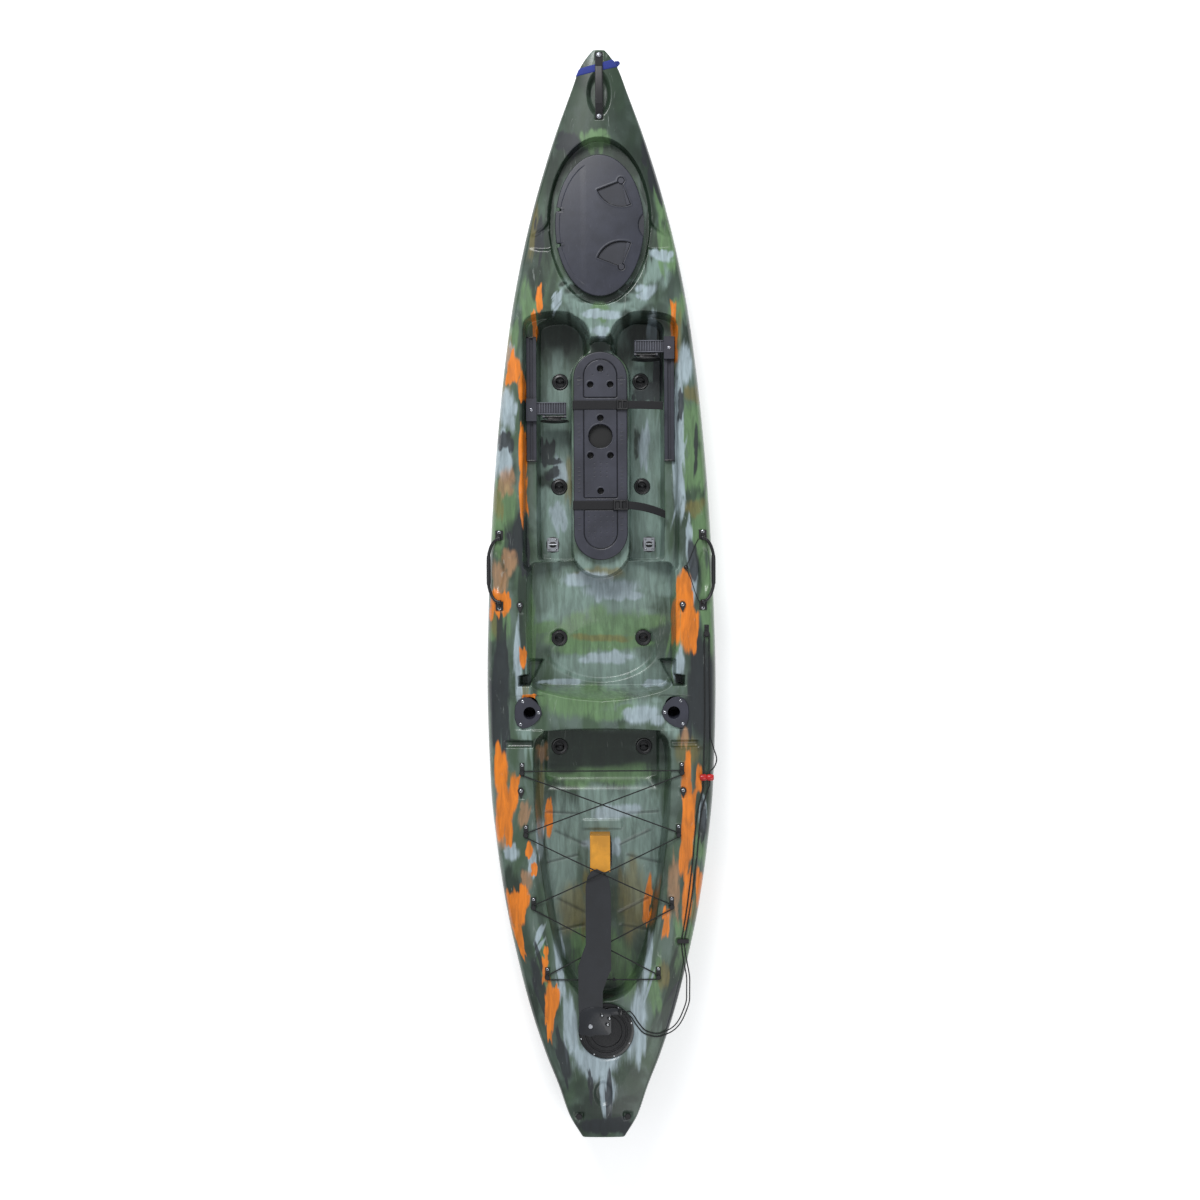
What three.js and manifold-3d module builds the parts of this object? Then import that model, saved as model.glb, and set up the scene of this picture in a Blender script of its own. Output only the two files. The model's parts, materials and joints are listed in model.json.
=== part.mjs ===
// A sit-on-top fishing kayak with its deck fittings, hatches, foot braces,
// stowed rudder and deck cords. Millimetres, +Z up, +Y to the bow, +X to starboard.
// The origin lies on the ground under the middle of the hull.

import * as THREE from 'three';
import { mergeVertices } from 'three/addons/utils/BufferGeometryUtils.js';
import Module from 'manifold-3d';

const wasm = await Module();
wasm.setup();

// Hull
const hullLength = 4300;
const hullBeam = 912;
const hullDepth = 285;
const hullWall = 4.5;
const deckCrown = 36;
const tunnelRise = 20;
const hullStations = 24;
const cavityStations = 12;
const stationCrowdingShare = 0.5;
const skyShare = 1.7;

// Clearances and overruns shared by all cuts and seats
const gap = 0.3;
const runningGap = 0.5;
const overrun = 2;
const seatSink = 1;
const seatMargin = 1;
const weldDistance = 1e-4;
const mitreShare = 0.5;

// Points round the outlines and sides of round parts
const ovalCount = 20;
const dishCount = 12;
const seatDishCount = 16;
const sternCount = 20;
const podSteps = 6;
const scupperCount = 10;
const handleSides = 8;
const cordSides = 5;
const roundSides = 16;
const thinSides = 10;
const screwSides = 8;
const knotSides = 8;
const knotRingCount = 6;
const stadiumSteps = 12;
const consoleAftSteps = 8;
const consoleForeSteps = 6;
const domeShare = 0.75;

// Cockpit: footwells, console, seat well
const footFloorZ = 80;
const footInnerX = 100;
const footOuterX = 248;
const footAftY = 160;
const footForeY = 1118;
const footDraft = 8;
const ledgeAftShare = 3;
const shelfAftShare = 6;
const footTopAftShare = 8;
const railLedgeZ = 190;
const ledgeOuterX = 298;
const consoleHalf = 118;
const consoleTopZ = 236;
const consoleForeRadius = 121;
const consoleOverShare = 1.2;
const consoleShiftShare = 0.45;
const foreGapShare = 1.3;
const neckHalf = 44;
const neckTopZ = 215;
const ridgeForeY = 1027;
const seatFloorZ = 118;
const seatHalf = 284;
const seatForeY = 112;
const seatAftY = -357;
const seatDraft = 14;
const seatFloorForeShare = 3;
const seatTopForeShare = 2;
const seatBackArc = 58;
const dishDepth = 22;
const dishTopRadius = 246;
const dishFloorRadius = 216;
const dishY = -186;
const seatDishShare = 0.667;
const pocketX = 262;
const pocketY = -305;
const pocketWidth = 66;
const pocketLength = 96;
const pocketDepth = 26;

// Tank well behind the seat
const tankFloorZ = 150;
const troughFloorZ = 118;
const tankForeY = -512;
const tankLength = 1103;
const tankHalf = 275;
const tankDraft = 22;
const troughLength = 190;
const troughSlope = 62;
const troughTopShare = 2;
const troughFloorShare = 2.4;

// Drive pod cover on the console, and the pocket under it
const podHalf = 107;
const podLength = 830;
const podY = 558;
const podHeight = 26;
const podWall = 4;
const podPanelRaise = 2;
const podPanelHalf = 63;
const podPanelForeInset = 32;
const podPanelAftInset = 40;
const podForePanelShare = 1.72;
const podMiddleForeShare = 2.16;
const podMiddleAftShare = 2.3;
const podAftPanelShare = 1.78;
const podHoleSideShare = 0.63;
const podFirstHoleShare = 0.64;
const podForePairShare = 1.23;
const podMiddleHoleShare = 1.5;
const podMiddlePairShare = 1.6;
const podLastHoleShare = 2.57;
const podSmallHole = 13;
const podLargeHole = 48;
const podLargeHoleY = 636;
const podPocketHalf = 78;
const podPocketLength = 640;
const podPocketFloorZ = 150;
const strapWidth = 36;
const strapThick = 3;
const foreStrapY = 760;
const aftStrapY = 361;
const buckleWidth = 46;
const buckleHeight = 10;
const buckleX = 88;
const aftBuckleShare = 1.4;
const tailSteps = 6;
const foreTailReach = 142;
const aftTailReach = 150;
const foreTailDroop = 16;
const aftTailDroop = 46;

// Bow hatch
const hatchY = 1465;
const lidHalfX = 176;
const lidHalfY = 280;
const lidTopZ = 332;
const lidThick = 12;
const lidCrown = 8;
const lidSkirt = 10;
const lidSkirtWall = 6;
const lidRingShares = [0.4, 0.8, 1];
const recessHalfX = 200;
const recessHalfY = 324;
const recessY = 1479;
const recessFloorZ = 292;
const coamingHalfX = 150;
const coamingHalfY = 256;
const coamingWall = 6;
const sealHeight = 4;
const hatchHingeX = -162;
const hatchHingeDrop = 8;
const hatchHingeYs = [1529, 1384];
const hingePinRadius = 3;
const hingeEyeRadius = 7;
const hingePostWidth = 14;
const hingeNotchWidth = 18;
const latchX = 86;
const latchForeY = 1640;
const latchAftY = 1299;
const latchReach = 100;
const latchSweep = 91;
const latchPocketDepth = 7;
const latchLeverWidth = 15;
const latchHubRadius = 12;
const latchHubClearance = 1;
const latchShaftRadius = 6;
const latchDogLength = 18;
const latchDogThick = 6;
const latchForeAngle = 292;
const latchDogAngle = 34;
const latchSides = 10;
const latchFanSteps = 5;
const latchLeverSteps = 2;
const latchEdgeShare = 0.12;
const wingFloorZ = 304;
const fingerNotchRadius = 62;
const fingerNotchDepth = 5;
const fingerNotchShare = 0.6;
const fingerNotchSides = 30;

// Bow handle, its dish, and the band round the bow
const bowDishInset = 174;
const bowDishY = hullLength / 2 - bowDishInset;
const bowDishHalfX = 46;
const bowDishHalfY = 86;
const bowDishDepth = 24;
const bowHandleInset = 22;
const bowHandleLength = 240;
const bowHandleForeY = hullLength / 2 - bowHandleInset;
const bowHandleAftY = bowHandleForeY - bowHandleLength;
const bowHandleWidth = 30;
const bowHandleThick = 5;
const bowHandleRise = 20;
const bowArchShare = 0.6;
const bowSeatExtra = 5;
const bowBoltRadius = 11;
const bowBoltHeight = 5;
const bandForeShare = 0.9675;
const bandWidth = 30;
const bandThick = 2.5;
const bandSlopeShare = 0.12;
const bandKnotRadius = 11;
const bandKnotShares = [0.6, 0.4];

// Foot braces
const railWidth = 40;
const railHeight = 14;
const railX = 276;
const railForeY = 1039;
const railAftY = 539;
const railSlotMouth = 12;
const railSlotWidth = 22;
const railSlotDepth = 9;
const railLip = 4;
const sliderLength = 90;
const sliderFootShare = 0.65;
const sliderHeight = 18;
const sliderAhead = 42;
const armThick = 10;
const armFore = 72;
const pedalPortY = 703;
const pedalStarboardY = 950;
const pedalInnerX = 126;
const pedalOuterX = 241;
const pedalThick = 12;
const pedalTopZ = 236;
const pedalBottomZ = 112;
const pedalHingeZ = 211;
const pedalBarrelRadius = 7;
const pedalBarrelHalf = 38;
const pedalStubRadius = 3;
const pedalStubLength = 9;
const pedalLugWidth = 9;
const pedalStubSink = 1;
const pedalHingeOffset = 8;
const pedalArmClearance = 1.5;
const pedalWebShare = 1.4;
const pedalLensShare = 0.5;
const lensSteps = 6;

// Seat brackets
const bracketX = 195;
const bracketY = 209;
const bracketHalfX = 22;
const bracketHalfY = 27;
const bracketThick = 3;
const bracketHookRise = 15;
const bracketHookRadius = 13;
const bracketSides = 6;

// Scuppers
const scupperRadius = 22;
const plugFlangeRadius = 33;
const plugFlangeHeight = 5;
const plugDepth = 34;
const plugTaper = 3;
const plugCupDepth = 12;
const plugCupRadius = 17;
const scupperPlaces = [
  ['foot_fore', 163, 869],
  ['foot_aft', 168, 444],
  ['seat', 170, -168],
  ['tank', 170, -607],
];

// Side carry handles
const handlePadInset = 52;
const handlePadX = hullBeam / 2 - handlePadInset;
const handleForeY = 243;
const handleAftY = -38;
const handleReach = 43;
const handleDroopShare = 0.30;
const handleGripRadius = 9;
const handleStrapRadius = 5.5;
const handleGripHalf = 58;
const handleBarrelRadius = 8;
const handleBarrelLength = 18;
const handleStubRadius = 3.5;
const handleBoreShare = 0.35;
const handleShares = [[0, 1], [0.4, 0.93], [0.8, 0.72], [1, 0.42], [1, 0]];
const padHalfX = 15;
const padHalfY = 18;
const padThick = 5;
const padLugThick = 9;
const padLugShare = 3;
const padEyeShare = 1.5;
const padScrewShare = 0.6;
const handleAxisRise = 14;
const handleDishDepth = 12;
const handleDishHalfX = 26;
const handleDishHalfY = 88;

// Rod holders
const rodX = 286;
const rodY = -462;
const rodFlangeThick = 8;
const rodFlangeCount = 14;
const rodSides = 14;
const rodFlangeShort = 50;
const rodFlangeLong = 64;
const rodTubeRadius = 29;
const rodBoreRadius = 25;
const rodTubeLength = 165;
const rodTubeFloor = 4;
const rodTilt = 12;
const rodScrewRadius = 6;
const rodScrewHeight = 2.5;
const rodFlangeShares = [
  [-1, 0], [-0.76, 0.46], [-0.1, 0.92], [0.6, 0.96], [1.1, 0.55], [1.2, -0.1], [1.08, -0.7],
  [0.55, -1.02], [-0.16, -0.82], [-0.76, -0.42],
];
const rodScrewShares = [[-0.72, 0], [0.55, 0.7], [0.72, -0.72]];

// Cleats, bungee hooks and cords on the deck
const cleatPadDistance = 81;
const cleatX = handlePadX - cleatPadDistance;
const cleatShift = 1;
const cleatPlaces = [['fore', cleatX, -35], ['aft', cleatX - cleatShift, -772]];
const cleatRadius = 13;
const cleatTail = 18;
const cleatHeight = 6;
const cleatStartAngle = -20;
const cleatSweep = 220;
const cleatSteps = 8;
const cleatScrewRadius = 7;
const cleatScrewHeight = 4;
const hookPlaces = [[317, -702], [303, -948], [274, -1234], [220, -1511]];
const hookPlateWidth = 18;
const hookPlateLength = 50;
const hookPlateThick = 3;
const hookPostRadius = 5;
const hookPostHeight = 10.5;
const hookCapRadius = 8.5;
const hookCapHeight = 2.5;
const hookScrewRadius = 6;
const hookScrewHeight = 3;
const hookSides = 8;
const bungeeDiameter = 5;
const bungeeKnotRadius = 8;
const bungeeKnotX = 45;
const strandSteps = 4;
const strandLift = 2;
const strandMargin = 40;
const wrapAngle = 200;
const wrapSteps = 4;
const crossShares = [0.35, 0.5, 0.65];
const crossEndShare = 0.5;
const overBladeShares = [0.38, 0.46, 0.54, 0.66];
const liftLineDiameter = 5;
const lineGap = 20;
const lineEyeX = 418;
const lineEyeY = -152;
const lineEyePostRadius = 7;
const eyeArcStart = -5;
const eyeArcSweep = 190;
const eyeArcSteps = 6;
const guideX = 318;
const guideY = -1370;
const guideWidth = 46;
const guideLength = 16;
const guideHeight = 14;
const guideTunnelWidth = 30;
const guideTunnelHeight = 8;
const toggleX = 415;
const toggleY = -721;
const toggleRadius = 14;
const toggleLength = 56;
const togglePitch = 24;
const toggleBoreRadius = 4.7;
const toggleSides = 14;
const paddleCordDiameter = 3;
const paddleBallRadius = 9;
const paddleBallX = 337;
const paddleBallY = 112;

// Routes of the cords on the side deck, as points chosen by hand: x, y and height over the deck,
// and for the lift line the distance between its strands and the slack of the outer one.
const liftLineRoute = [
  [418, -176, 7, 19.6, 0], [418, -240, 3.6, 19.6, 0], [419, -420, 3.6, 20, 0], [418, -560, 3.6, 22, 3],
  [417, -604, 4, 24, 14], [416, -650, 6, 24, 27], [415.5, -682, 12, 24, 16], [415, -700, 15.6, 24, 0],
  [415, -721, 15.8, 24, 0], [415, -742, 15.6, 24, 0], [411, -766, 7, 20, 0], [401, -800, 3.6, 17, 0],
  [384, -869, 3.6, 16, 0],
  [365, -1055, 3.6, 15, 0], [344, -1215, 3.6, 13, 0], [324, -1335, 4, 11.6, 0], [318, -1370, 4.6, 11.6, 0],
  [320, -1402, 4, 11.6, 0], [328, -1455, 4, 12, 0], [339, -1530, -22, 12, 0], [339, -1600, -44, 12, 0],
  [321, -1660, -34, 12, 0], [295, -1700, -5, 12, 0], [262, -1724, 8, 12, 0], [214, -1740, 4, 12, 0],
  [168, -1728, 3.8, 12, 0], [136, -1694, 5, 12, 0], [114, -1660, 14, 12, 0], [97, -1645, 22, 12, 0],
];
const keeperRoute = [
  [387, 226, 3.5], [376, 205, 2.4], [352, 146, 3], [340, 120, 7], [337, 112, 8], [340, 104, 7],
  [356, 66, 3], [374, 10, 2.4], [387, -22, 3.5],
];

// Rudder, lying on its side
const pivotX = -50;
const pivotY = -1700;
const cheekThick = 3;
const bladeThick = 9;
const bladeTipY = -1079;
const bladeHalf = 50;
const bladeShift = 33;
const bladeRootRadius = 40;
const rootSides = 20;
const pinSides = 12;
const cheekLeft = 45;
const cheekRight = 82;
const cheekFore = 76;
const cheekAft = 34;
const tabReach = 125;
const tabHalf = 14;
const cheekCornerShare = 1 / 3;
const cheekShoulderShare = 0.8;
const cheekTopShare = 0.85;
const pinRadius = 5;
const pinHeadRadius = 10;
const pinHeadHeight = 3;
const pinHeadShare = 0.8;
const pulleyRadius = 8;
const pulleyHeight = 7;
const pulleySides = 8;
const pulleyTopShare = 0.8;
const pulleyShares = [[0.62, 0.58], [1.02, 0.42], [0.92, 0.1]];
const lineBlockSize = 14;
const restHalfX = 40;
const restX = -9;
const restForeY = -948;
const restAftY = -1092;

// Round stern hatch
const sternHatchX = 12;
const sternHatchY = -1722;
const sternOpening = 84;
const sternFlange = 110;
const sternCollarWall = 5;
const sternCollarDepth = 22;
const sternRingThick = 6;
const sternLidThick = 6;
const sternLidRadius = 98;
const sternLidSkirt = 16;
const sternSkirtClearance = 2;
const sternGripDepth = 3;
const sternGripLengthShare = 0.8;
const sternGripPlaceShare = 0.5;

// Stern
const fairleadX = 97;
const fairleadInset = 88;
const fairleadY = fairleadInset - hullLength / 2;
const fairleadRadius = 13;
const fairleadHeight = 7;
const sternGripInset = 182;
const sternGripY = sternGripInset - hullLength / 2;
const sternGripHalfX = 38;
const sternGripHalfY = 50;
const sternGripSink = 12;

// Dishes: floor and rim as shares of the half sizes, and the step as a share of the depth
const dishFloorShares = [0.62, 0.8];
const dishRimShares = [1.12, 1.08];
const dishStepShare = 0.45;

// Deck grooves that hold a rod across the hull
const grooveX = 328;
const grooveY = -587;
const grooveHalf = 54;
const grooveRadius = 15;

// Shares along the half length, -1 at the stern and 1 at the bow, with shares of
// the half beam, of the depth for the keel line, of the depth for the deck edge
// and of the deck crown.
const planShares = [
  [-1, 0.182], [-0.958, 0.296], [-0.902, 0.391], [-0.847, 0.496], [-0.764, 0.627],
  [-0.681, 0.73], [-0.57, 0.844], [-0.46, 0.922], [-0.349, 0.974], [-0.155, 1],
  [0.011, 0.982], [0.177, 0.943], [0.343, 0.879], [0.509, 0.783], [0.62, 0.686],
  [0.731, 0.557], [0.841, 0.395], [0.924, 0.248], [0.968, 0.165], [0.99, 0.092], [1, 0.045],
];
const keelShares = [
  [-1, 0.52], [-0.965, 0.26], [-0.92, 0.13], [-0.84, 0.04], [-0.72, 0], [0.68, 0],
  [0.8, 0.035], [0.88, 0.12], [0.93, 0.27], [0.965, 0.48], [0.985, 0.7], [1, 1.02],
];
const sheerShares = [
  [-1, 0.98], [-0.95, 1.08], [-0.8, 1.05], [-0.6, 1.02], [-0.3, 1], [0.2, 1],
  [0.5, 1.03], [0.7, 1.08], [0.85, 1.16], [1, 1.29],
];
const crownShares = [
  [-1, 0.1], [-0.9, 0.3], [-0.7, 0.36], [-0.3, 0.4], [0.3, 0.42], [0.47, 0.55],
  [0.56, 0.95], [0.68, 1], [0.82, 0.95], [0.93, 0.6], [1, 0.15],
];
const fullnessShares = [[-1, 0], [-0.8, 0.1], [-0.45, 1], [0.4, 1], [0.72, 0.1], [1, 0]];

// Half section from keel to deck centre: share of the half beam, height share of
// the local depth amidships, height share at the fine ends. A crown share of 1
// lifts a deck point to the full crown. The two counts are the points before the tunnel's edge
// and before the deck's edge.
const sectionShares = [
  [0, 0, 0], [0.12, 0, 0.015], [0.27, 0, 0.08], [0.42, 0, 0.17], [0.58, 0.005, 0.28],
  [0.78, 0.1, 0.44], [0.92, 0.33, 0.62], [0.992, 0.66, 0.8], [1, 0.8, 0.89],
  [0.985, 0.93, 0.96], [0.95, 1, 1], [0.68, 1, 1], [0.36, 1, 1], [0, 1, 1],
];
const tunnelEdgeCount = 2;
const deckEdgeCount = 10;

// A smooth curve through pairs of place and value that never overshoots them.
function curveThrough(pairs) {
  const slopes = [];
  for (let i = 0; i + 1 < pairs.length; i += 1) {
    slopes.push((pairs[i + 1][1] - pairs[i][1]) / (pairs[i + 1][0] - pairs[i][0]));
  }
  const tangents = pairs.map((pair, i) => {
    const before = slopes[Math.max(i - 1, 0)];
    const after = slopes[Math.min(i, slopes.length - 1)];
    if (before * after <= 0) return 0;
    return 2 * before * after / (before + after);
  });
  return (place) => {
    let i = 0;
    while (i + 2 < pairs.length && place > pairs[i + 1][0]) i += 1;
    const width = pairs[i + 1][0] - pairs[i][0];
    const t = THREE.MathUtils.clamp((place - pairs[i][0]) / width, 0, 1);
    const rise = t * t * (3 - 2 * t);
    const lead = t * (1 - t) * (1 - t) * width;
    const trail = -t * t * (1 - t) * width;
    return pairs[i][1] * (1 - rise) + pairs[i + 1][1] * rise + tangents[i] * lead + tangents[i + 1] * trail;
  };
}

const planAt = curveThrough(planShares);
const keelAt = curveThrough(keelShares);
const sheerAt = curveThrough(sheerShares);
const crownAt = curveThrough(crownShares);
const fullnessAt = curveThrough(fullnessShares);

// Half section of the hull at a share of the half length, as points [x, z].
function halfSection(share) {
  const half = planAt(share) * hullBeam / 2;
  const keel = keelAt(share) * hullDepth;
  const sheer = sheerAt(share) * hullDepth;
  const crown = crownAt(share) * deckCrown;
  const fullness = fullnessAt(share);
  const edge = sectionShares[deckEdgeCount][0];
  return sectionShares.map(([across, midShare, endShare], i) => {
    const up = THREE.MathUtils.lerp(endShare, midShare, fullness);
    let z = keel + up * (sheer - keel);
    if (i === tunnelEdgeCount) z += fullness * tunnelRise;
    if (i > deckEdgeCount) z += crown * (1 - (across / edge) ** 2);
    return [across * half, z];
  });
}

// Deck height over a point of the plan.
function deckAt(x, y) {
  const points = halfSection(y / (hullLength / 2)).slice(deckEdgeCount);
  const side = Math.abs(x);
  for (let i = 0; i + 1 < points.length; i += 1) {
    const [outerX, outerZ] = points[i];
    const [innerX, innerZ] = points[i + 1];
    if (side >= innerX) {
      const t = (side - innerX) / (outerX - innerX);
      return THREE.MathUtils.lerp(innerZ, outerZ, Math.min(t, 1));
    }
  }
  return points[points.length - 1][1];
}

// A closed body from rings of points, each counterclockwise seen from the first ring's side.
function loft(rings) {
  const count = rings[0].length;
  const positions = [];
  const faces = [];
  rings.forEach((ring) => ring.forEach((point) => positions.push(...point)));
  for (let i = 0; i + 1 < rings.length; i += 1) {
    for (let j = 0; j < count; j += 1) {
      const a = i * count + j;
      const b = i * count + (j + 1) % count;
      faces.push(a, a + count, b, a + count, b + count, b);
    }
  }
  [0, rings.length - 1].forEach((end) => {
    const middle = [0, 1, 2].map((k) => rings[end].reduce((sum, point) => sum + point[k], 0) / count);
    const centre = positions.length / 3;
    positions.push(...middle);
    for (let j = 0; j < count; j += 1) {
      const a = end * count + j;
      const b = end * count + (j + 1) % count;
      if (end === 0) faces.push(centre, a, b);
      else faces.push(centre, b, a);
    }
  });
  const geometry = new THREE.BufferGeometry();
  geometry.setAttribute('position', new THREE.Float32BufferAttribute(positions, 3));
  geometry.setIndex(faces);
  return geometry;
}

// A three.js geometry as a solid that can be joined and cut.
function solid(geometry) {
  const bare = geometry.clone();
  bare.deleteAttribute('normal');
  bare.deleteAttribute('uv');
  const merged = mergeVertices(bare, weldDistance);
  const vertProperties = new Float32Array(merged.attributes.position.array);
  const triVerts = new Uint32Array(merged.index.array);
  return new wasm.Manifold(new wasm.Mesh({ numProp: 3, vertProperties, triVerts }));
}

// A solid back as a geometry.
function geometryOf(body) {
  const mesh = body.getMesh();
  const positions = new Float32Array(mesh.numVert * 3);
  for (let i = 0; i < mesh.numVert; i += 1) {
    for (let k = 0; k < 3; k += 1) positions[i * 3 + k] = mesh.vertProperties[i * mesh.numProp + k];
  }
  const geometry = new THREE.BufferGeometry();
  geometry.setAttribute('position', new THREE.BufferAttribute(positions, 3));
  geometry.setIndex(new THREE.BufferAttribute(new Uint32Array(mesh.triVerts), 1));
  return geometry;
}

function joined(bodies) {
  return bodies.reduce((all, body) => all.add(body));
}

function cutFrom(body, cutters) {
  return cutters.reduce((rest, cutter) => rest.subtract(cutter), body);
}

// Simple solids, placed by their centre or by their foot.
function block(width, length, height, x, y, z) {
  const geometry = new THREE.BoxGeometry(width, length, height);
  geometry.translate(x, y, z + height / 2);
  return solid(geometry);
}

function post(radius, height, x, y, z, sides = roundSides, topRadius = radius) {
  const geometry = new THREE.CylinderGeometry(topRadius, radius, height, sides);
  geometry.rotateX(Math.PI / 2);
  geometry.translate(x, y, z + height / 2);
  return solid(geometry);
}

function rodAlongY(radius, length, x, y, z, sides = thinSides) {
  const geometry = new THREE.CylinderGeometry(radius, radius, length, sides);
  geometry.translate(x, y, z);
  return solid(geometry);
}

function rodAlongX(radius, length, x, y, z, sides = thinSides) {
  const geometry = new THREE.CylinderGeometry(radius, radius, length, sides);
  geometry.rotateZ(Math.PI / 2);
  geometry.translate(x, y, z);
  return solid(geometry);
}

function dome(radius, height, x, y, z, sides = screwSides) {
  const profile = [
    new THREE.Vector2(0, 0),
    new THREE.Vector2(radius, 0),
    new THREE.Vector2(radius * domeShare, height * domeShare),
    new THREE.Vector2(0, height),
  ];
  const geometry = new THREE.LatheGeometry(profile, sides);
  geometry.rotateX(Math.PI / 2);
  geometry.translate(x, y, z);
  return solid(geometry);
}

// A plan outline as [x, y] points: smooth and closed through its control points.
function smoothOutline(points, count) {
  const controls = points.map(([x, y]) => new THREE.Vector3(x, y, 0));
  const curve = new THREE.CatmullRomCurve3(controls, true, 'centripetal');
  return curve.getSpacedPoints(count).slice(0, count).map((point) => [point.x, point.y]);
}

function ellipseOutline(halfX, halfY, x, y, count) {
  const outline = [];
  for (let i = 0; i < count; i += 1) {
    const angle = i / count * Math.PI * 2;
    outline.push([x + halfX * Math.cos(angle), y + halfY * Math.sin(angle)]);
  }
  return outline;
}

// A stadium: two half circles joined by straight sides along Y.
function stadiumOutline(half, length, y, steps = stadiumSteps) {
  const outline = [];
  const straight = length / 2 - half;
  [1, -1].forEach((end) => {
    for (let i = 0; i <= steps; i += 1) {
      const angle = (end > 0 ? 0 : Math.PI) + i / steps * Math.PI;
      outline.push([half * Math.cos(angle), y + end * straight + half * Math.sin(angle)]);
    }
  });
  return outline;
}

function mirrored(outline) {
  return outline.map(([x, y]) => [-x, y]).reverse();
}

// A counterclockwise outline moved outwards by a distance.
function grown(outline, distance) {
  const count = outline.length;
  return outline.map(([x, y], i) => {
    const [px, py] = outline[(i + count - 1) % count];
    const [nx, ny] = outline[(i + 1) % count];
    const before = new THREE.Vector2(y - py, px - x).normalize();
    const after = new THREE.Vector2(ny - y, x - nx).normalize();
    const normal = before.clone().add(after).normalize();
    const stretch = 1 / Math.max(normal.dot(after), mitreShare);
    return [x + normal.x * distance * stretch, y + normal.y * distance * stretch];
  });
}

// A solid between a top outline and a bottom outline.
function prism(topOutline, topZ, bottomOutline, bottomZ) {
  return solid(loft([
    topOutline.map(([x, y]) => [x, y, topZ]),
    bottomOutline.map(([x, y]) => [x, y, bottomZ]),
  ]));
}

function plate(outline, z, thick) {
  return prism(outline, z + thick, outline, z);
}

// A round cord through hand-set points, with one ring of corners at each of them.
function cordThrough(points, diameter, sides = cordSides) {
  const path = points.map((point) => new THREE.Vector3(...point));
  const normal = new THREE.Vector3(0, 0, 1);
  const rings = path.map((point, i) => {
    const ahead = path[Math.min(i + 1, path.length - 1)];
    const behind = path[Math.max(i - 1, 0)];
    const along = ahead.clone().sub(behind).normalize();
    normal.addScaledVector(along, -normal.dot(along)).normalize();
    const across = along.clone().cross(normal);
    const ring = [];
    for (let k = 0; k < sides; k += 1) {
      const angle = -(k + 0.5) / sides * Math.PI * 2;
      const corner = point.clone().addScaledVector(normal, Math.cos(angle) * diameter / 2);
      ring.push(corner.addScaledVector(across, Math.sin(angle) * diameter / 2).toArray());
    }
    return ring;
  });
  return solid(loft(rings));
}

// Hollows of the hull. Each one is cut from the hull, and its skin, one wall
// larger, is kept out of the inner cavity.
const cuts = [];
const skins = [];
const skyZ = hullDepth * skyShare;

// An open well slopes from its floor to the deck edge and is straight above it.
function hollow(topOutline, topZ, floorOutline, floorZ) {
  if (topZ < skyZ || floorZ > hullDepth - overrun) {
    return prism(topOutline, topZ, floorOutline, floorZ);
  }
  return solid(loft([
    topOutline.map(([x, y]) => [x, y, skyZ]),
    topOutline.map(([x, y]) => [x, y, hullDepth]),
    floorOutline.map(([x, y]) => [x, y, floorZ]),
  ]));
}

function wallOf(topOutline, topZ, floorOutline, floorZ) {
  return hollow(grown(topOutline, hullWall), topZ, grown(floorOutline, hullWall), floorZ - hullWall);
}

function well(topOutline, topZ, floorOutline, floorZ) {
  cuts.push(hollow(topOutline, topZ, floorOutline, floorZ));
  skins.push(wallOf(topOutline, topZ, floorOutline, floorZ));
}

// A flat seat for a fitting, sunk just below the lowest deck under its outline.
// A large one is backed by its own skin, a small one only thins the wall a little.
function seatFor(outline, backed = false) {
  const lowest = Math.min(...outline.map(([x, y]) => deckAt(x, y)));
  const z = lowest - seatSink;
  const edge = grown(outline, seatMargin);
  if (backed) well(edge, skyZ, edge, z);
  else cuts.push(prism(edge, skyZ, edge, z));
  return z;
}

function boxOutline(halfX, halfY, x, y) {
  return [[x + halfX, y - halfY], [x + halfX, y + halfY], [x - halfX, y + halfY], [x - halfX, y - halfY]];
}

// Cockpit cuts are gathered apart, because the console stands in them.
const cockpitCuts = [];
const cockpitSkins = [];

function cockpitWell(topOutline, topZ, floorOutline, floorZ) {
  cockpitCuts.push(hollow(topOutline, topZ, floorOutline, floorZ));
  cockpitSkins.push(wallOf(topOutline, topZ, floorOutline, floorZ));
}

// A footwell outline for one outer width. The inner side lies under the console.
function footOutline(outerX, aftY, foreY) {
  const width = outerX - footInnerX;
  const length = foreY - aftY;
  const shares = [
    [-0.35, 0], [0.8, 0], [0.96, 0.008], [1, 0.035], [1, 0.93], [0.96, 0.97], [0.75, 0.992],
    [0.28, 1], [0, 0.985], [-0.2, 0.955], [-0.35, 0.88],
  ];
  return shares.map(([sx, sy]) => [footInnerX + sx * width, aftY + sy * length]);
}

const footFloor = footOutline(footOuterX, footAftY, footForeY - footDraft);
const footLedge = footOutline(footOuterX + footDraft, footAftY - footDraft * ledgeAftShare, footForeY);
const footShelf = footOutline(ledgeOuterX, footAftY - footDraft * shelfAftShare, footForeY);
const footTopAftY = footAftY - footDraft * footTopAftShare;
const footTop = footOutline(ledgeOuterX + footDraft, footTopAftY, footForeY + footDraft);
[(outline) => outline, mirrored].forEach((side) => {
  cockpitWell(side(footLedge), railLedgeZ + overrun, side(footFloor), footFloorZ);
  cockpitWell(side(footTop), skyZ, side(footShelf), railLedgeZ);
});

// The seat well, with a straight foot and a curved top to its back.
function seatOutline(half, foreY, aftY, arc) {
  const length = foreY - aftY;
  const shares = [
    [0.88, 1, 0], [0.97, 0.97, 0], [1, 0.9, 0], [1, 0.16, 0], [0.97, 0.06, 0],
    [0.9, 0, 0.1], [0.7, 0, 0.45], [0.4, 0, 0.82],
  ];
  const right = shares.map(([sx, sy, sa]) => [sx * half, aftY + sy * length - sa * arc]);
  const left = right.map(([x, y]) => [-x, y]).reverse();
  return [...right, [0, aftY - arc], ...left].reverse();
}

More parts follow.
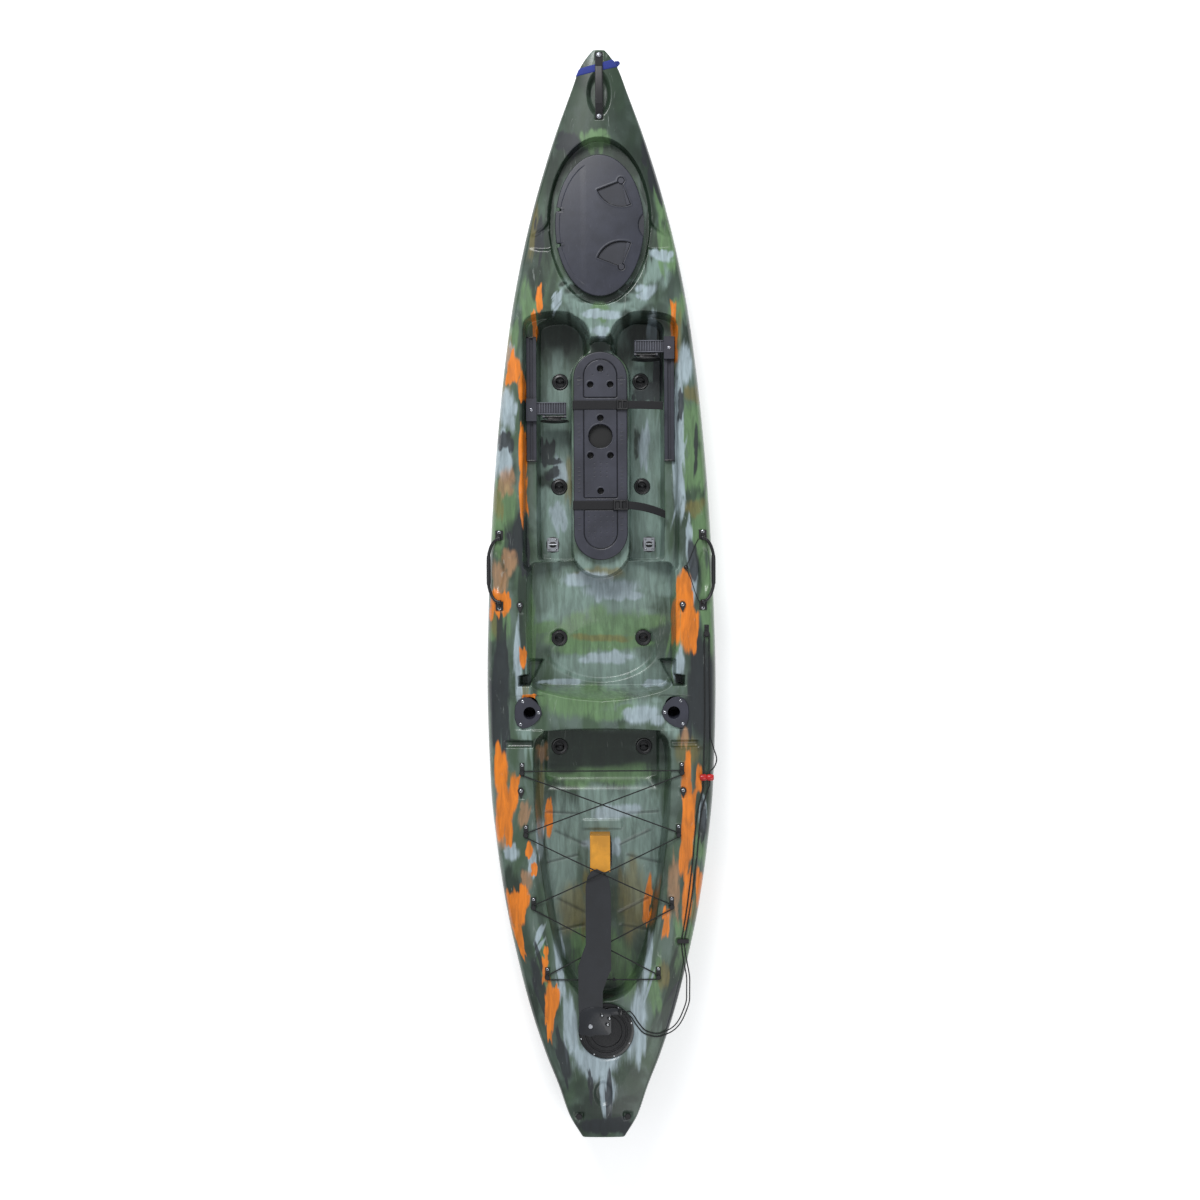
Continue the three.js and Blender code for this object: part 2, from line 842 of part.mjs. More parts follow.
const seatFloor = seatOutline(seatHalf, seatForeY + seatDraft * seatFloorForeShare, seatAftY, 0);
const seatTopForeY = seatForeY + seatDraft * seatTopForeShare;
const seatTop = seatOutline(seatHalf + seatDraft, seatTopForeY, seatAftY - seatDraft / 2, seatBackArc);
cockpitWell(seatTop, skyZ, seatFloor, seatFloorZ);
const seatDish = (radius) => ellipseOutline(radius, radius * seatDishShare, 0, dishY, seatDishCount);
const seatDishZ = seatFloorZ - dishDepth;
cockpitWell(seatDish(dishTopRadius), seatFloorZ + overrun, seatDish(dishFloorRadius), seatDishZ);
[1, -1].forEach((side) => {
  const outline = boxOutline(pocketWidth / 2, pocketLength / 2, side * pocketX, pocketY);
  cockpitWell(outline, seatFloorZ + overrun, outline, seatFloorZ - pocketDepth);
});

// The console: round behind, round ahead, and a neck that flares into the bow deck.
function consoleOutline(inset) {
  const half = consoleHalf - inset;
  const aftCentre = podY - podLength / 2 + podHalf - consoleHalf / 2;
  const foreCentre = podY + podLength / 2 - podHalf;
  const foreRadius = consoleForeRadius - inset;
  const neck = neckHalf - inset;
  const right = [];
  for (let i = 0; i <= consoleAftSteps; i += 1) {
    const angle = -Math.PI / 2 + i / consoleAftSteps * Math.PI / 2;
    right.push([half * Math.cos(angle), aftCentre + half * Math.sin(angle)]);
  }
  const lastAngle = Math.acos(neck / foreRadius);
  for (let i = 0; i <= consoleForeSteps; i += 1) {
    const angle = i / consoleForeSteps * lastAngle;
    right.push([foreRadius * Math.cos(angle), foreCentre + foreRadius * Math.sin(angle)]);
  }
  const flareShares = [[0, 0], [0.12, 0.35], [0.42, 0.66], [1, 0.9], [1, 1.6]];
  const flareWidth = consoleHalf - neckHalf;
  const flareLength = footForeY - ridgeForeY;
  flareShares.forEach(([sx, sy]) => right.push([neck + sx * flareWidth, ridgeForeY + sy * flareLength]));
  const left = right.slice(1).map(([x, y]) => [-x, y]).reverse();
  return [...right, ...left];
}

const consoleBody = plate(consoleOutline(0), -overrun, skyZ + overrun * 2);
const consoleCore = plate(consoleOutline(hullWall), -overrun, skyZ + overrun * 2);
cuts.push(joined(cockpitCuts).subtract(consoleBody));
skins.push(joined(cockpitSkins).subtract(consoleCore));

// The console is lower than the deck, with a deeper gap ahead of the pod cover.
const consoleTopLength = podLength + consoleHalf * consoleOverShare;
const consoleTopY = podY - consoleHalf * consoleShiftShare;
const consoleTop = stadiumOutline(consoleForeRadius + overrun, consoleTopLength, consoleTopY);
well(consoleTop, skyZ, consoleTop, consoleTopZ);
const foreGapLength = ridgeForeY - podY - podLength / 2 + neckHalf;
const foreGap = boxOutline(neckHalf * foreGapShare, foreGapLength / 2, 0, ridgeForeY - foreGapLength / 2);
well(foreGap, skyZ, foreGap, neckTopZ);
const podPocket = stadiumOutline(podPocketHalf, podPocketLength, podY);
well(podPocket, consoleTopZ + overrun, grown(podPocket, -hullWall), podPocketFloorZ);

// The tank well, with a deeper trough for its drains.
function tankOutline(inset) {
  const shares = [
    [0.72, 0.012], [0.95, 0.04], [1, 0.1], [1, 0.18], [0.985, 0.3], [0.92, 0.45],
    [0.83, 0.62], [0.74, 0.75], [0.62, 0.86], [0.43, 0.95], [0.2, 0.992],
  ];
  const right = shares.map(([sx, sy]) => [sx * tankHalf, tankForeY - sy * tankLength]);
  const left = right.map(([x, y]) => [-x, y]).reverse();
  return grown([...right, ...left].reverse(), -inset);
}

well(tankOutline(0), skyZ, tankOutline(tankDraft), tankFloorZ);
const troughMiddle = tankForeY - tankDraft - troughLength / 2;
const troughTopHalf = tankHalf - tankDraft * troughTopShare;
const troughTopLength = troughLength + troughSlope;
const troughTop = boxOutline(troughTopHalf, troughTopLength / 2, 0, troughMiddle - troughSlope / 2);
const troughFloor = boxOutline(tankHalf - tankDraft * troughFloorShare, troughLength / 2, 0, troughMiddle);
well(troughTop, tankFloorZ + gap, troughFloor, troughFloorZ);

// Bow hatch: recess, side channels and opening.
well(
  ellipseOutline(recessHalfX + hullWall, recessHalfY + hullWall, 0, recessY, ovalCount), skyZ,
  ellipseOutline(recessHalfX, recessHalfY, 0, recessY, ovalCount), recessFloorZ,
);
const wingShares = [[0.88, 0.12], [1.2, -0.13], [1.56, -0.16], [1.6, -0.3], [1.06, -0.36], [0.86, -0.3]];
const wing = wingShares.map(([sx, sy]) => [sx * recessHalfX, recessY + sy * recessHalfY]).reverse();
well(wing, skyZ, wing, wingFloorZ);
well(mirrored(wing), skyZ, mirrored(wing), wingFloorZ);
const openingHalfX = coamingHalfX - coamingWall;
const openingHalfY = coamingHalfY - coamingWall;
const hatchOpening = ellipseOutline(openingHalfX, openingHalfY, 0, hatchY, ovalCount);
cuts.push(prism(hatchOpening, skyZ, hatchOpening, recessFloorZ - hullWall * 3));

// Dishes under the bow handle, the side handles and in the stern deck.
function dishCut(halfX, halfY, depth, x, y, stepped = false) {
  const floor = deckAt(x, y) - depth;
  const outline = ellipseOutline(halfX, halfY, x, y, dishCount);
  const inner = ellipseOutline(halfX * dishFloorShares[0], halfY * dishFloorShares[1], x, y, dishCount);
  const top = ellipseOutline(halfX * dishRimShares[0], halfY * dishRimShares[1], x, y, dishCount);
  const rise = depth * dishStepShare;
  if (stepped) {
    cuts.push(prism(top, deckAt(x, y) + depth, outline, floor + rise));
    cuts.push(prism(outline, floor + rise + gap, inner, floor));
  } else {
    cuts.push(prism(top, deckAt(x, y) + depth, inner, floor));
  }
  skins.push(wallOf(top, deckAt(x, y) + depth, outline, floor));
}

dishCut(bowDishHalfX, bowDishHalfY, bowDishDepth, 0, bowDishY, true);
dishCut(sternGripHalfX, sternGripHalfY, sternGripSink, 0, sternGripY);
const handleMiddleY = (handleForeY + handleAftY) / 2;
[1, -1].forEach((side) => {
  const x = side * (handlePadX + padHalfX / 2);
  dishCut(handleDishHalfX, handleDishHalfY, handleDishDepth, x, handleMiddleY);
});

// Grooves across the side decks.
[1, -1].forEach((side) => {
  const z = deckAt(grooveX, grooveY);
  const bar = (extra) => {
    return rodAlongX(grooveRadius + extra, (grooveHalf + extra) * 2, side * grooveX, grooveY, z, roundSides);
  };
  cuts.push(bar(0));
  skins.push(bar(hullWall));
});

// Round stern hatch: seat and opening.
const sternSeat = ellipseOutline(sternFlange, sternFlange, sternHatchX, sternHatchY, sternCount);
const sternSeatZ = seatFor(sternSeat, true);
cuts.push(post(sternOpening, hullDepth, sternHatchX, sternHatchY, sternSeatZ - hullWall * 3, sternCount));

// Scuppers: a tube from each floor to the hull bottom.
const scuppers = [];
scupperPlaces.forEach(([name, x, y]) => {
  [['port', -1], ['starboard', 1]].forEach(([sideName, side]) => {
    scuppers.push({ name: `scupper_plug_${name}_${sideName}`, x: side * x, y });
  });
});
scuppers.forEach(({ x, y }) => {
  cuts.push(post(scupperRadius, hullDepth, x, y, -overrun, scupperCount));
  skins.push(post(scupperRadius + hullWall * 2, hullDepth, x, y, -overrun, scupperCount / 2 + 1));
});

function floorUnder(name) {
  if (name.includes('foot')) return footFloorZ;
  if (name.includes('seat')) return seatDishZ;
  return troughFloorZ;
}

// Materials
function finish(color, roughness, metalness = 0) {
  return new THREE.MeshStandardMaterial({ color, roughness, metalness });
}

const hullPlastic = finish(0x4c6149, 0.5);
const satinBlack = finish(0x2f2f38, 0.45);
const podGrey = finish(0x474552, 0.5);
const rubberBlack = finish(0x15161a, 0.7);
const glossBlack = finish(0x0d0e12, 0.25);
const steel = finish(0xb8bcc2, 0.3, 1);
const cordBlack = finish(0x17201f, 0.8);
const webbingBlack = finish(0x14151a, 0.85);
const toggleRed = finish(0xc2272f, 0.4);
const bandBlue = finish(0x26387f, 0.8);
const restYellow = finish(0xe3972b, 0.7);
const bladeBlack = finish(0x22242c, 0.5);

const group = new THREE.Group();

function addPart(name, body, material) {
  const mesh = new THREE.Mesh(geometryOf(body), material);
  mesh.name = name;
  group.add(mesh);
}

const sides = [['port', -1], ['starboard', 1]];

// A flat band along points, its width along one axis and its thickness square to the path.
function ribbon(points, widthAxis, width, thick) {
  const path = points.map((point) => new THREE.Vector3(...point));
  const across = new THREE.Vector3(...widthAxis);
  return solid(loft(path.map((point, i) => {
    const ahead = path[Math.min(i + 1, path.length - 1)];
    const behind = path[Math.max(i - 1, 0)];
    const up = across.clone().cross(ahead.clone().sub(behind)).normalize().multiplyScalar(thick / 2);
    const side = across.clone().multiplyScalar(width / 2);
    return [[1, -1], [1, 1], [-1, 1], [-1, -1]].map(([a, b]) => {
      return point.clone().addScaledVector(side, a).addScaledVector(up, b).toArray();
    });
  })));
}

// Bow handle: a webbing arch with a bolt at each end.
const boltPadHalf = bowHandleWidth / 2;
const handleSeats = [[bowHandleAftY, 1], [bowHandleForeY, -1]].map(([y, inward]) => {
  return seatFor(boxOutline(boltPadHalf, bowBoltRadius + bowSeatExtra, 0, y + inward * bowSeatExtra), true);
});
const archSteps = 12;
const archStart = bowHandleAftY + bowBoltRadius;
const archEnd = bowHandleForeY - bowBoltRadius;
const archPoints = [[0, bowHandleAftY - bowBoltRadius, handleSeats[0]]];
for (let i = 0; i <= archSteps; i += 1) {
  const t = i / archSteps;
  const y = THREE.MathUtils.lerp(archStart, archEnd, t);
  const base = THREE.MathUtils.lerp(handleSeats[0], handleSeats[1], t);
  archPoints.push([0, y, base + bowHandleRise * Math.sin(Math.PI * t) ** bowArchShare]);
}
archPoints.push([0, bowHandleForeY + bowBoltRadius, handleSeats[1]]);
const archLift = gap + bowHandleThick / 2;
const bowHandle = joined([
  ribbon(archPoints.map(([x, y, z]) => [x, y, z + archLift]), [1, 0, 0], bowHandleWidth, bowHandleThick),
  dome(bowBoltRadius, bowBoltHeight, 0, bowHandleAftY, handleSeats[0] + bowHandleThick),
  dome(bowBoltRadius, bowBoltHeight, 0, bowHandleForeY, handleSeats[1] + bowHandleThick),
]);
addPart('bow_handle_strap', bowHandle, webbingBlack);

// Blue band round the bow, tied on the starboard side.
function bandEdge(offsetY, distance) {
  const middleY = bandForeShare * hullLength / 2 + offsetY;
  const halfRing = halfSection(middleY / (hullLength / 2));
  const ring = [...halfRing, ...halfRing.slice(1, -1).map(([x, z]) => [-x, z]).reverse()];
  const placed = ring.map(([x, z], j) => {
    const y = middleY + bandSlopeShare * x * 2;
    const local = halfSection(y / (hullLength / 2));
    const index = j < local.length ? j : 2 * (local.length - 1) - j;
    const side = j < local.length ? 1 : -1;
    return { y, point: [side * local[index][0], local[index][1]] };
  });
  const moved = grown(placed.map(({ point }) => point), distance);
  return placed.map(({ y }, j) => [moved[j][0], y, moved[j][1]]);
}

const bandRings = [-1, 1].map((side) => bandEdge(side * bandWidth / 2, bandThick + gap));
const bandSlab = solid(loft(bandRings));
const knotPlace = bandEdge(0, bandThick + gap)[deckEdgeCount];
const [knotOut, knotDown] = bandKnotShares.map((share) => share * bandKnotRadius);
const bandKnot = new THREE.SphereGeometry(bandKnotRadius, knotSides, knotRingCount);
bandKnot.translate(knotPlace[0] + knotOut, knotPlace[1], knotPlace[2] - knotDown);

// Bow hatch: coaming and hinge posts on the hull, seal, lid and two latches.
const lidBottomZ = lidTopZ - lidThick;
const hatchAxisZ = lidTopZ - hatchHingeDrop;
const coamingTopZ = lidBottomZ - gap * 2 - sealHeight;
const coamingOuter = ellipseOutline(coamingHalfX, coamingHalfY, 0, hatchY, ovalCount);
const coaming = plate(coamingOuter, recessFloorZ - hullWall / 2, coamingTopZ - recessFloorZ + hullWall / 2)
  .subtract(prism(hatchOpening, lidTopZ, hatchOpening, recessFloorZ - hullWall));
const hingePosts = hatchHingeYs.map((y) => {
  const foot = recessFloorZ - hullWall / 2;
  const upright = block(hingeEyeRadius * 2, hingePostWidth, hatchAxisZ - foot, hatchHingeX, y, foot);
  const eye = rodAlongY(hingeEyeRadius, hingePostWidth, hatchHingeX, y, hatchAxisZ);
  const bore = rodAlongY(hingePinRadius + gap, hingePostWidth + overrun, hatchHingeX, y, hatchAxisZ);
  return upright.add(eye).subtract(bore);
});
const seal = plate(coamingOuter, coamingTopZ + gap, sealHeight)
  .subtract(prism(hatchOpening, lidTopZ, hatchOpening, recessFloorZ));
addPart('bow_hatch_seal', seal, rubberBlack);

const lidRings = lidRingShares.map((share) => {
  return ellipseOutline(lidHalfX * share, lidHalfY * share, 0, hatchY, ovalCount)
    .map(([x, y]) => [x, y, lidTopZ + lidCrown * (1 - share * share)]);
});
const lidEdge = ellipseOutline(lidHalfX, lidHalfY, 0, hatchY, ovalCount);
lidRings.push(lidEdge.map(([x, y]) => [x, y, lidBottomZ - lidSkirt]));
const lidInside = ellipseOutline(lidHalfX - lidSkirtWall, lidHalfY - lidSkirtWall, 0, hatchY, ovalCount);
const skirtCutWidth = lidHalfX + hatchHingeX + lidSkirtWall * 2;
const latchFloorZ = lidTopZ + lidCrown - latchPocketDepth - lidCrown / 2;

// One latch: side is 1 for the one near the bow and -1 for its mirror image.
function latchParts(y, side) {
  const sweep = THREE.MathUtils.degToRad(latchSweep);
  const start = side * THREE.MathUtils.degToRad(latchForeAngle);
  const leverSweep = latchLeverWidth / latchReach;
  const arc = (radius, from, to, steps) => {
    const points = [[latchX, y]];
    for (let i = 0; i <= steps; i += 1) {
      const angle = from + (to - from) * i / steps;
      points.push([latchX + radius * Math.cos(angle), y + radius * Math.sin(angle)]);
    }
    return side > 0 ? points.reverse() : points;
  };
  const fan = arc(latchReach + overrun, start, start - side * sweep, latchFanSteps);
  const leverStart = start - side * leverSweep * latchEdgeShare;
  const leverArc = arc(latchReach, leverStart, leverStart - side * leverSweep, latchLeverSteps);
  const pocket = joined([
    plate(fan, latchFloorZ, lidThick),
    post(latchHubRadius + latchHubClearance, lidThick, latchX, y, latchFloorZ, latchSides),
    post(latchShaftRadius + runningGap, lidThick * 2, latchX, y, lidBottomZ - overrun, latchSides),
  ]);
  const leverThick = latchPocketDepth;
  const dogZ = lidBottomZ - sealHeight - latchDogThick;
  const dogTurn = side * THREE.MathUtils.degToRad(latchDogAngle);
  const dog = new THREE.BoxGeometry(latchDogLength, latchShaftRadius * 2, latchDogThick);
  dog.rotateZ(dogTurn);
  const dogReach = latchDogLength / 2 - latchShaftRadius - latchShaftRadius / 2;
  const dogX = latchX + dogReach * Math.cos(dogTurn);
  dog.translate(dogX, y + dogReach * Math.sin(dogTurn), dogZ + latchDogThick / 2);
  const lever = joined([
    plate(leverArc, latchFloorZ + gap, leverThick),
    post(latchHubRadius, leverThick, latchX, y, latchFloorZ + gap, latchSides),
    post(latchShaftRadius, latchFloorZ - dogZ + leverThick / 2, latchX, y, dogZ, latchSides),
    solid(dog),
  ]);
  return { pocket, lever };
}

const latches = [['fore', latchForeY, 1], ['aft', latchAftY, -1]].map(([name, y, side]) => {
  return { name, ...latchParts(y, side) };
});
const hingeNotches = hatchHingeYs.map((y) => {
  const width = lidHalfX + hatchHingeX + hingeEyeRadius + overrun * 2;
  const x = width / 2 - lidHalfX - overrun;
  return block(width, hingeNotchWidth, lidThick * 4, x, y, lidBottomZ - lidThick * 2);
});
const fingerNotchX = lidHalfX + fingerNotchRadius * fingerNotchShare;
const lidCutters = [
  prism(lidInside, lidBottomZ, lidInside, lidBottomZ - lidSkirt - overrun),
  block(skirtCutWidth, lidHalfY * 2, lidSkirt + overrun, -lidHalfX + skirtCutWidth / 2 - overrun, hatchY,
    lidBottomZ - lidSkirt - overrun),
  ...hingeNotches,
  ...latches.map(({ pocket }) => pocket),
  post(fingerNotchRadius, lidThick, fingerNotchX, hatchY, lidTopZ - fingerNotchDepth, fingerNotchSides),
];
const hingePins = hatchHingeYs.map((y) => {
  return rodAlongY(hingePinRadius, hingeNotchWidth + hullWall, hatchHingeX, y, hatchAxisZ);
});
const hatchLid = joined([cutFrom(solid(loft(lidRings)), lidCutters), ...hingePins]);
addPart('bow_hatch_lid', hatchLid, satinBlack);
latches.forEach(({ name, lever }) => addPart(`bow_hatch_latch_${name}`, lever, satinBlack));

// Foot braces: a slotted rail on each ledge, a slider in it and a hinged pedal.
const railZ = railLedgeZ + gap;
const railTopZ = railZ + railHeight;
const hingeAhead = pedalThick / 2 + pedalHingeOffset;
const armClear = hingeAhead + pedalBarrelRadius + pedalArmClearance;
const pedalMiddleX = (pedalInnerX + pedalOuterX) / 2;
sides.forEach(([sideName, side]) => {
  const x = side * railX;
  const railLength = railForeY - railAftY;
  const railMiddle = (railForeY + railAftY) / 2;
  const slotLength = railLength - railHeight;
  const slotZ = railTopZ - railSlotDepth;
  const rail = cutFrom(block(railWidth, railLength, railHeight, x, railMiddle, railZ), [
    block(railSlotMouth, slotLength, railSlotDepth + overrun, x, railMiddle, slotZ),
    block(railSlotWidth, slotLength, railSlotDepth - railLip, x, railMiddle, slotZ),
  ]);
  addPart(`foot_rail_${sideName}`, rail, satinBlack);

  const pedalY = side < 0 ? pedalPortY : pedalStarboardY;
  const bodyY = pedalY + sliderAhead;
  const footLength = sliderLength * sliderFootShare;
  const bodyZ = railTopZ + runningGap;
  const armInner = pedalMiddleX - pedalBarrelHalf - pedalLugWidth - runningGap;
  const armOuter = railX - railWidth / 2 + overrun;
  const armZ = pedalHingeZ - armThick / 2;
  const axisY = pedalY + hingeAhead;
  const lugReach = pedalBarrelHalf + runningGap + pedalLugWidth / 2;
  const lugXs = [-1, 1].map((end) => pedalMiddleX + end * lugReach);
  const lugs = lugXs.map((lugX, i) => {
    const inward = i === 0 ? 1 : -1;
    const stubX = lugX + inward * (pedalLugWidth / 2 + pedalStubLength / 2 - pedalStubSink);
    return joined([
      rodAlongX(pedalBarrelRadius, pedalLugWidth, side * lugX, axisY, pedalHingeZ),
      block(pedalLugWidth, armClear - hingeAhead + overrun, armThick, side * lugX,
        pedalY + (armClear + hingeAhead + overrun) / 2, armZ),
      rodAlongX(pedalStubRadius, pedalStubLength, side * stubX, axisY, pedalHingeZ),
    ]);
  });
  const footHeight = railSlotDepth - railLip - runningGap * 2;
  const slider = joined([
    block(railSlotWidth - runningGap * 2, footLength, footHeight, x, bodyY, slotZ + runningGap),
    block(railSlotMouth - runningGap * 2, footLength, railSlotDepth, x, bodyY,
      slotZ + railLip - overrun / 2),
    block(railWidth + overrun, sliderLength, sliderHeight, x, bodyY, bodyZ),
    block(armOuter - armInner, armFore - armClear, armThick, side * (armOuter + armInner) / 2,
      pedalY + (armFore + armClear) / 2, armZ),
    ...lugs,
  ]);
  addPart(`foot_slider_${sideName}`, slider, satinBlack);

  const lens = [];
  const pedalHalf = (pedalOuterX - pedalInnerX) / 2;
  for (let i = 0; i <= lensSteps; i += 1) {
    const t = 1 - 2 * i / lensSteps;
    lens.push([side * pedalMiddleX + t * pedalHalf, pedalY + pedalThick / 2 * (1 - pedalLensShare * t * t)]);
  }
  for (let i = 0; i <= lensSteps; i += 1) {
    const t = -1 + 2 * i / lensSteps;
    lens.push([side * pedalMiddleX + t * pedalHalf, pedalY - pedalThick / 2 * (1 - pedalLensShare * t * t)]);
  }
  const bores = [-1, 1].map((end) => {
    const boreX = pedalMiddleX + end * (pedalBarrelHalf - pedalStubLength / 2 + overrun / 2);
    const length = pedalStubLength + overrun;
    return rodAlongX(pedalStubRadius + runningGap, length, side * boreX, axisY, pedalHingeZ);
  });
  const webWidth = pedalBarrelHalf * pedalWebShare;
  const pedal = joined([
    plate(lens, pedalBottomZ, pedalTopZ - pedalBottomZ),
    rodAlongX(pedalBarrelRadius, pedalBarrelHalf * 2, side * pedalMiddleX, axisY, pedalHingeZ),
    block(webWidth, hingeAhead, armThick, side * pedalMiddleX, pedalY + hingeAhead / 2, armZ),
  ]);
  addPart(`foot_pedal_${sideName}`, cutFrom(pedal, bores), satinBlack);
});

// Drive pod cover with its panels and drain holes, held by two straps.
const podZ = consoleTopZ + gap;
const podTopZ = podZ + podHeight;
const podOutline = stadiumOutline(podHalf, podLength, podY, podSteps);
const podForeY = podY + podLength / 2;
const podAftY = podY - podLength / 2;
const panels = [
  [podForeY - podPanelForeInset, podForeY - podHalf * podForePanelShare],
  [podForeY - podHalf * podMiddleForeShare, podAftY + podHalf * podMiddleAftShare],
  [podAftY + podHalf * podAftPanelShare, podAftY + podPanelAftInset],
];
const podBumps = panels.map(([foreY, aftY]) => {
  const middleY = (foreY + aftY) / 2;
  return block(podPanelHalf * 2, foreY - aftY, podPanelRaise + overrun, 0, middleY, podTopZ - overrun);
});
const forePairY = podForeY - podHalf * podForePairShare;
const middlePairY = podLargeHoleY - podLargeHole * podMiddlePairShare;
const smallHoles = [
  [0, podForeY - podHalf * podFirstHoleShare],
  [-podHoleSideShare, forePairY],
  [podHoleSideShare, forePairY],
  [0, podLargeHoleY + podLargeHole * podMiddleHoleShare],
  [-podHoleSideShare, middlePairY],
  [podHoleSideShare, middlePairY],
  [0, podAftY + podHalf * podLastHoleShare],
];
const podHoles = smallHoles.map(([share, y]) => {
  return post(podSmallHole, podHeight, share * podPanelHalf, y, podTopZ - podWall - overrun, hookSides);
});
podHoles.push(post(podLargeHole, podHeight, 0, podLargeHoleY, podTopZ - podWall - overrun, sternCount));
const podInside = stadiumOutline(podHalf - podWall, podLength - podWall * 2, podY, podSteps);
const podShell = joined([
  prism(grown(podOutline, -podWall), podTopZ, podOutline, podZ + podHeight / 2),
  plate(podOutline, podZ, podHeight / 2 + gap),
  ...podBumps,
]);
const podHollow = prism(grown(podInside, -podWall), podTopZ - podWall, podInside, podZ - overrun);
const podCover = cutFrom(podShell, [podHollow, ...podHoles]);
addPart('pod_cover', podCover, podGrey);

function podStrap(y, buckleLength, tailReach, droop, drift) {
  const z = podTopZ + podPanelRaise + gap;
  const outer = podHalf + gap * 2 + strapThick;
  const bandX = outer - strapThick / 2;
  const bandOver = joined([
    block(outer * 2, strapWidth, strapThick, 0, y, z),
    block(strapThick, strapWidth, z - podZ + strapThick, -bandX, y, podZ),
    block(strapThick, strapWidth, z - podZ + strapThick, bandX, y, podZ),
    block(buckleLength, strapWidth + strapThick * 2, buckleHeight,
      buckleX - (buckleLength - buckleWidth) / 2, y, z),
  ]);
  const tailLength = tailReach + podHalf - buckleX;
  const tail = [];
  for (let i = 0; i <= tailSteps; i += 1) {
    const t = i / tailSteps;
    tail.push([buckleX + t * tailLength, y - drift * t * t, z + buckleHeight / 2 - droop * t * t]);
  }
  return bandOver.add(ribbon(tail, [0, 1, 0], strapWidth - strapThick, strapThick));
}

const foreStrap = podStrap(foreStrapY, buckleWidth, foreTailReach, foreTailDroop, strapThick);
addPart('pod_strap_fore', foreStrap, webbingBlack);
const aftBuckleLength = buckleWidth * aftBuckleShare;
const aftStrap = podStrap(aftStrapY, aftBuckleLength, aftTailReach, aftTailDroop, strapWidth);
addPart('pod_strap_aft', aftStrap, webbingBlack);

// Scupper plugs: a tapered cup with a flange.
scuppers.forEach(({ name, x, y }) => {
  const stem = scupperRadius - gap;
  const profile = [
    [0, -plugDepth], [stem - plugTaper, -plugDepth], [stem, gap], [plugFlangeRadius, gap],
    [plugFlangeRadius - overrun, gap + plugFlangeHeight], [plugCupRadius, gap + plugFlangeHeight],
    [plugCupRadius - plugTaper, plugFlangeHeight - plugCupDepth], [0, plugFlangeHeight - plugCupDepth],
  ].map(([radius, z]) => new THREE.Vector2(radius, z));
  const plug = new THREE.LatheGeometry(profile, scupperCount);
  plug.rotateX(Math.PI / 2);
  plug.translate(x, y, floorUnder(name));
  addPart(name, solid(plug), rubberBlack);
});

// Seat brackets on the footwell floors: a plate with a bail over it.
sides.forEach(([sideName, side]) => {
  const z = footFloorZ + gap;
  const barZ = z + bracketHookRise;
  const x = side * bracketX;
  const barLength = bracketHookRadius * 2 + bracketThick * 2;
  const bail = [-1, 1].map((end) => {
    const legX = x + end * bracketHookRadius;
    return post(bracketThick, bracketHookRise, legX, bracketY, z, bracketSides);
  });
  const bracket = joined([
    block(bracketHalfX * 2, bracketHalfY * 2, bracketThick, x, bracketY, z),
    rodAlongX(bracketThick, barLength, x, bracketY, barZ, bracketSides),
    ...bail,
  ]);
  addPart(`seat_bracket_${sideName}`, bracket, steel);
});

// Side carry handles between two hinge pads.
sides.forEach(([sideName, side]) => {
  const padX = side * handlePadX;
  const pads = [['fore', handleForeY, -1], ['aft', handleAftY, 1]];
  const padSeats = pads.map(([, y]) => seatFor(boxOutline(padHalfX, padHalfY, padX, y)));
  const axisZ = Math.max(...padSeats) + handleAxisRise;
  pads.forEach(([end, y, inward], i) => {
    const z = padSeats[i] + gap;
    const stubY = y + inward * (padLugThick / 2 + handleStubRadius);
    const screwY = y - inward * padHalfY * padScrewShare;
    const pad = joined([
      block(padHalfX * 2, padHalfY * 2, padThick, padX, y, z),
      block(handleStubRadius * padLugShare, padLugThick, axisZ - z, padX, y, z),
      rodAlongY(handleStubRadius * padEyeShare, padLugThick, padX, y, axisZ),
      rodAlongY(handleStubRadius, padLugThick + handleStubRadius * 2, padX, stubY, axisZ),
      dome(cleatScrewRadius, cleatScrewHeight, padX, screwY, z + padThick - gap),
    ]);
    addPart(`side_handle_pad_${end}_${sideName}`, pad, rubberBlack);
  });
  const barrelEnd = padLugThick / 2 + runningGap;
  const middle = (handleForeY + handleAftY) / 2;
  const half = (handleForeY - handleAftY) / 2 - barrelEnd - handleBarrelLength / 2;
  const reach = handleReach;
  const path = [...handleShares, ...handleShares.slice(0, -1).reverse().map(([sx, sy]) => [sx, -sy])];
  const points = path.map(([sx, sy]) => {
    return [padX + side * sx * reach, middle + sy * half, axisZ - sx * reach * handleDroopShare];
  });
  const gripPoints = [-1, 1].map((share) => {
    return [padX + side * reach, middle + share * handleGripHalf, axisZ - reach * handleDroopShare];
  });
  const barrels = [-1, 1].map((end) => {
    return rodAlongY(handleBarrelRadius, handleBarrelLength, padX, middle + end * half, axisZ);
  });
  const boreY = half + handleBarrelLength * handleBoreShare;
  const bores = [-1, 1].map((end) => {
    return rodAlongY(handleStubRadius + runningGap, handleBarrelLength, padX, middle + end * boreY, axisZ);
  });
  const handle = cutFrom(joined([
    cordThrough(points, handleStrapRadius * 2, handleSides),
    cordThrough(gripPoints, handleGripRadius * 2, handleSides),
    ...barrels,
  ]), bores);
  addPart(`side_handle_${sideName}`, handle, rubberBlack);
});

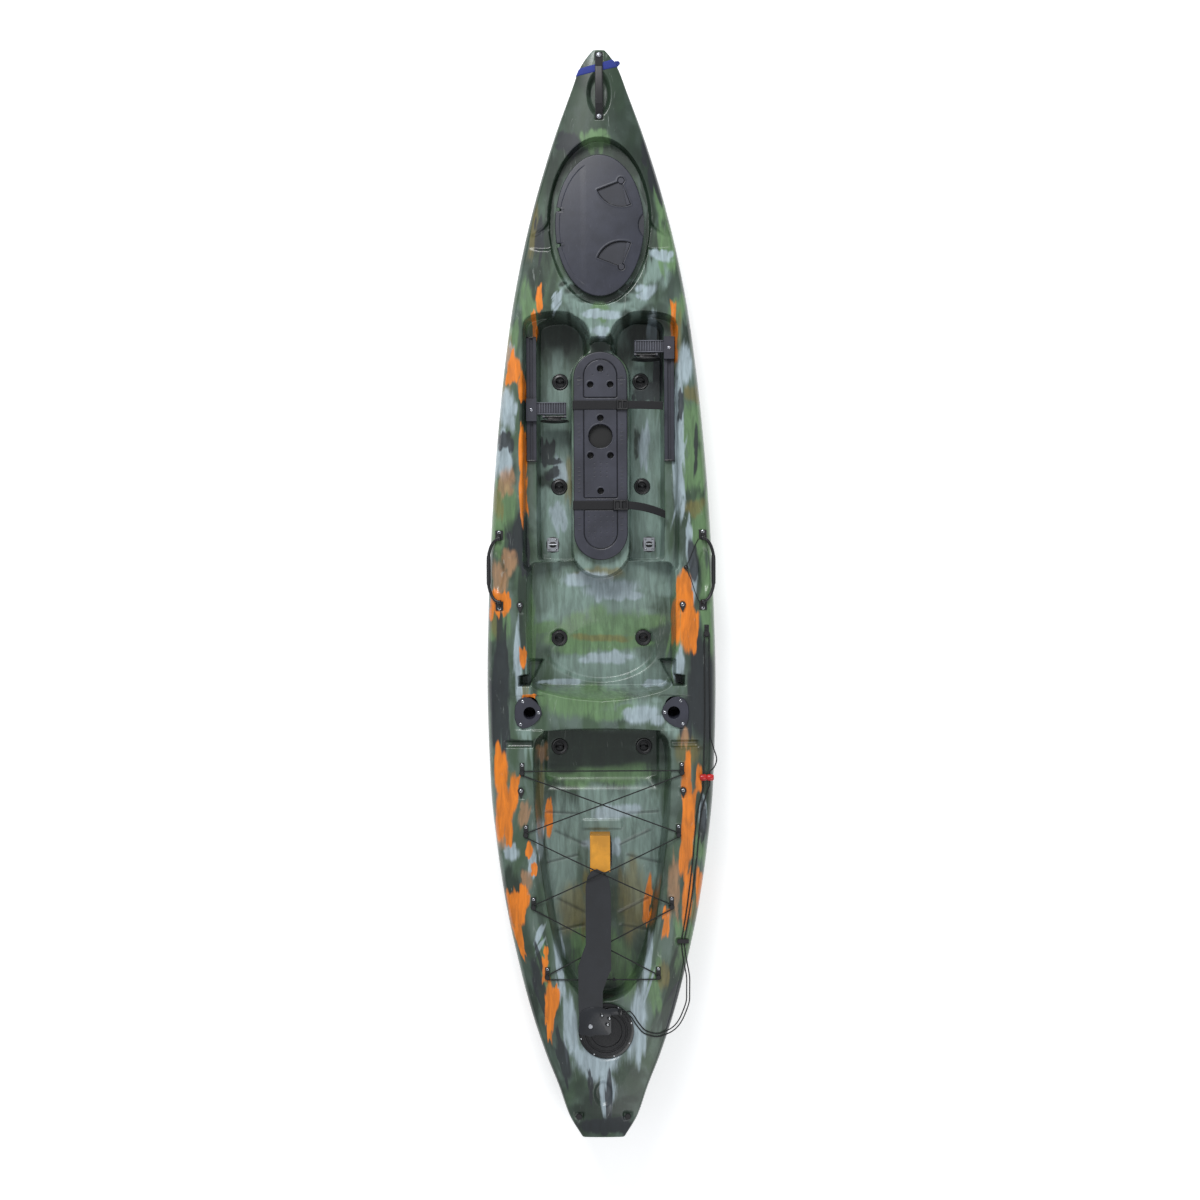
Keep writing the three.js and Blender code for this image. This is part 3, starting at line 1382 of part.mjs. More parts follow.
// Flush rod holders: a rounded three-cornered flange over a tilted tube.
const rodTurn = THREE.MathUtils.degToRad(rodTilt);
sides.forEach(([sideName, side]) => {
  const place = ([sx, sy]) => [rodX + sx * rodFlangeShort, rodY + sy * rodFlangeLong];
  let flange = smoothOutline(rodFlangeShares.map(place).reverse(), rodFlangeCount);
  if (side < 0) flange = mirrored(flange);
  const seatZ = seatFor(flange, true);
  const tilted = (radius, length, drop) => {
    const tube = new THREE.CylinderGeometry(radius, radius, length, rodSides);
    tube.rotateX(Math.PI / 2);
    tube.translate(0, 0, -length / 2 + drop);
    tube.rotateX(rodTurn);
    tube.translate(side * rodX, rodY, seatZ);
    return solid(tube);
  };
  cuts.push(tilted(rodTubeRadius + runningGap, rodTubeRadius * 2, rodTubeRadius));
  const screws = rodScrewShares.map((shares) => {
    const [screwX, screwY] = place(shares);
    return dome(rodScrewRadius, rodScrewHeight, side * screwX, screwY, seatZ + rodFlangeThick, thinSides);
  });
  const aboveZ = seatZ + rodFlangeThick / 2;
  const above = block(rodFlangeLong * 4, rodFlangeLong * 4, rodTubeRadius * 2, side * rodX, rodY, aboveZ);
  const holder = joined([
    prism(grown(flange, -overrun), seatZ + gap + rodFlangeThick, flange, seatZ + gap),
    tilted(rodTubeRadius, rodTubeLength, rodTubeRadius).subtract(above),
    ...screws,
  ]).subtract(tilted(rodBoreRadius, rodTubeLength + rodTubeRadius - rodTubeFloor, rodTubeRadius * 2));
  addPart(`rod_holder_${sideName}`, holder, satinBlack);
});

// Deck cleats: a teardrop button with its screw.
cleatPlaces.forEach(([end, x, y]) => {
  sides.forEach(([sideName, side]) => {
    const outline = [[0, -cleatRadius - cleatTail]];
    for (let i = 0; i <= cleatSteps; i += 1) {
      const angle = THREE.MathUtils.degToRad(cleatStartAngle + i / cleatSteps * cleatSweep);
      outline.push([cleatRadius * Math.cos(angle), cleatRadius * Math.sin(angle)]);
    }
    const placed = outline.map(([ox, oy]) => [side * x + ox, y + oy]);
    const z = seatFor(placed) + gap;
    const cleat = plate(placed, z, cleatHeight)
      .add(dome(cleatScrewRadius, cleatScrewHeight, side * x, y, z + cleatHeight - gap));
    addPart(`deck_cleat_${end}_${sideName}`, cleat, rubberBlack);
  });
});

// A lashing hook: a plate with a screw ahead and a capped post behind.
function hookAt(x, y, postRadius) {
  const plateY = y + hookPlateLength / 2 - postRadius * 2;
  const half = Math.max(hookPlateWidth / 2, postRadius + overrun);
  const corner = half / 2;
  const reach = hookPlateLength / 2;
  const outline = [
    [half, -reach + corner], [half, reach], [-half, reach], [-half, -reach + corner], [0, -reach],
  ].map(([ox, oy]) => [x + ox, plateY + oy]);
  const seatZ = seatFor(outline);
  const z = seatZ + gap;
  const plateTopZ = z + hookPlateThick - gap;
  const capRadius = postRadius + hookCapRadius - hookPostRadius;
  const screwY = plateY + reach - hookScrewRadius - overrun;
  const body = joined([
    plate(outline, z, hookPlateThick),
    post(postRadius, hookPostHeight, x, y, plateTopZ, hookSides),
    post(capRadius, hookCapHeight, x, y, plateTopZ + hookPostHeight - gap, hookSides),
    dome(hookScrewRadius, hookScrewHeight, x, screwY, plateTopZ, hookSides),
  ]);
  return { body, cordZ: seatZ + hookPlateThick + hookPostHeight / 2 };
}

const hooks = hookPlaces.map(([x, y], row) => {
  return sides.map(([sideName, side]) => {
    const { body, cordZ } = hookAt(side * x, y, hookPostRadius);
    addPart(`bungee_hook_${row + 1}_${sideName}`, body, rubberBlack);
    return { x: side * x, y, side, cordZ };
  });
});

// Round stern hatch: a ring with a collar, and a screw lid.
const ringZ = sternSeatZ + gap;
const sternDisc = (radius, height, z) => post(radius, height, sternHatchX, sternHatchY, z, sternCount);
const sternRing = joined([
  sternDisc(sternFlange, sternRingThick, ringZ),
  sternDisc(sternOpening - runningGap, sternCollarDepth, ringZ - sternCollarDepth + overrun),
]).subtract(sternDisc(sternOpening - sternCollarWall, sternCollarDepth * 3, ringZ - sternCollarDepth * 2));
addPart('stern_hatch_ring', sternRing, glossBlack);
const sternLidZ = ringZ + sternRingThick + gap;
const sternLidTopZ = sternLidZ + sternLidThick;
const skirtRadius = sternOpening - sternCollarWall - sternSkirtClearance;
const sternGrips = [1, -1].map((end) => {
  return block(sternLidRadius * sternGripLengthShare, sternCollarWall * 3, sternGripDepth + overrun,
    sternHatchX, sternHatchY + end * sternLidRadius * sternGripPlaceShare, sternLidTopZ - sternGripDepth);
});
const sternLid = cutFrom(joined([
  sternDisc(sternLidRadius, sternLidThick, sternLidZ),
  sternDisc(skirtRadius, sternLidSkirt, sternLidZ - sternLidSkirt + gap),
]), [
  sternDisc(skirtRadius - sternCollarWall, sternLidSkirt, sternLidZ - sternLidSkirt - gap),
  ...sternGrips,
]);
addPart('stern_hatch_lid', sternLid, glossBlack);

// Rudder on its side over the stern hatch: two cheeks, the blade between them and its pin.
const lowerCheekZ = sternLidTopZ + gap;
const bladeZ = lowerCheekZ + cheekThick + gap;
const bladeTopZ = bladeZ + bladeThick;
const upperCheekZ = bladeTopZ + gap;
const headTopZ = upperCheekZ + cheekThick;
const cheekCorner = cheekAft * cheekCornerShare;
const cheekOutline = [
  [cheekCorner - cheekLeft, -cheekAft],
  [cheekRight - cheekCorner, -cheekAft],
  [cheekRight, -cheekCorner],
  [cheekRight, cheekFore * cheekShoulderShare],
  [cheekRight * cheekTopShare, cheekFore],
  [-cheekLeft * cheekShoulderShare, cheekFore],
  [-cheekLeft, cheekFore * cheekTopShare],
  [-cheekLeft, -cheekCorner],
].map(([x, y]) => [pivotX + x, pivotY + y]);
const cornerPost = block(cheekLeft, cheekAft, bladeThick + gap * 2 + overrun, pivotX - cheekLeft / 2,
  pivotY - cheekAft / 2, bladeZ - gap - overrun / 2)
  .intersect(plate(cheekOutline, lowerCheekZ, upperCheekZ - lowerCheekZ + cheekThick))
  .subtract(post(bladeRootRadius + runningGap * 2, bladeThick * 4, pivotX, pivotY, lowerCheekZ, rootSides));
const tabY = pivotY + cheekFore - tabHalf - overrun * 2;
const rudderHead = joined([
  plate(cheekOutline, lowerCheekZ, cheekThick),
  plate(cheekOutline, upperCheekZ, cheekThick),
  cornerPost,
  block(tabReach, tabHalf * 2, cheekThick, pivotX + tabReach / 2, tabY, upperCheekZ),
  block(lineBlockSize, tabHalf * 2, lineBlockSize, pivotX + tabReach - lineBlockSize / 2, tabY,
    headTopZ - cheekThick / 2),
  ...pulleyShares.map(([sx, sy]) => {
    const x = pivotX + sx * (cheekRight - pulleyRadius);
    const y = pivotY + sy * cheekFore;
    const topRadius = pulleyRadius * pulleyTopShare;
    return post(pulleyRadius, pulleyHeight, x, y, headTopZ - gap, pulleySides, topRadius);
  }),
]).subtract(post(pinRadius + runningGap, bladeThick * 6, pivotX, pivotY, lowerCheekZ - overrun, pinSides));
addPart('rudder_head', rudderHead, glossBlack);

const bladeReach = bladeTipY - pivotY;
const bladeLeftShares = [
  [0.4, 1, 0.98], [-0.1, 1, 1], [-0.55, 1, 0.985], [-0.85, 1, 0.95], [-1, 1, 0.89], [-1, 1, 0.52],
  [-0.97, 0.45, 0.45], [-0.95, 0, 0.38], [-0.94, 0, 0.12],
];
const bladeRightShares = [
  [0.98, 0, 0.12], [0.98, 0, 0.22], [0.99, 0.5, 0.3], [1, 1, 0.36], [1, 1, 0.85], [0.8, 1, 0.95],
];
const bladePoint = ([across, shift, along]) => {
  return [pivotX + across * bladeHalf + shift * bladeShift, pivotY + along * bladeReach];
};
const rootArc = [];
for (let i = 0; i <= rootSides / 2; i += 1) {
  const angle = Math.PI + i / rootSides * Math.PI * 2;
  rootArc.push([pivotX + bladeRootRadius * Math.cos(angle), pivotY + bladeRootRadius * Math.sin(angle)]);
}
const bladeOutline = [...rootArc, ...bladeRightShares.map(bladePoint), ...bladeLeftShares.map(bladePoint)];
const bladeShape = new THREE.Shape(bladeOutline.map(([x, y]) => new THREE.Vector2(x, y)));
const bladeGeometry = new THREE.ExtrudeGeometry(bladeShape, { depth: bladeThick, bevelEnabled: false });
bladeGeometry.translate(0, 0, bladeZ);
const blade = solid(bladeGeometry)
  .subtract(post(pinRadius + runningGap, bladeThick * 2, pivotX, pivotY, bladeZ - overrun, pinSides));
addPart('rudder_blade', blade, bladeBlack);
const pinHeadZ = headTopZ + gap;
const pin = post(pinRadius, pinHeadZ - lowerCheekZ + overrun / 2, pivotX, pivotY, lowerCheekZ, pinSides)
  .add(post(pinHeadRadius, pinHeadHeight, pivotX, pivotY, pinHeadZ, pinSides, pinHeadRadius * pinHeadShare));
addPart('rudder_pin', pin, steel);

const restZ = tankFloorZ + gap;
const restTopZ = bladeZ - gap;
const restMiddleY = (restForeY + restAftY) / 2;
const rest = block(restHalfX * 2, restForeY - restAftY, restTopZ - restZ, restX, restMiddleY, restZ);
addPart('rudder_rest', rest, restYellow);

// Bungee: one loop from hook to hook, over the blade's tip and under its middle.
const cordRadius = bungeeDiameter / 2;
const wrapRadius = hookPostRadius + gap * 3 + cordRadius;
const overBladeZ = bladeTopZ + gap * 2 + cordRadius;
const strands = [];
const wellEdge = tankOutline(0).filter(([x]) => x >= 0).sort((a, b) => a[1] - b[1]);
const wellHalfAt = curveThrough(wellEdge.map(([x, y]) => [y, x]));
function hookEnd(row, side, end) {
  const hook = hooks[row][side < 0 ? 0 : 1];
  return [hook.x, hook.y + end * wrapRadius, hook.cordZ];
}

// One strand with extra lifts as pairs of share and height. Off the well it stays over the deck.
function strand(from, to, lifts) {
  const start = new THREE.Vector3(...from);
  const end = new THREE.Vector3(...to);
  const liftAt = curveThrough([[0, 0], ...lifts, [1, 0]]);
  const count = lifts.length > 0 ? strandSteps * 2 : strandSteps;
  const points = [];
  for (let i = 0; i <= count; i += 1) {
    const share = i / count;
    const point = start.clone().lerp(end, share);
    const offWell = Math.abs(point.x) > wellHalfAt(point.y) - strandMargin;
    const lowest = deckAt(point.x, point.y) + cordRadius + strandLift;
    const z = point.z + liftAt(share);
    points.push([point.x, point.y, offWell ? Math.max(z, lowest) : z]);
  }
  strands.push(cordThrough(points, bungeeDiameter));
}

const crossLift = bungeeDiameter + gap * 2;
const crossing = (side) => crossShares.map((share, i) => {
  return [share, side * crossLift * (i === 1 ? 1 : crossEndShare)];
});
const overRise = overBladeZ - (hooks[1][0].cordZ + hooks[2][0].cordZ) / 2;
const overBlade = (extra) => overBladeShares.map((share, i) => {
  return [share, overRise + (i === 1 || i === 2 ? extra : 0)];
});
strand(hookEnd(0, -1, 1), hookEnd(0, 1, 1), []);
strand(hookEnd(0, -1, -1), hookEnd(1, 1, 1), []);
strand(hookEnd(0, 1, -1), hookEnd(1, -1, 1), crossing(1));
strand(hookEnd(1, -1, -1), hookEnd(2, 1, 1), overBlade(0));
strand(hookEnd(1, 1, -1), hookEnd(2, -1, 1), overBlade(crossLift));
strand(hookEnd(2, -1, -1), hookEnd(3, 1, 1), []);
strand(hookEnd(2, 1, -1), hookEnd(3, -1, 1), crossing(-1));
strand(hookEnd(3, -1, -1), hookEnd(3, 1, -1), []);
hooks.flat().forEach(({ x, y, side, cordZ }) => {
  const arc = [];
  for (let i = 0; i <= wrapSteps; i += 1) {
    const angle = THREE.MathUtils.degToRad((i / wrapSteps - 0.5) * wrapAngle);
    arc.push([x + side * wrapRadius * Math.cos(angle), y + wrapRadius * Math.sin(angle), cordZ]);
  }
  strands.push(cordThrough(arc, bungeeDiameter));
});
const bungeeKnot = new THREE.SphereGeometry(bungeeKnotRadius, knotSides, knotRingCount);
bungeeKnot.translate(bungeeKnotX, hookPlaces[3][1] - wrapRadius, hooks[3][0].cordZ);
addPart('tank_bungee', joined([...strands, solid(bungeeKnot)]), cordBlack);

// Rudder lift line: two strands from the head round the eye, laid on the deck.
const eye = hookAt(lineEyeX, lineEyeY, lineEyePostRadius);
addPart('lift_line_eye', eye.body, rubberBlack);
const guideSeat = seatFor(boxOutline(guideWidth / 2, guideLength / 2, guideX, guideY));
const tunnelZ = guideSeat + hookPlateThick;
const guide = block(guideWidth, guideLength, guideHeight, guideX, guideY, guideSeat + gap)
  .subtract(block(guideTunnelWidth, guideLength + overrun, guideTunnelHeight, guideX, guideY, tunnelZ));
addPart('lift_line_guide', guide, rubberBlack);

const lineEndX = pivotX + tabReach + gap;
const lineEndZ = headTopZ + lineBlockSize / 2 - overrun;
function lineStrand(side) {
  const points = liftLineRoute.map(([x, y, height, apart, slack], i) => {
    const [ax, ay] = liftLineRoute[Math.min(i + 1, liftLineRoute.length - 1)];
    const [bx, by] = liftLineRoute[Math.max(i - 1, 0)];
    const along = new THREE.Vector2(ax - bx, ay - by).normalize();
    const out = side * apart / 2;
    const px = x - along.y * out + (side > 0 ? slack : 0);
    const py = y + along.x * out;
    return [px, py, deckAt(x, y) + height];
  });
  points.unshift([lineEyeX + side * lineGap / 2, lineEyeY, eye.cordZ]);
  const endY = tabY + side * liftLineDiameter;
  points.push([lineEndX + lineBlockSize / 2, endY, lineEndZ], [lineEndX, endY, lineEndZ]);
  return cordThrough(points, liftLineDiameter);
}

const eyeArc = [];
const eyeArcRadius = lineGap / 2;
for (let i = 0; i <= eyeArcSteps; i += 1) {
  const angle = THREE.MathUtils.degToRad(eyeArcStart + i / eyeArcSteps * eyeArcSweep);
  const y = lineEyeY + eyeArcRadius * Math.sin(angle);
  eyeArc.push([lineEyeX + eyeArcRadius * Math.cos(angle), y, eye.cordZ]);
}
const liftLine = joined([lineStrand(-1), lineStrand(1), cordThrough(eyeArc, liftLineDiameter)]);
addPart('rudder_lift_line', liftLine, cordBlack);

const toggleZ = deckAt(toggleX - toggleLength / 2, toggleY) + toggleRadius + gap;
const toggleBores = [-1, 1].map((side) => {
  return rodAlongY(toggleBoreRadius, toggleRadius * 3, toggleX + side * togglePitch / 2, toggleY, toggleZ);
});
const toggle = rodAlongX(toggleRadius, toggleLength, toggleX, toggleY, toggleZ, toggleSides);
addPart('lift_line_toggle', cutFrom(toggle, toggleBores), toggleRed);

// Paddle keeper: a thin elastic cord with a ball beside the starboard handle.
const keeperBall = new THREE.SphereGeometry(paddleBallRadius, knotSides, knotRingCount);
keeperBall.translate(paddleBallX, paddleBallY, deckAt(paddleBallX, paddleBallY) + paddleBallRadius + gap);
const keeperPoints = keeperRoute.map(([x, y, height]) => [x, y, deckAt(x, y) + height]);
addPart('paddle_keeper', cordThrough(keeperPoints, paddleCordDiameter).add(solid(keeperBall)), cordBlack);

// Stern fairleads for the steering lines.
sides.forEach(([sideName, side]) => {
  const x = side * fairleadX;
  const outline = ellipseOutline(fairleadRadius, fairleadRadius, x, fairleadY, scupperCount);
  const z = seatFor(outline) + gap;
  const boreZ = z + fairleadHeight / 2;
  const fairlead = prism(grown(outline, -overrun), z + fairleadHeight, outline, z)
    .subtract(rodAlongY(fairleadHeight / 4, fairleadRadius * 3, x, fairleadY, boreZ, hookSides));
  addPart(`stern_fairlead_${sideName}`, fairlead, rubberBlack);
});

// Hull: outer shell, cavity and what stands up from it.
function hullRings(stations, inset) {
  const rings = [];
  const reach = 1 - inset / (hullLength / 2);
  for (let i = 0; i <= stations; i += 1) {
    const even = -1 + 2 * i / stations;
    const share = reach * (even + stationCrowdingShare * Math.sin(Math.PI * even) / Math.PI);
    const half = halfSection(share);
    const left = half.slice(1, -1).map(([x, z]) => [-x, z]).reverse();
    let ring = [...half, ...left];
    if (inset !== 0) ring = grown(ring, -inset);
    rings.push(ring.map(([x, z]) => [x, share * hullLength / 2, z]));
  }
  return rings;
}

const outerHull = solid(loft(hullRings(hullStations, 0)));
const innerHull = solid(loft(hullRings(cavityStations, hullWall)));
const cavity = cutFrom(innerHull, skins);
const hull = joined([cutFrom(outerHull, cuts).subtract(cavity), coaming, ...hingePosts]);
addPart('hull', hull, hullPlastic);
const hullClearance = solid(loft(hullRings(hullStations, -gap)));
addPart('bow_band', bandSlab.add(solid(bandKnot)).subtract(hullClearance), bandBlue);

export default group;
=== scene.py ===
"""A sit-on-top fishing kayak, dressed over its CAD frame. Metres, +Y to the bow, +X to starboard, +Z up."""

import json
import math

import bmesh
import bpy
import numpy as np
from bpy.props import FloatProperty, FloatVectorProperty, PointerProperty
from bpy.types import Operator, Panel, PropertyGroup
from mathutils.bvhtree import BVHTree
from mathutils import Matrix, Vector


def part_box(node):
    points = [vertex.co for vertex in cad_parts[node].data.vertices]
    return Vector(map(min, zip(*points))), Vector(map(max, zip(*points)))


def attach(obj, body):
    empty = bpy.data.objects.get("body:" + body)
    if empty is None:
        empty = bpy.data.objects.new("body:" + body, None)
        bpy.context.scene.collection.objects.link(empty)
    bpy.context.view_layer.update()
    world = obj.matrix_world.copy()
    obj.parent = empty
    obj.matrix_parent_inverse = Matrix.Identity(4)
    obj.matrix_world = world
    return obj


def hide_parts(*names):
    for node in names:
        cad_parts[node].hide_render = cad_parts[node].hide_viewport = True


bl_info = {
    "name": "Fishing kayak",
    "version": (1, 0, 0),
    "blender": (4, 5, 0),
    "location": "3D View > Sidebar > Kayak",
    "description": "Builds a camouflage sit-on-top fishing kayak over its CAD frame",
    "category": "Add Mesh",
}

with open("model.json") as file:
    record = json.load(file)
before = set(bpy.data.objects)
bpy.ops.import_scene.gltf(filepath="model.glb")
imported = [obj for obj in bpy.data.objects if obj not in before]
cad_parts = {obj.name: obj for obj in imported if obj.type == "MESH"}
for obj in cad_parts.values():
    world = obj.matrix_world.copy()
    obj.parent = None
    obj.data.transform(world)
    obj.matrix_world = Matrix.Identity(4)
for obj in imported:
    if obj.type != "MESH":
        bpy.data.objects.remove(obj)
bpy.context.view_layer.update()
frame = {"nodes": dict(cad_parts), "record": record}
BODY_OF = {node: body for body, nodes in frame["record"]["behaviour"]["bodies"].items() for node in nodes}
GAP = 0.0003
SIDES = (("port", -1), ("starboard", 1))

# Hull form: shares along the half length, -1 at the stern and 1 at the bow
HALF_LENGTH = 2.15
HALF_BEAM = 0.456
DEPTH = 0.285
CROWN = 0.036
TUNNEL_RISE = 0.02
EDGE_SHARE = 0.95
PLAN = [
    (-1, 0.182), (-0.958, 0.296), (-0.902, 0.391), (-0.847, 0.496), (-0.764, 0.627), (-0.681, 0.73),
    (-0.57, 0.844), (-0.46, 0.922), (-0.349, 0.974), (-0.155, 1), (0.011, 0.982), (0.177, 0.943),
    (0.343, 0.879), (0.509, 0.783), (0.62, 0.686), (0.731, 0.557), (0.841, 0.395), (0.924, 0.248),
    (0.968, 0.165), (0.99, 0.092), (1, 0.045),
]
KEEL = [
    (-1, 0.52), (-0.965, 0.26), (-0.92, 0.13), (-0.84, 0.04), (-0.72, 0), (0.68, 0),
    (0.8, 0.035), (0.88, 0.12), (0.93, 0.27), (0.965, 0.48), (0.985, 0.7), (1, 1.02),
]
SHEER = [(-1, 0.98), (-0.95, 1.08), (-0.8, 1.05), (-0.6, 1.02), (-0.3, 1), (0.2, 1), (0.5, 1.03), (0.7, 1.08),
         (0.85, 1.16), (1, 1.29)]
CROWNS = [(-1, 0.1), (-0.9, 0.3), (-0.7, 0.36), (-0.3, 0.4), (0.3, 0.42), (0.47, 0.55), (0.56, 0.95),
          (0.68, 1), (0.82, 0.95), (0.93, 0.6), (1, 0.15)]
FULLNESS = [(-1, 0), (-0.8, 0.1), (-0.45, 1), (0.4, 1), (0.72, 0.1), (1, 0)]

# Half section from keel to deck edge: share of the half beam, height shares amidships and at the ends
SECTION = [
    (0, 0, 0), (0.12, 0, 0.015), (0.27, 0, 0.08), (0.42, 0, 0.17), (0.58, 0.005, 0.28), (0.78, 0.1, 0.44),
    (0.92, 0.33, 0.62), (0.992, 0.66, 0.8), (1, 0.8, 0.89), (0.985, 0.93, 0.96), (0.95, 1, 1),
]
TUNNEL_AT = 2

# Wells and the places on the deck
FOOT_FLOOR, FOOT_INNER, FOOT_OUTER, FOOT_AFT, FOOT_FORE = 0.08, 0.1, 0.248, 0.16, 1.118
LEDGE, LEDGE_OUTER = 0.19, 0.298
CONSOLE_HALF, CONSOLE_TOP, CONSOLE_NOSE, NECK_HALF, NECK_TOP = 0.118, 0.236, 0.121, 0.044, 0.215
RIDGE_FORE = 1.027
SEAT_FLOOR, SEAT_HALF, SEAT_FORE, SEAT_AFT, SEAT_ARC = 0.118, 0.284, 0.112, -0.357, 0.058
POD_HALF, POD_LENGTH, POD_Y = 0.107, 0.83, 0.558
TANK_FLOOR, TROUGH_FLOOR, TANK_FORE, TANK_LENGTH, TANK_HALF = 0.15, 0.118, -0.512, 1.103, 0.275
HATCH_Y, RECESS_Y, RECESS_FLOOR = 1.465, 1.479, 0.292
OPENING = (0.144, 0.25)
STERN_HATCH = (0.012, -1.722)
SCUPPERS = [(0.163, 0.869, FOOT_FLOOR), (0.168, 0.444, FOOT_FLOOR), (0.17, -0.168, SEAT_FLOOR - 0.022),
            (0.17, -0.607, TROUGH_FLOOR)]
SCUPPER_RADIUS = 0.022


# Curves, outlines and distances

def smooth(share):
    """Eases a share from 0 to 1: three of its square less two of its cube."""
    share = np.clip(share, 0, 1)
    return share * share * (3 - 2 * share)


def curve_at(pairs, places):
    """A smooth curve through pairs of place and value, its slopes the harmonic means of both sides."""
    at, value = np.array(pairs, float).T
    slopes = np.diff(value) / np.diff(at)
    before, after = np.r_[slopes[:1], slopes], np.r_[slopes, slopes[-1:]]
    total = np.where(before * after > 0, before + after, 1)
    tangents = np.where(before * after > 0, 2 * before * after / total, 0)
    i = np.clip(np.searchsorted(at, places) - 1, 0, len(at) - 2)
    width = at[i + 1] - at[i]
    t = np.clip((places - at[i]) / width, 0, 1)
    rise = t * t * (3 - 2 * t)
    lead, trail = t * (1 - t) ** 2 * width, -t * t * (1 - t) * width
    return value[i] * (1 - rise) + value[i + 1] * rise + tangents[i] * lead + tangents[i + 1] * trail


def ellipse(half_x, half_y, x, y, count=96):
    """Points of an ellipse, counterclockwise."""
    angle = np.arange(count) / count * 2 * math.pi
    return np.c_[x + half_x * np.cos(angle), y + half_y * np.sin(angle)]


def stadium(half, length, y, steps=24):
    """Two half circles joined by straight sides along Y."""
    angle = np.linspace(0, math.pi, steps + 1)
    arc = np.c_[half * np.cos(angle), half * np.sin(angle)]
    straight = length / 2 - half
    return np.r_[arc + (0, y + straight), -arc + (0, y - straight)]


def middle_of(node):
    """The middle of a CAD node's box."""
    low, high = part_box(node)
    return (low.x + high.x) / 2, (low.y + high.y) / 2, (low.z + high.z) / 2


def footprint(node):
    """The middle and the half sizes of a CAD node's box, seen from above."""
    low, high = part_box(node)
    return (low.x + high.x) / 2, (low.y + high.y) / 2, (high.x - low.x) / 2, (high.y - low.y) / 2


def box_outline(half_x, half_y, x, y):
    """Four corners of a rectangle, counterclockwise."""
    corners = [(x + half_x, y - half_y), (x + half_x, y + half_y), (x - half_x, y + half_y),
               (x - half_x, y - half_y)]
    return np.array(corners)


def both_sides(right):
    """A symmetrical outline from its starboard points, which run counterclockwise."""
    right = np.array(right, float)
    return np.r_[right, (right * (-1, 1))[::-1]]


def softened(outline, rounds=2):
    """Cuts an outline's corners: each side keeps its middle half, and twice over for each further round."""
    points = np.array(outline, float)
    for _ in range(rounds):
        after = np.roll(points, -1, axis=0)
        points = np.stack([points * 0.75 + after * 0.25, points * 0.25 + after * 0.75], 1).reshape(-1, 2)
    return points


def distance_to(outline, x, y, reach=0.06):
    """Signed distance from points to a closed outline, negative inside, known within reach of its box."""
    outline = np.array(outline, float)
    low, high = outline.min(0) - reach, outline.max(0) + reach
    near = (x > low[0]) & (x < high[0]) & (y > low[1]) & (y < high[1])
    px, py = x[near], y[near]
    best = np.full(px.shape, 1e9)
    inside = np.zeros(px.shape, bool)
    for (ax, ay), (bx, by) in zip(outline, np.roll(outline, -1, axis=0)):
        ex, ey = bx - ax, by - ay
        t = np.clip(((px - ax) * ex + (py - ay) * ey) / max(ex * ex + ey * ey, 1e-18), 0, 1)
        best = np.minimum(best, (px - ax - t * ex) ** 2 + (py - ay - t * ey) ** 2)
        if ay != by:
            inside ^= ((ay > py) != (by > py)) & (px < ax + (py - ay) * ex / ey)
    found = np.full(x.shape, reach)
    found[near] = np.where(inside, -1, 1) * np.sqrt(best)
    return found


def sink(z, top, level, run, out=0.0):
    """Lowers z to a level inside an outline, with a wall that starts out beyond it and runs inwards."""
    share = smooth((out - top) / run)
    return np.where(z > level, z + (level - z) * share, z)


def sink_between(z, top, floor, level):
    """Lowers z to a level inside the floor's outline, with a wall from there up to the top's outline."""
    share = smooth(-top / np.maximum(floor - top, 1e-6) * (top < 0))
    return np.where(z > level, z + (level - z) * share, z)


# Hull surface

def half_beam_at(y):
    """Half of the hull's breadth at a place along it."""
    return curve_at(PLAN, y / HALF_LENGTH) * HALF_BEAM


def deck_base(x, y):
    """The deck before its wells: the sheer line, and a crown that falls with the square of the way out."""
    place = y / HALF_LENGTH
    across = np.abs(x) / (EDGE_SHARE * half_beam_at(y))
    crown = curve_at(CROWNS, place) * CROWN
    return curve_at(SHEER, place) * DEPTH + crown * (1 - np.minimum(across, 1) ** 2)


def foot_outline(outer, aft, fore):
    """A footwell at starboard: narrow at the toes, with round corners."""
    shares = np.array([(-0.35, 0), (0.8, 0), (0.96, 0.008), (1, 0.035), (1, 0.93), (0.96, 0.97),
                       (0.75, 0.992), (0.28, 1), (0, 0.985), (-0.2, 0.955), (-0.35, 0.88)])
    return softened(shares * (outer - FOOT_INNER, fore - aft) + (FOOT_INNER, aft))


def seat_outline(half, fore, aft, arc):
    """The seat well: straight sides, and an aft edge that bows back by an arc."""
    shares = [(0.88, 1, 0), (0.97, 0.97, 0), (1, 0.9, 0), (1, 0.16, 0), (0.97, 0.06, 0), (0.9, 0, 0.1),
              (0.7, 0, 0.45), (0.4, 0, 0.82), (0, 0, 1)]
    right = [(sx * half, aft + sy * (fore - aft) - sa * arc) for sx, sy, sa in shares]
    return softened(both_sides(right[::-1]))


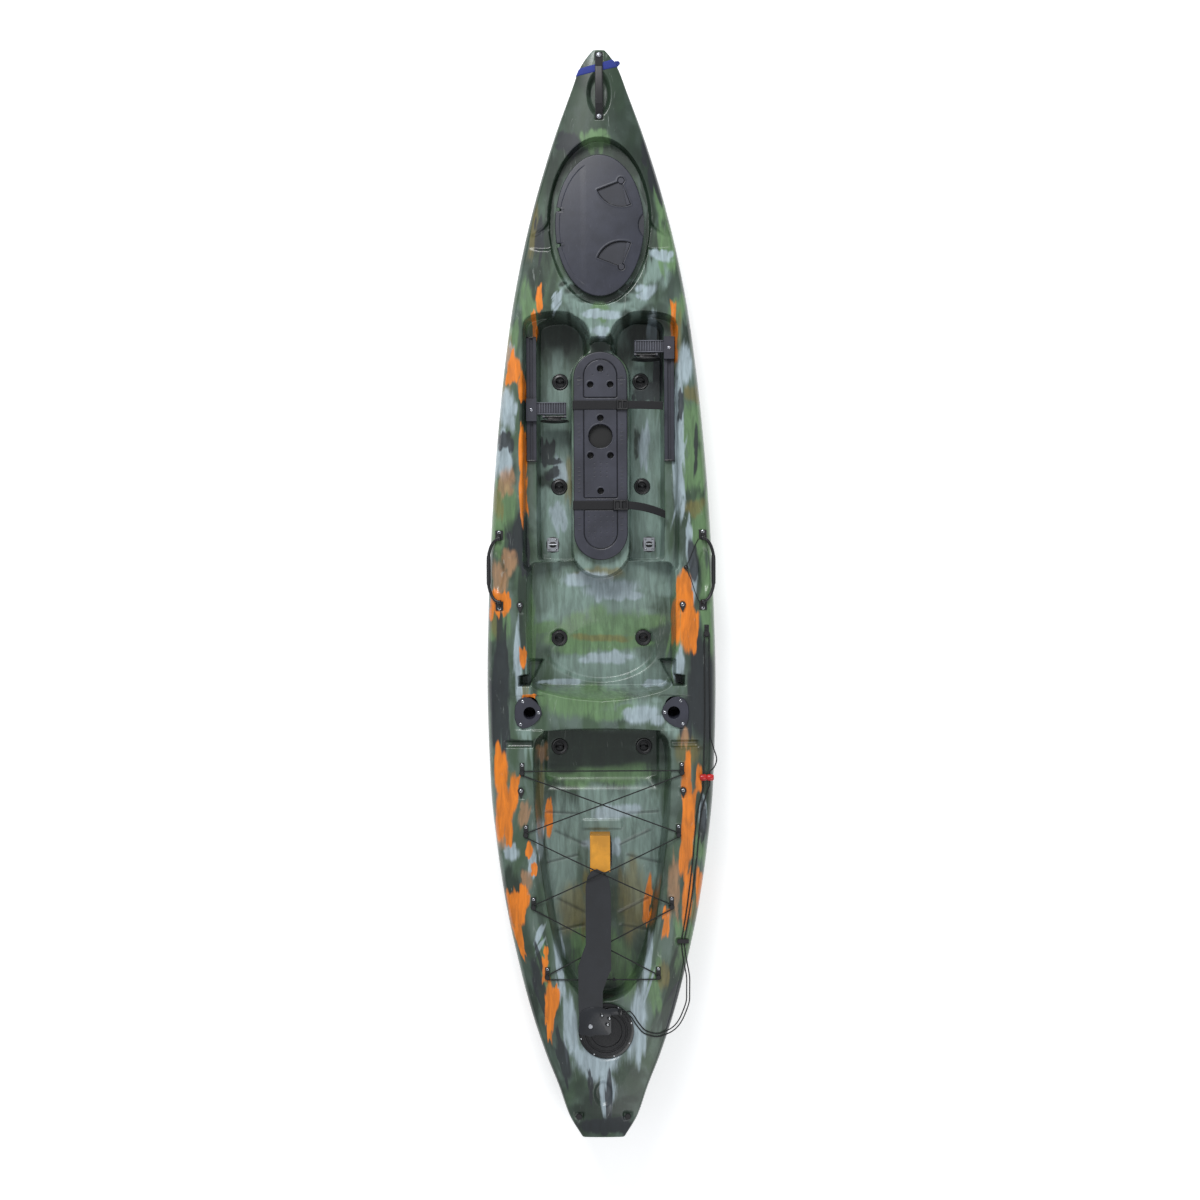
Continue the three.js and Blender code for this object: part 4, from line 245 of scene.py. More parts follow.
def console_outline():
    """The console: round aft, round again ahead of the pod, then a neck that flares out."""
    angle = np.linspace(-math.pi / 2, 0, 9)
    aft = POD_Y - POD_LENGTH / 2 + POD_HALF - CONSOLE_HALF / 2
    right = [(CONSOLE_HALF * math.cos(a), aft + CONSOLE_HALF * math.sin(a)) for a in angle]
    fore = POD_Y + POD_LENGTH / 2 - POD_HALF
    angle = np.linspace(0, math.acos(NECK_HALF / CONSOLE_NOSE), 7)
    right += [(CONSOLE_NOSE * math.cos(a), fore + CONSOLE_NOSE * math.sin(a)) for a in angle]
    for sx, sy in ((0, 0), (0.12, 0.35), (0.42, 0.66), (1, 0.9), (1, 1.6)):
        right.append((NECK_HALF + sx * (CONSOLE_HALF - NECK_HALF),
                      RIDGE_FORE + sy * (FOOT_FORE - RIDGE_FORE)))
    return softened(both_sides(right), 1)


def tank_outline():
    """The tank well: widest near its fore end, and drawn in to the stern."""
    shares = [(0.72, 0.012), (0.95, 0.04), (1, 0.1), (1, 0.18), (0.985, 0.3), (0.92, 0.45), (0.83, 0.62),
              (0.74, 0.75), (0.62, 0.86), (0.43, 0.95), (0.2, 0.992)]
    return softened(both_sides([(sx * TANK_HALF, TANK_FORE - sy * TANK_LENGTH) for sx, sy in shares][::-1]))


# Deck details: half sizes, levels, and where they stand

SEAT_DISH, SEAT_DISH_HALF, SEAT_DISH_Y = 0.022, (0.246, 0.164), -0.186
SEAT_WEDGE = [(0.232, -0.254), (0.286, -0.358), (0.33, -0.358), (0.33, -0.316), (0.296, -0.31),
              (0.296, -0.254)]
SEAT_WEDGE_DEPTH = 0.026
POD_POCKET, POD_POCKET_FLOOR = (0.078, 0.64), 0.15
TROUGH_HALF, TROUGH_Y, TROUGH_WALL = (0.222, 0.095), TANK_FORE - 0.022 - 0.095, (0.009, 0.031)
CHANNEL_DEPTH, CHANNEL_WIDTH = 0.0035, 0.0055
TANK_BAR, TANK_BAR_Y, TANK_BAR_RISE = (0.085, 0.024), -0.918, 0.007
RECESS_HALF = (0.2045, 0.3285)
RECESS_WING = np.array([(0.88, 0.12), (1.2, -0.13), (1.56, -0.16), (1.6, -0.3), (1.06, -0.36),
                        (0.86, -0.3)])[::-1]
WING_SCALE, WING_FLOOR = (0.2, 0.324), 0.304
DISHES = ((0.046, 0.086, 0.024, 0, 1.976), (0.038, 0.05, 0.012, 0, -1.968),
          (0.026, 0.088, 0.012, 0.4115, 0.1025))
GROOVE_RADIUS, GROOVE_AT, GROOVE_HALF = 0.015, (0.328, -0.587), 0.056
ROD_HOLE, ROD_REACH, ROD_AT, ROD_DEPTH = 0.0335, 0.0145, (0.286, -0.448), 0.13
ROD_FLANGE, RING_SEAT, RING_FOOT = 0.0108, 0.112, 0.006
DRAIN_LIP, DRAIN_DIP = 0.034, 0.002
BOW_SEAT_HALF, BOW_SEATS = (0.015, 0.016), ((1.893, 0), (2.123, 0.0071))
SEAT_SLOPE = 0.9


def seats_on_deck():
    """Where fittings stand: centre, half sizes and level of each flat seat, from their boxes."""
    names = [f"side_handle_pad_{end}_{side}" for end in ("fore", "aft") for side, _ in SIDES]
    names += [f"deck_cleat_{end}_{side}" for end in ("fore", "aft") for side, _ in SIDES]
    names += [f"bungee_hook_{row}_{side}" for row in range(1, 5) for side, _ in SIDES]
    names += [f"stern_fairlead_{side}" for side, _ in SIDES] + ["lift_line_eye", "lift_line_guide"]
    found = [(*footprint(name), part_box(name)[0].z - GAP) for name in names]
    for name in [f"rod_holder_{side}" for side, _ in SIDES]:
        found.append((*footprint(name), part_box(name)[1].z - ROD_FLANGE))
    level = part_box("bow_handle_strap")[0].z - GAP
    found += [(0, at_y, *BOW_SEAT_HALF, level + rise) for at_y, rise in BOW_SEATS]
    return found


def foot_wells(z, side, y):
    """Lowers both footwells: the ledge that the rails stand on, then the floor."""
    ledge = foot_outline(LEDGE_OUTER + 0.008, FOOT_AFT - 0.064, FOOT_FORE + 0.008)
    z = sink(z, distance_to(ledge, side, y), LEDGE, 0.015, 0.006)
    floor = foot_outline(FOOT_OUTER + 0.008, FOOT_AFT - 0.024, FOOT_FORE)
    return sink(z, distance_to(floor, side, y), FOOT_FLOOR, 0.016, 0.002)


def seat_well(z, x, y):
    """Lowers the seat: a sloping wall, an oval dish in its floor, and a wedge at either side."""
    top = seat_outline(SEAT_HALF + 0.014, SEAT_FORE + 0.028, SEAT_AFT - 0.007, SEAT_ARC)
    floor = seat_outline(SEAT_HALF - 0.004, SEAT_FORE + 0.042, SEAT_AFT, 0)
    z = sink_between(z, distance_to(top, x, y, 0.1), distance_to(floor, x, y, 0.1), SEAT_FLOOR)
    way = np.hypot(x / SEAT_DISH_HALF[0], (y - SEAT_DISH_Y) / SEAT_DISH_HALF[1])
    run = 0.13 + 0.5 * smooth((y + 0.25) / 0.14)
    dish = SEAT_DISH * smooth((1 - way) / run) * (z < SEAT_FLOOR + 0.012)
    z = np.where(z > SEAT_FLOOR - SEAT_DISH, z - dish, z)
    return sink(z, distance_to(SEAT_WEDGE, np.abs(x), y), SEAT_FLOOR - SEAT_WEDGE_DEPTH, 0.007, 0.001)


def console_ridge(z, base, x, y):
    """Brings back the console, then lowers its pod cover's seat, its neck and the pocket."""
    console = smooth((0.002 - distance_to(console_outline(), x, y)) / 0.012)
    z = z + (base - z) * console
    cover = stadium(CONSOLE_NOSE + 0.002, POD_LENGTH + CONSOLE_HALF * 1.2, POD_Y - CONSOLE_HALF * 0.45)
    z = sink(z, distance_to(cover, x, y), CONSOLE_TOP, 0.01, 0.004)
    gap_length = RIDGE_FORE - POD_Y - POD_LENGTH / 2 + NECK_HALF
    neck = softened(box_outline(NECK_HALF * 1.3, gap_length / 2, 0, RIDGE_FORE - gap_length / 2), 1)
    z = sink(z, distance_to(neck, x, y), NECK_TOP, 0.014, 0.002)
    return sink(z, distance_to(stadium(*POD_POCKET, POD_Y), x, y), POD_POCKET_FLOOR, 0.01, 0.002)


def tank_well(z, x, y):
    """Lowers the tank well and its trough, and adds the channels and the raised bar of its floor."""
    tank = distance_to(tank_outline(), x, y)
    z = sink(z, tank, TANK_FLOOR, 0.024, 0.001)
    wall_x, wall_y = TROUGH_WALL
    top = box_outline(TROUGH_HALF[0] + wall_x, TROUGH_HALF[1] + wall_y, 0, TROUGH_Y - wall_y)
    floor = box_outline(*TROUGH_HALF, 0, TROUGH_Y)
    z = sink_between(z, distance_to(top, x, y, 0.1), distance_to(floor, x, y, 0.1), TROUGH_FLOOR)
    channel = CHANNEL_DEPTH * np.exp(-(away_from_channels(x, y) / CHANNEL_WIDTH) ** 2)
    z = z - channel * (z > 0.145) * (tank < -0.02)
    bar = smooth(-rounded_box(x, y, *TANK_BAR, TANK_BAR_Y, 0.012) / 0.01)
    return z + TANK_BAR_RISE * bar * (tank < -0.05)


def bow_recess(z, x, y):
    """Lowers the oval recess of the bow hatch, and a wing at either side of it."""
    z = sink(z, distance_to(ellipse(*RECESS_HALF, 0, RECESS_Y), x, y), RECESS_FLOOR, 0.009, 0.002)
    wing = softened(RECESS_WING * WING_SCALE + (0, RECESS_Y), 1)
    return sink(z, distance_to(wing, np.abs(x), y), WING_FLOOR, 0.012, 0.002)


def handle_dishes(z, x, y):
    """Dishes under the carry handles, each an oval with an eased edge, and a groove aft of the seat."""
    side = np.abs(x)
    for half_x, half_y, depth, at_x, at_y in DISHES:
        way = np.hypot((side - at_x if at_x else x) / half_x, (y - at_y) / half_y)
        level = deck_base(np.array([at_x]), np.array([at_y]))[0] - depth
        z = np.where(z > level, z + (level - z) * smooth((1.1 - way) / 0.42), z)
    groove = np.maximum(GROOVE_RADIUS ** 2 - (y - GROOVE_AT[1]) ** 2, 0) ** 0.5
    return z - groove * smooth((GROOVE_HALF - np.abs(side - GROOVE_AT[0])) / 0.004) * (z > 0.27)


def fitting_seats(z, x, y):
    """Flat seats under the fittings and the stern hatch, the rod holders' bores and the drains' dips."""
    side = np.abs(x)
    for at_x, at_y, half_x, half_y, level in seats_on_deck():
        away = np.hypot(np.maximum(np.abs(x - at_x) - half_x, 0), np.maximum(np.abs(y - at_y) - half_y, 0))
        z = np.minimum(z, level + SEAT_SLOPE * np.maximum(away - 0.0015, 0))
    stern = np.hypot(x - STERN_HATCH[0], y - STERN_HATCH[1])
    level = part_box("stern_hatch_ring")[1].z - RING_FOOT - GAP
    z = np.minimum(z, level + SEAT_SLOPE * np.maximum(stern - RING_SEAT, 0))
    bore = np.hypot(side - ROD_AT[0], np.maximum(np.abs(y - ROD_AT[1]) - ROD_REACH, 0))
    z = sink(z, bore - ROD_HOLE, ROD_DEPTH, 0.004)
    for at_x, at_y, level in SCUPPERS:
        way = np.hypot(side - at_x, y - at_y)
        dip = level - DRAIN_DIP * smooth((DRAIN_LIP - way) / 0.004)
        z = np.where(way < DRAIN_LIP, np.minimum(z, dip), z)
    return z


def hull_deck(x, y):
    """Height of the deck with all its wells, as one value over each point of the plan."""
    base = deck_base(x, y)
    z = foot_wells(base, np.abs(x), y)
    z = seat_well(z, x, y)
    z = console_ridge(z, base, x, y)
    z = tank_well(z, x, y)
    z = bow_recess(z, x, y)
    z = handle_dishes(z, x, y)
    return fitting_seats(z, x, y)


def section_point(s, y):
    """A point of the half section, given its number from keel (0) to deck edge (10) and its place."""
    across, mid, end = np.array(SECTION, float).T
    index = np.arange(len(SECTION))
    place = y / HALF_LENGTH
    fullness = curve_at(FULLNESS, place)
    keel, sheer = curve_at(KEEL, place) * DEPTH, curve_at(SHEER, place) * DEPTH
    up = curve_at(list(zip(index, end)), s) * (1 - fullness) + curve_at(list(zip(index, mid)), s) * fullness
    tunnel = np.clip(1 - np.abs(s - TUNNEL_AT), 0, 1)
    x = curve_at(list(zip(index, across)), s) * half_beam_at(y)
    return x, keel + up * (sheer - keel) + fullness * TUNNEL_RISE * smooth(tunnel)


# Meshes

def spread(count, places, width, gain, low=-1.0, high=1.0):
    """Steps from low to high, closer together near the given places."""
    fine = np.linspace(low, high, 4001)
    density = 1 + sum(gain * np.exp(-((fine - place) / width) ** 2) for place in places)
    total = np.r_[0, np.cumsum((density[1:] + density[:-1]) / 2)]
    return np.interp(np.linspace(0, total[-1], count), total, fine)


def mesh_object(name, points, faces):
    """A smooth mesh object from arrays of points and of faces with three or four corners."""
    mesh = bpy.data.meshes.new(name)
    faces = np.asarray(faces, np.int32)
    mesh.vertices.add(len(points))
    mesh.vertices.foreach_set("co", np.asarray(points, np.float32).ravel())
    corners = faces.shape[1]
    mesh.loops.add(faces.size)
    mesh.loops.foreach_set("vertex_index", faces.ravel())
    mesh.polygons.add(len(faces))
    mesh.polygons.foreach_set("loop_start", np.arange(len(faces), dtype=np.int32) * corners)
    mesh.polygons.foreach_set("use_smooth", np.ones(len(faces), bool))
    mesh.update(calc_edges=True)
    mesh.validate()
    piece = bpy.data.objects.new(name, mesh)
    bpy.context.scene.collection.objects.link(piece)
    return piece


def grid_faces(rows, columns, closed_rows=False, closed_columns=False):
    """Four-cornered faces between the points of a grid, which may close on itself either way."""
    r = np.arange(rows if closed_rows else rows - 1)
    c = np.arange(columns if closed_columns else columns - 1)
    r, c = (a.ravel() for a in np.meshgrid(r, c, indexing="ij"))
    r2, c2 = (r + 1) % rows, (c + 1) % columns
    return np.stack([r * columns + c, r * columns + c2, r2 * columns + c2, r2 * columns + c], 1)


def grid_object(name, points, closed_rows=False, closed_columns=False, ends=False, length=None):
    """A surface through a grid of points, with a middle point closing each end where it is a tube."""
    rows, columns = points.shape[:2]
    faces = grid_faces(rows, columns, closed_rows, closed_columns)
    flat = points.reshape(-1, 3)
    if ends:
        first, last = len(flat), len(flat) + 1
        flat = np.r_[flat, [points[0].mean(0), points[-1].mean(0)]]
        c = np.arange(columns)
        c2 = (c + 1) % columns
        base = (rows - 1) * columns
        start = np.stack([np.full(columns, first), c2, c], 1)
        end = np.stack([np.full(columns, last), base + c, base + c2], 1)
        piece = with_fans(name, flat, faces, np.r_[start, end])
    else:
        piece = mesh_object(name, flat, faces)
    if length:
        along_grid(piece, rows, columns, len(faces), length)
    return piece


def with_fans(name, points, quads, fans):
    """A mesh of four-cornered faces and of triangles."""
    mesh = bpy.data.meshes.new(name)
    mesh.from_pydata(points.tolist(), [], quads.tolist() + fans.tolist())
    mesh.polygons.foreach_set("use_smooth", np.ones(len(mesh.polygons), bool))
    mesh.update()
    piece = bpy.data.objects.new(name, mesh)
    bpy.context.scene.collection.objects.link(piece)
    return piece


def along_grid(piece, rows, columns, faces, length):
    """A UV map for a grid: U goes once round the columns, and V along the rows in metres."""
    mesh = piece.data
    layer = mesh.uv_layers.new(name="grid")
    corner = np.zeros(len(mesh.loops), np.int32)
    mesh.loops.foreach_get("vertex_index", corner)
    corner = np.minimum(corner, rows * columns - 1)
    u, v = corner % columns / columns, corner // columns / (rows - 1) * length
    quads = u[:faces * 4].reshape(-1, 4)
    quads += (np.ptp(quads, axis=1)[:, None] > 0.5) & (quads < 0.5)
    layer.data.foreach_set("uv", np.c_[u, v].astype(np.float32).ravel())


def mark(piece, name, values):
    """Stores one number for each point of a piece, for its material to read."""
    layer = piece.data.attributes.new(name, "FLOAT", "POINT")
    layer.data.foreach_set("value", np.asarray(values, np.float32))


def facing_out(piece):
    """Turns all faces of a closed piece outwards."""
    bm = bmesh.new()
    bm.from_mesh(piece.data)
    bmesh.ops.recalc_face_normals(bm, faces=bm.faces)
    bm.to_mesh(piece.data)
    bm.free()
    return piece


def sharpen(piece, degrees=35):
    """Shades a piece smooth but for the edges where its faces meet more sharply than that."""
    bm = bmesh.new()
    bm.from_mesh(piece.data)
    limit = math.radians(degrees)
    for edge in bm.edges:
        edge.smooth = edge.is_manifold and edge.calc_face_angle(math.pi) < limit
    for face in bm.faces:
        face.smooth = True
    bm.to_mesh(piece.data)
    bm.free()
    return piece


def finished_copy(node, look, bevel=0.0, degrees=35):
    """A copy of a CAD node with its points merged, its flat edges kept sharp and its corners eased."""
    source = frame["nodes"][node]
    mesh = source.data.copy()
    piece = bpy.data.objects.new(node + "_finished", mesh)
    bpy.context.scene.collection.objects.link(piece)
    bm = bmesh.new()
    bm.from_mesh(mesh)
    bmesh.ops.remove_doubles(bm, verts=bm.verts, dist=2e-6)
    bmesh.ops.dissolve_limit(bm, angle_limit=math.radians(1), verts=bm.verts, edges=bm.edges)
    bm.to_mesh(mesh)
    bm.free()
    sharpen(piece, degrees)
    if bevel:
        modifier = piece.modifiers.new("eased", "BEVEL")
        modifier.width = bevel
        modifier.segments = 2
        modifier.limit_method = "ANGLE"
        modifier.angle_limit = math.radians(degrees)
        modifier.harden_normals = True
    mesh.materials.clear()
    mesh.materials.append(look)
    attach(piece, BODY_OF[node])
    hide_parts(node)
    return piece


def placed(piece, look, body="hull", replaces=()):
    """Gives a new piece its material and its body, and hides the CAD nodes that it stands for."""
    piece.data.materials.append(look)
    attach(piece, body)
    if replaces:
        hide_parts(*replaces)
    return piece


def mark_top(piece, crease_shade):
    """Stores the painted shade of a piece's top, whose points come first, and none for the rest of it."""
    mark(piece, "shade", np.r_[crease_shade.ravel(), np.zeros(len(piece.data.vertices) - crease_shade.size)])


def closed_tube(name, rings, degrees=40):
    """A piece through rings of points, closed at both ends, with sharp edges past an angle."""
    return facing_out(sharpen(grid_object(name, rings, closed_columns=True, ends=True), degrees))


def closed_loop(name, rings):
    """A piece through rings of points of which the last meets the first."""
    return facing_out(sharpen(grid_object(name, rings, True, True), 40))


# Materials

class Number:
    """A socket that carries one number. The operators add Math nodes to its material."""

    def __init__(self, look, socket):
        self.look = look
        self.socket = socket

    def math(self, operation, *others):
        """This number and others put through one operation."""
        node = self.look.node("ShaderNodeMath", {"operation": operation}, dict(enumerate((self, *others))))
        return Number(self.look, node.outputs[0])

    def reflected(self, operation, other):
        """Another value and this number, in that order, put through one operation."""
        node = self.look.node("ShaderNodeMath", {"operation": operation}, {0: other, 1: self})
        return Number(self.look, node.outputs[0])

    def __add__(self, other):
        return self.math("ADD", other)

    def __sub__(self, other):
        return self.math("SUBTRACT", other)

    def __mul__(self, other):
        return self.math("MULTIPLY", other)

    def __radd__(self, other):
        return self.reflected("ADD", other)

    def __rsub__(self, other):
        return self.reflected("SUBTRACT", other)

    def step(self, low, high):
        """Eases from 0 at low to 1 at high."""
        node = self.look.node("ShaderNodeMapRange", {"interpolation_type": "SMOOTHSTEP"},
                              {"Value": self, "From Min": low, "From Max": high})
        return Number(self.look, node.outputs[0])


def linear(colour):
    """A colour as it looks on a screen, turned into the renderer's linear values."""
    return tuple(c / 12.92 if c <= 0.04045 else ((c + 0.055) / 1.055) ** 2.4 for c in colour[:3]) + (1.0,)


class Look:
    """A material in the making. node() adds any node, its settings first and then its sockets."""

    def __init__(self, name, colour, **sockets):
        self.material = bpy.data.materials.new(name)
        self.material.use_nodes = True
        self.tree = self.material.node_tree
        self.tree.nodes.clear()
        values = {"Base Color": linear(colour), **{k.replace("_", " "): v for k, v in sockets.items()}}
        self.surface = self.node("ShaderNodeBsdfPrincipled", None, values)
        self.node("ShaderNodeOutputMaterial", None, {"Surface": self.surface.outputs[0]})
        self.place = self.node("ShaderNodeTexCoord").outputs["Object"]

    def node(self, kind, settings=None, values=None):
        """A node of one kind. A value may be a plain value, a socket or a number."""
        made = self.tree.nodes.new(kind)
        for name, value in (settings or {}).items():
            setattr(made, name, value)
        for key, value in (values or {}).items():
            socket = made.inputs[key]
            if isinstance(value, Number):
                value = value.socket
            if isinstance(value, bpy.types.NodeSocket):
                self.tree.links.new(value, socket)
            else:
                socket.default_value = value
        return made

    def stretched(self, scale, turn=(0, 0, 0)):
        """The piece's own coordinates, scaled and turned."""
        made = self.node("ShaderNodeMapping", None, {"Vector": self.place, "Scale": scale, "Rotation": turn})
        return made.outputs[0]

    def noise(self, scale, detail=4.0, roughness=0.55, distortion=0.0, where=None):
        """Soft noise from 0 to 1."""
        made = self.node("ShaderNodeTexNoise", None, {
            "Vector": where or self.place, "Scale": scale, "Detail": detail, "Roughness": roughness,
            "Distortion": distortion,
        })
        return Number(self, made.outputs["Fac"])

    def field(self, name):
        """The numbers stored on the piece's points under a name."""
        made = self.node("ShaderNodeAttribute", {"attribute_name": name})
        return Number(self, made.outputs["Fac"])

    def mixed(self, share, first, second):
        """A colour between two others, each a colour or a socket."""
        ends = [c if isinstance(c, bpy.types.NodeSocket) else linear(c) for c in (first, second)]
        made = self.node("ShaderNodeMix", {"data_type": "RGBA"}, {"Factor": share, 6: ends[0], 7: ends[1]})
        return made.outputs[2]

    def feed(self, socket, value):
        """Links a number or a socket to the surface."""
        if isinstance(value, Number):
            value = value.socket
        self.tree.links.new(value, self.surface.inputs[socket])

    def bump(self, height, strength, distance):
        """Fine relief from a height."""
        made = self.node("ShaderNodeBump", None,
                         {"Height": height, "Strength": strength, "Distance": distance})
        self.feed("Normal", made.outputs[0])


def moulded_plastic(name, colour, roughness, grain=900.0, depth=0.00012, wear=0.06):
    """Plain moulded plastic: fine grain, uneven sheen, slightly worn, paler spots and painted shade where a
    piece stores it.
    """
    look = Look(name, colour, Roughness=roughness)
    cloud = look.noise(9.0, 5.0, 0.6)
    scuffs = look.noise(140.0, 3.0, 0.6, 0.6, look.stretched((1, 0.2, 1), (0, 0, 0.5))).step(0.6, 0.82)
    pale = tuple(min(c + 0.09, 1) for c in colour)
    dark = tuple(c * 0.82 for c in colour)
    base = look.mixed(cloud.step(0.35, 0.7), dark, colour)
    base = look.mixed(scuffs * (wear * 8), base, pale)
    crease_shade = look.field("shade")
    # Painted shade: where a piece stores "shade", the colour darkens almost to black.
    look.feed("Base Color", look.mixed(crease_shade, base, tuple(c * 0.03 for c in colour)))
    look.feed("Roughness", roughness + (cloud - 0.5) * 0.16 + scuffs * wear + crease_shade * 0.2)
    look.bump(look.noise(grain, 2.0), 0.35, depth)
    return look.material


def brushed_metal(name, colour, roughness):
    """Brushed steel: long fine scratches and a faint tarnish."""
    look = Look(name, colour, Roughness=roughness, Metallic=1.0)
    lines = look.noise(60.0, 4.0, 0.6, 0.0, look.stretched((1, 24, 24)))
    look.feed("Roughness", roughness + (lines - 0.5) * 0.3)
    look.feed("Base Color",
              look.mixed(look.noise(30.0).step(0.4, 0.8), colour, tuple(c * 0.75 for c in colour)))
    look.bump(lines, 0.25, 0.0001)
    return look.material


def braided(name, colour, fleck, strands=4.0, turns=130.0):
    """Braided cord: two sets of strands wound opposite ways along the piece's own map, with pale flecks."""
    look = Look(name, colour, Roughness=0.75)
    split = look.node("ShaderNodeSeparateXYZ", None, {0: look.node("ShaderNodeUVMap").outputs[0]})
    around, along = Number(look, split.outputs[0]), Number(look, split.outputs[1])
    one = (around * strands + along * turns).math("FRACT") - 0.5
    two = (around * strands - along * turns).math("FRACT") - 0.5
    ridge = 1 - (one * one * 4).math("MINIMUM", two * two * 4)
    flecks = look.noise(700.0, 1.0).step(0.6, 0.7)
    # Painted shade between the strands: the colour darkens where the ridges fall away.
    base = look.mixed(ridge.step(0.2, 1.0), tuple(c * 0.45 for c in colour), colour)
    look.feed("Base Color", look.mixed(flecks * 0.5, base, fleck))
    look.bump(ridge, 0.6, 0.0004)
    return look.material


def woven(name, colour, across=34.0, along=500.0):
    """Flat webbing: ribs along the strap crossed by the weft, from the piece's own map."""
    look = Look(name, colour, Roughness=0.8, Sheen_Weight=0.08)
    split = look.node("ShaderNodeSeparateXYZ", None, {0: look.node("ShaderNodeUVMap").outputs[0]})
    u, v = Number(look, split.outputs[0]), Number(look, split.outputs[1])
    warp = (u * across * math.pi * 2).math("SINE")
    weft = (v * along * math.pi * 2 + warp * 0.8).math("SINE")
    height = warp * 0.5 + weft * 0.35
    # Painted shade and highlight: darker in the weave's hollows and paler on its ribs.
    base = look.mixed(height.step(-0.6, 0.7), tuple(c * 0.5 for c in colour),
                      tuple(min(c * 1.25, 1) for c in colour))
    look.feed("Base Color", base)
    look.bump(height, 0.5, 0.0003)
    return look.material
